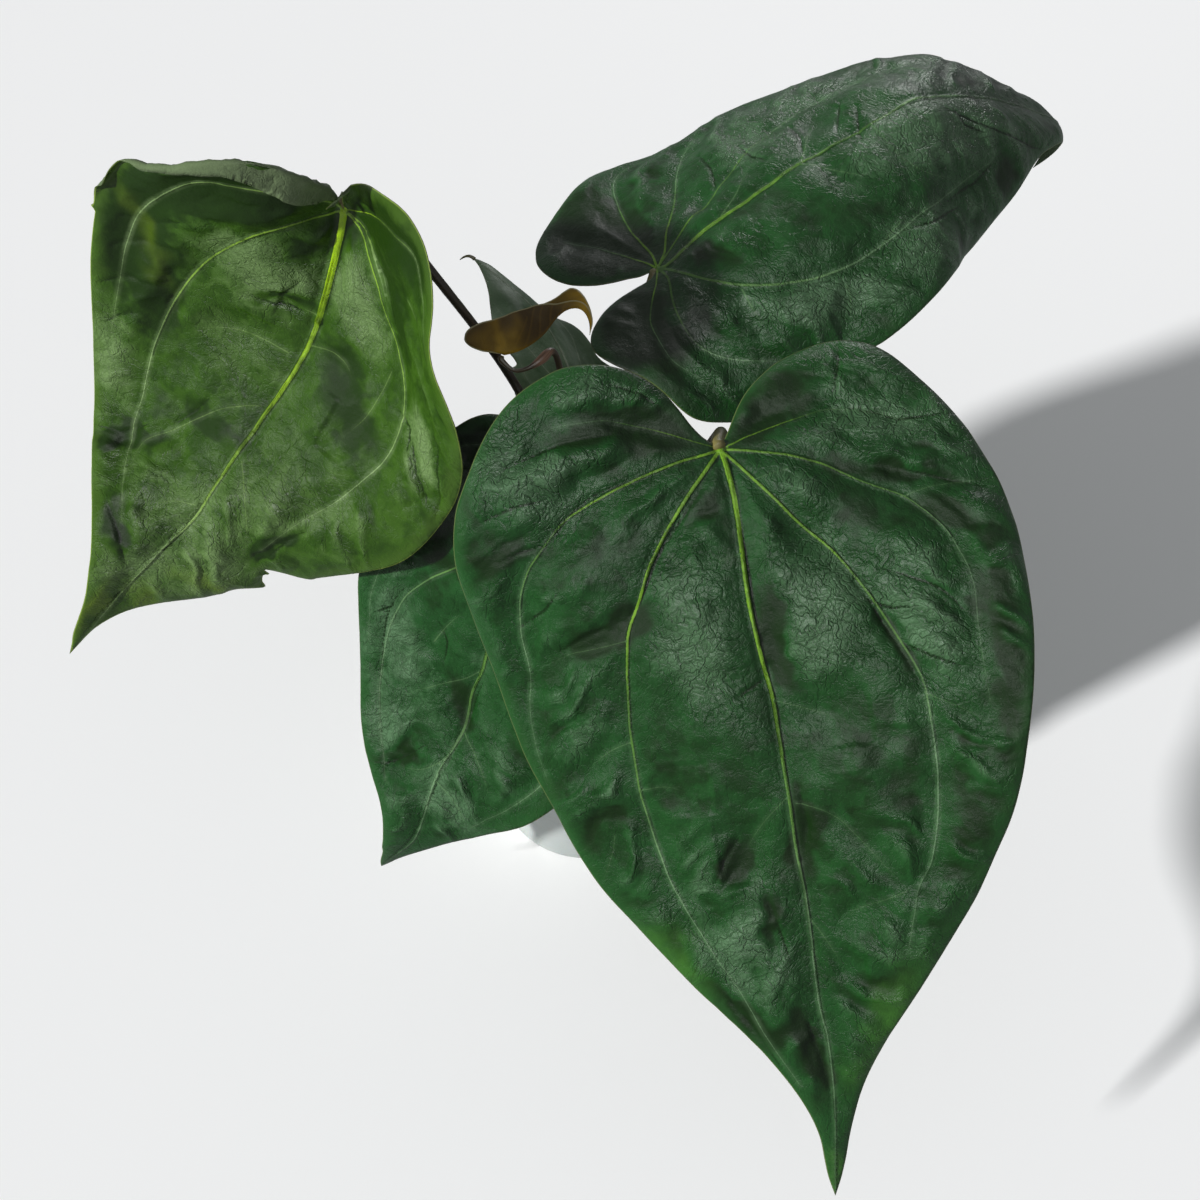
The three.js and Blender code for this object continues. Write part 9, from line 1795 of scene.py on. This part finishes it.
def perlite_material():
    m = Mat("perlite", 0.9, 0.2)
    q = coord(m)
    pits = m.voronoi(q, 1.4, "F1")
    n = m.noise(q, 0.5, 4.0)
    c = m.mix(m.ramp(pits, 0.1, 0.6), (0.42, 0.40, 0.35), (0.74, 0.73, 0.69))
    c = m.mix(m.math("MULTIPLY", m.ramp(n, 0.5, 0.7), 0.35), c, (0.33, 0.28, 0.20))
    m.base(c)
    m.set("Normal", m.bump(pits, 0.0006))
    return m.m


MAT_MIX, MAT_BARK, MAT_PERLITE = mix_material(), bark_material(), perlite_material()
put(make_mix(), MAT_MIX, "mix", ("substrate",))

_ico = {}


def ico(level):
    """Points and triangles of a finely divided ball."""
    if level not in _ico:
        g = (1 + 5 ** 0.5) / 2
        v = [(-1, g, 0), (1, g, 0), (-1, -g, 0), (1, -g, 0), (0, -1, g), (0, 1, g), (0, -1, -g), (0, 1, -g), (g, 0, -1), (g, 0, 1), (-g, 0, -1), (-g, 0, 1)]
        v = [np.array(p) / np.linalg.norm(p) for p in v]
        f = [(0, 11, 5), (0, 5, 1), (0, 1, 7), (0, 7, 10), (0, 10, 11), (1, 5, 9), (5, 11, 4), (11, 10, 2), (10, 7, 6), (7, 1, 8), (3, 9, 4), (3, 4, 2), (3, 2, 6), (3, 6, 8), (3, 8, 9), (4, 9, 5), (2, 4, 11), (6, 2, 10), (8, 6, 7), (9, 8, 1)]
        for _ in range(level):
            cache, g2 = {}, []

            def half(a, b):
                key = (min(a, b), max(a, b))
                if key not in cache:
                    m = v[a] + v[b]
                    cache[key] = len(v)
                    v.append(m / np.linalg.norm(m))
                return cache[key]

            for a, b, c in f:
                x, y, z = half(a, b), half(b, c), half(c, a)
                g2 += [(a, x, z), (b, y, x), (c, z, y), (x, y, z)]
            f = g2
        _ico[level] = (np.array(v), np.array(f))
    return _ico[level]


def chip(rng, size, level=2, blocky=0.65, layers=0.0):
    """One broken piece: a ball cut by a few planes, then roughened."""
    v, f = ico(level)
    p = v.copy()
    for _ in range(7):
        d = rng.normal(size=3)
        d /= np.linalg.norm(d)
        cut = rng.uniform(0.45, 0.85)
        over = p @ d - cut
        p = p - np.outer(np.clip(over, 0, None), d) * blocky * 1.3
    p = p * (1 + 0.10 * fbm(p * 2.4 + rng.uniform(0, 50), 2, 3))[:, None]
    p = p / np.abs(p).max(0) * np.array(size)
    if layers:
        p[:, 2] += layers * np.sin(p[:, 0] * 1.1 + rng.uniform(0, 6)) * 0.25
    return p, f


def turned(p, rng, tilt):
    a = rng.uniform(0, 2 * math.pi)
    c, s = math.cos(a), math.sin(a)
    p = p @ np.array([[c, s, 0], [-s, c, 0], [0, 0, 1]])
    b, d = rng.normal(0, tilt), rng.normal(0, tilt)
    p = p @ np.array([[1, 0, 0], [0, math.cos(b), math.sin(b)], [0, -math.sin(b), math.cos(b)]])
    return p @ np.array([[math.cos(d), 0, math.sin(d)], [0, 1, 0], [-math.sin(d), 0, math.cos(d)]])


def scatter(name, seed, count, sizes, level, blocky, material, slot, sink, avoid=9.5):
    rng = np.random.default_rng(seed)
    pts, faces, n = [], [], 0
    limit = wall_at(76) - WALL - 1.2
    for _ in range(count):
        k = rng.uniform(*sizes)
        size = np.array([k * rng.uniform(0.8, 1.2), k * rng.uniform(0.55, 0.9), k * rng.uniform(0.32, 0.5)])
        for _ in range(20):
            r = limit * math.sqrt(rng.uniform(0, 1))
            a = rng.uniform(0, 2 * math.pi)
            x, y = r * math.cos(a), r * math.sin(a)
            if r + k * 1.2 < limit and math.hypot(x, y - STEM_Y) > avoid + k:
                break
        else:
            continue
        p, f = chip(rng, size, level, blocky)
        p = turned(p, rng, 0.35)
        z = soil_at(r) - 0.6 - p[:, 2].min() * (1 - sink) - size[2] * sink
        pts.append(p + np.array([x, y, z]))
        faces.append(f + n)
        n += len(p)
    ob = make(name, np.concatenate(pts), np.concatenate(faces), smooth=False)
    put(ob, material, slot)
    return ob


scatter("bark_bits", 5, 190, (1.6, 5.2), 2, 0.8, MAT_BARK, "bark", 0.45)
scatter("mix_crumbs", 6, 330, (0.7, 2.0), 1, 0.6, MAT_MIX, "mix", 0.3)
scatter("perlite_bits", 7, 60, (0.9, 2.1), 2, 0.4, MAT_PERLITE, "perlite", 0.35)

# the larger loose pieces, each where its plain solid lies
for nm in sorted(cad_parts):
    kind = nm.split("_")[0]
    if kind not in ("bark", "perlite"):
        continue
    lo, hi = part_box(nm)
    lo, hi = np.array(lo) * 1000, np.array(hi) * 1000
    rng = np.random.default_rng(sum(map(ord, nm)))
    p, f = chip(rng, (1, 1, 1), 3, 0.85 if kind == "bark" else 0.5)
    # the same box, turned about its own height as the plain piece is
    src = np.array([v.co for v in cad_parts[nm].data.vertices]) * 1000
    c = (lo + hi) / 2
    xy = src[:, :2] - src[:, :2].mean(0)
    _, vec = np.linalg.eigh(xy.T @ xy)
    major, minor = vec[:, 1], vec[:, 0]
    ext = np.array([np.abs(xy @ major).max(), np.abs(xy @ minor).max(), (hi[2] - lo[2]) / 2])
    p = p / np.abs(p).max(0) * ext
    if kind == "bark":
        p[:, 2] += 0.35 * np.sin(p[:, 0] * 0.9 + 1.0) * 0.5
    P = c + p[:, 0:1] * np.array([*major, 0]) + p[:, 1:2] * np.array([*minor, 0]) + p[:, 2:3] * np.array([0, 0, 1.0])
    P[:, 2] -= 0.5
    ob = make(nm + "_piece", P, f, smooth=kind == "perlite")
    put(ob, MAT_BARK if kind == "bark" else MAT_PERLITE, kind, (nm,))

# ---------------------------------------------------------------- pot
def make_pot():
    lip = POT_H - RIM_H
    prof = [(POT_R0 - 1.6, 0.0), (POT_R0 - 0.9, 0.12), (POT_R0 - 0.2, 0.7), (POT_R0 + 0.02, 1.6)]
    prof += [(wall_at(z), z) for z in np.linspace(3, lip - 2.2, 30)]
    prof += [(wall_at(lip - 1.6), lip - 1.6), (wall_at(lip) + 0.5, lip - 1.0), (RIM_R - 1.6, lip - 0.55), (RIM_R - 0.95, lip - 0.2), (RIM_R - 0.8, lip + 0.5)]
    prof += [(RIM_R - 0.8 + 0.8 * t, lip + 0.5 + (RIM_H - 2.4) * t) for t in (0.25, 0.5, 0.75, 1.0)]
    prof += [(RIM_R + 0.15, POT_H - 1.5), (RIM_R + 0.12, POT_H - 0.7), (RIM_R - 0.25, POT_H - 0.15), (RIM_R - 0.9, POT_H), (RIM_R - 1.5, POT_H - 0.2), (RIM_R - 1.75, POT_H - 0.8)]
    prof += [(RIM_R - 1.9, POT_H - 3), (wall_at(lip) + 1.3, lip + 2.2), (wall_at(lip) + 0.6, lip + 1.0), (wall_at(lip) - WALL + 0.2, lip), (wall_at(lip) - WALL, lip - 1.2)]
    prof += [(wall_at(z) - WALL, z) for z in (60, 45, 30, 15, 5)]
    prof += [(POT_R0 - WALL - 0.1, 2.6), (POT_R0 - WALL - 1.2, 1.6)]
    sides = 144
    pts, faces = lathe(prof, sides)
    pts, n = [pts], len(pts)
    # the floor of the pot, above and below, with a ring of round holes
    w = np.arange(sides) / sides * 2 * math.pi
    holes = []
    for k in range(6):
        a = (k + 0.5) / 6 * 2 * math.pi
        hw = np.arange(28) / 28 * 2 * math.pi
        holes.append(np.column_stack([26 * math.cos(a) + 3.6 * np.cos(hw), 26 * math.sin(a) + 3.6 * np.sin(hw)]))
    rows = len(prof)
    for z, r, ring0, up in ((0.0, POT_R0 - 1.6, 0, False), (1.5, POT_R0 - WALL - 1.2, (rows - 1) * sides, True)):
        loop = np.column_stack([r * np.cos(w), r * np.sin(w)])
        grid = lattice(loop, 4.0, 9)
        grid = away_from(np.concatenate([loop] + holes), grid, 1.6)
        keep = np.ones(len(grid), bool)
        for h in holes:
            keep &= ~inside(grid, h)
        v, f = triangulate(loop, grid[keep], holes)
        zz = np.full(len(v), z)
        if up:
            zz[:sides] = 1.6
        v3 = np.column_stack([v, zz])
        extra = v3[sides:]
        idx = np.r_[np.arange(sides) + ring0, np.arange(len(extra)) + n]
        f = idx[f]
        faces += (f if up else f[:, ::-1]).tolist()
        if up:
            top_first = n
        else:
            low_first = n
        pts.append(extra)
        n += len(extra)
    for k in range(6):
        for j in range(28):
            a0, a1 = low_first + k * 28 + j, low_first + k * 28 + (j + 1) % 28
            b0, b1 = top_first + k * 28 + j, top_first + k * 28 + (j + 1) % 28
            faces.append([a1, a0, b0, b1])
    ob = make("pot_body", np.concatenate(pts), faces)
    # keep the moulded edges crisp
    mod = ob.modifiers.new("edges", "EDGE_SPLIT")
    mod.split_angle = math.radians(50)
    return ob


def pot_material():
    m = Mat("pot", 0.42, 0.45)
    q = coord(m)
    haze = m.noise(q, 0.03, 3.0)
    grain = m.noise(q, 1.6, 3.0, 0.6)
    scuff = m.noise(m.scaled(q, (0.3, 0.3, 2.2)), 0.35, 5.0, 0.72)
    c = m.mix(m.ramp(haze, 0.35, 0.65), (0.45, 0.47, 0.45), (0.515, 0.53, 0.51))
    c = m.mix(m.math("MULTIPLY", m.ramp(scuff, 0.56, 0.74), 0.30), c, (0.30, 0.29, 0.26))
    m.base(c)
    m.set("Roughness", m.math("ADD", 0.34, m.math("MULTIPLY", scuff, 0.22)))
    m.set("Normal", m.bump(m.math("ADD", m.math("MULTIPLY", grain, 0.3), m.math("MULTIPLY", scuff, 0.7)), 0.00012))
    m.set("Subsurface Weight", 0.08)
    return m.m


put(make_pot(), pot_material(), "pot", ("pot",))

# ---------------------------------------------------------------- floor, light, camera
floor = make("floor", [(-25000, -25000, 0), (25000, -25000, 0), (25000, 25000, 0), (-25000, 25000, 0)], [(0, 1, 2, 3)], smooth=False)
fm = Mat("floor", 0.7, 0.3)
fm.base((0.95, 0.95, 0.95))
floor.data.materials.append(fm.m)
floor.visible_glossy = False  # no white veil on the glossy leaves

scene.view_settings.view_transform = "Standard"
scene.view_settings.look = "None"
world = bpy.data.worlds.new("world")
scene.world = world
world.use_nodes = True
world.node_tree.nodes["Background"].inputs[0].default_value = (0.95, 0.98, 1.0, 1)
world.node_tree.nodes["Background"].inputs[1].default_value = 0.28


def area(name, at, to, size, power, colour=(1, 1, 1), size_y=None):
    light = bpy.data.lights.new(name, "AREA")
    light.energy = power
    light.color = colour
    light.size = size
    if size_y:
        light.shape = "RECTANGLE"
        light.size_y = size_y
    ob = bpy.data.objects.new(name, light)
    scene.collection.objects.link(ob)
    ob.location = at
    ob.rotation_euler = (Vector(to) - Vector(at)).to_track_quat("-Z", "Y").to_euler()
    return ob



def bearing(azimuth, elevation, distance):
    a, e = math.radians(azimuth), math.radians(elevation)
    return Vector((math.cos(e) * math.cos(a), math.cos(e) * math.sin(a), math.sin(e))) * distance


sun = bpy.data.lights.new("key", "SUN")
sun.energy = 4.7
sun.angle = math.radians(3.2)
sun_ob = bpy.data.objects.new("key", sun)
scene.collection.objects.link(sun_ob)
sun_ob.rotation_euler = (-bearing(-158, 25, 1)).to_track_quat("-Z", "Y").to_euler()
sun_ob.visible_glossy = False  # the soft boxes make the gloss
for lamp in (
    area("front", bearing(-80, 58, 1.6) + Vector((0, 0, 0.2)), (0, 0, 0.2), 0.32, 10, size_y=0.24),
    area("left", bearing(-146, 34, 1.7) + Vector((0, 0, 0.2)), (0, 0, 0.2), 0.5, 5, size_y=0.4),
    area("back", bearing(75, 18, 1.7) + Vector((0, 0, 0.2)), (0, 0, 0.2), 0.6, 6, size_y=0.3),
):
    lamp.visible_diffuse = False  # they only make the gloss

cam = bpy.data.cameras.new("camera")
cam.sensor_width = 36
cam.lens = 45
cam_ob = bpy.data.objects.new("camera", cam)
scene.collection.objects.link(cam_ob)
EL = math.radians(54)
# the camera looks down 54 degrees from straight in front
x0, y0 = -13 / 1500 * 0.663, -181 / 1500 * 0.663
cam_ob.location = (-x0, -(y0 * math.sin(EL) + 0.663 * math.cos(EL)), -(y0 * math.cos(EL) - 0.663 * math.sin(EL)))
cam_ob.rotation_euler = (math.radians(36), 0, 0)
scene.camera = cam_ob
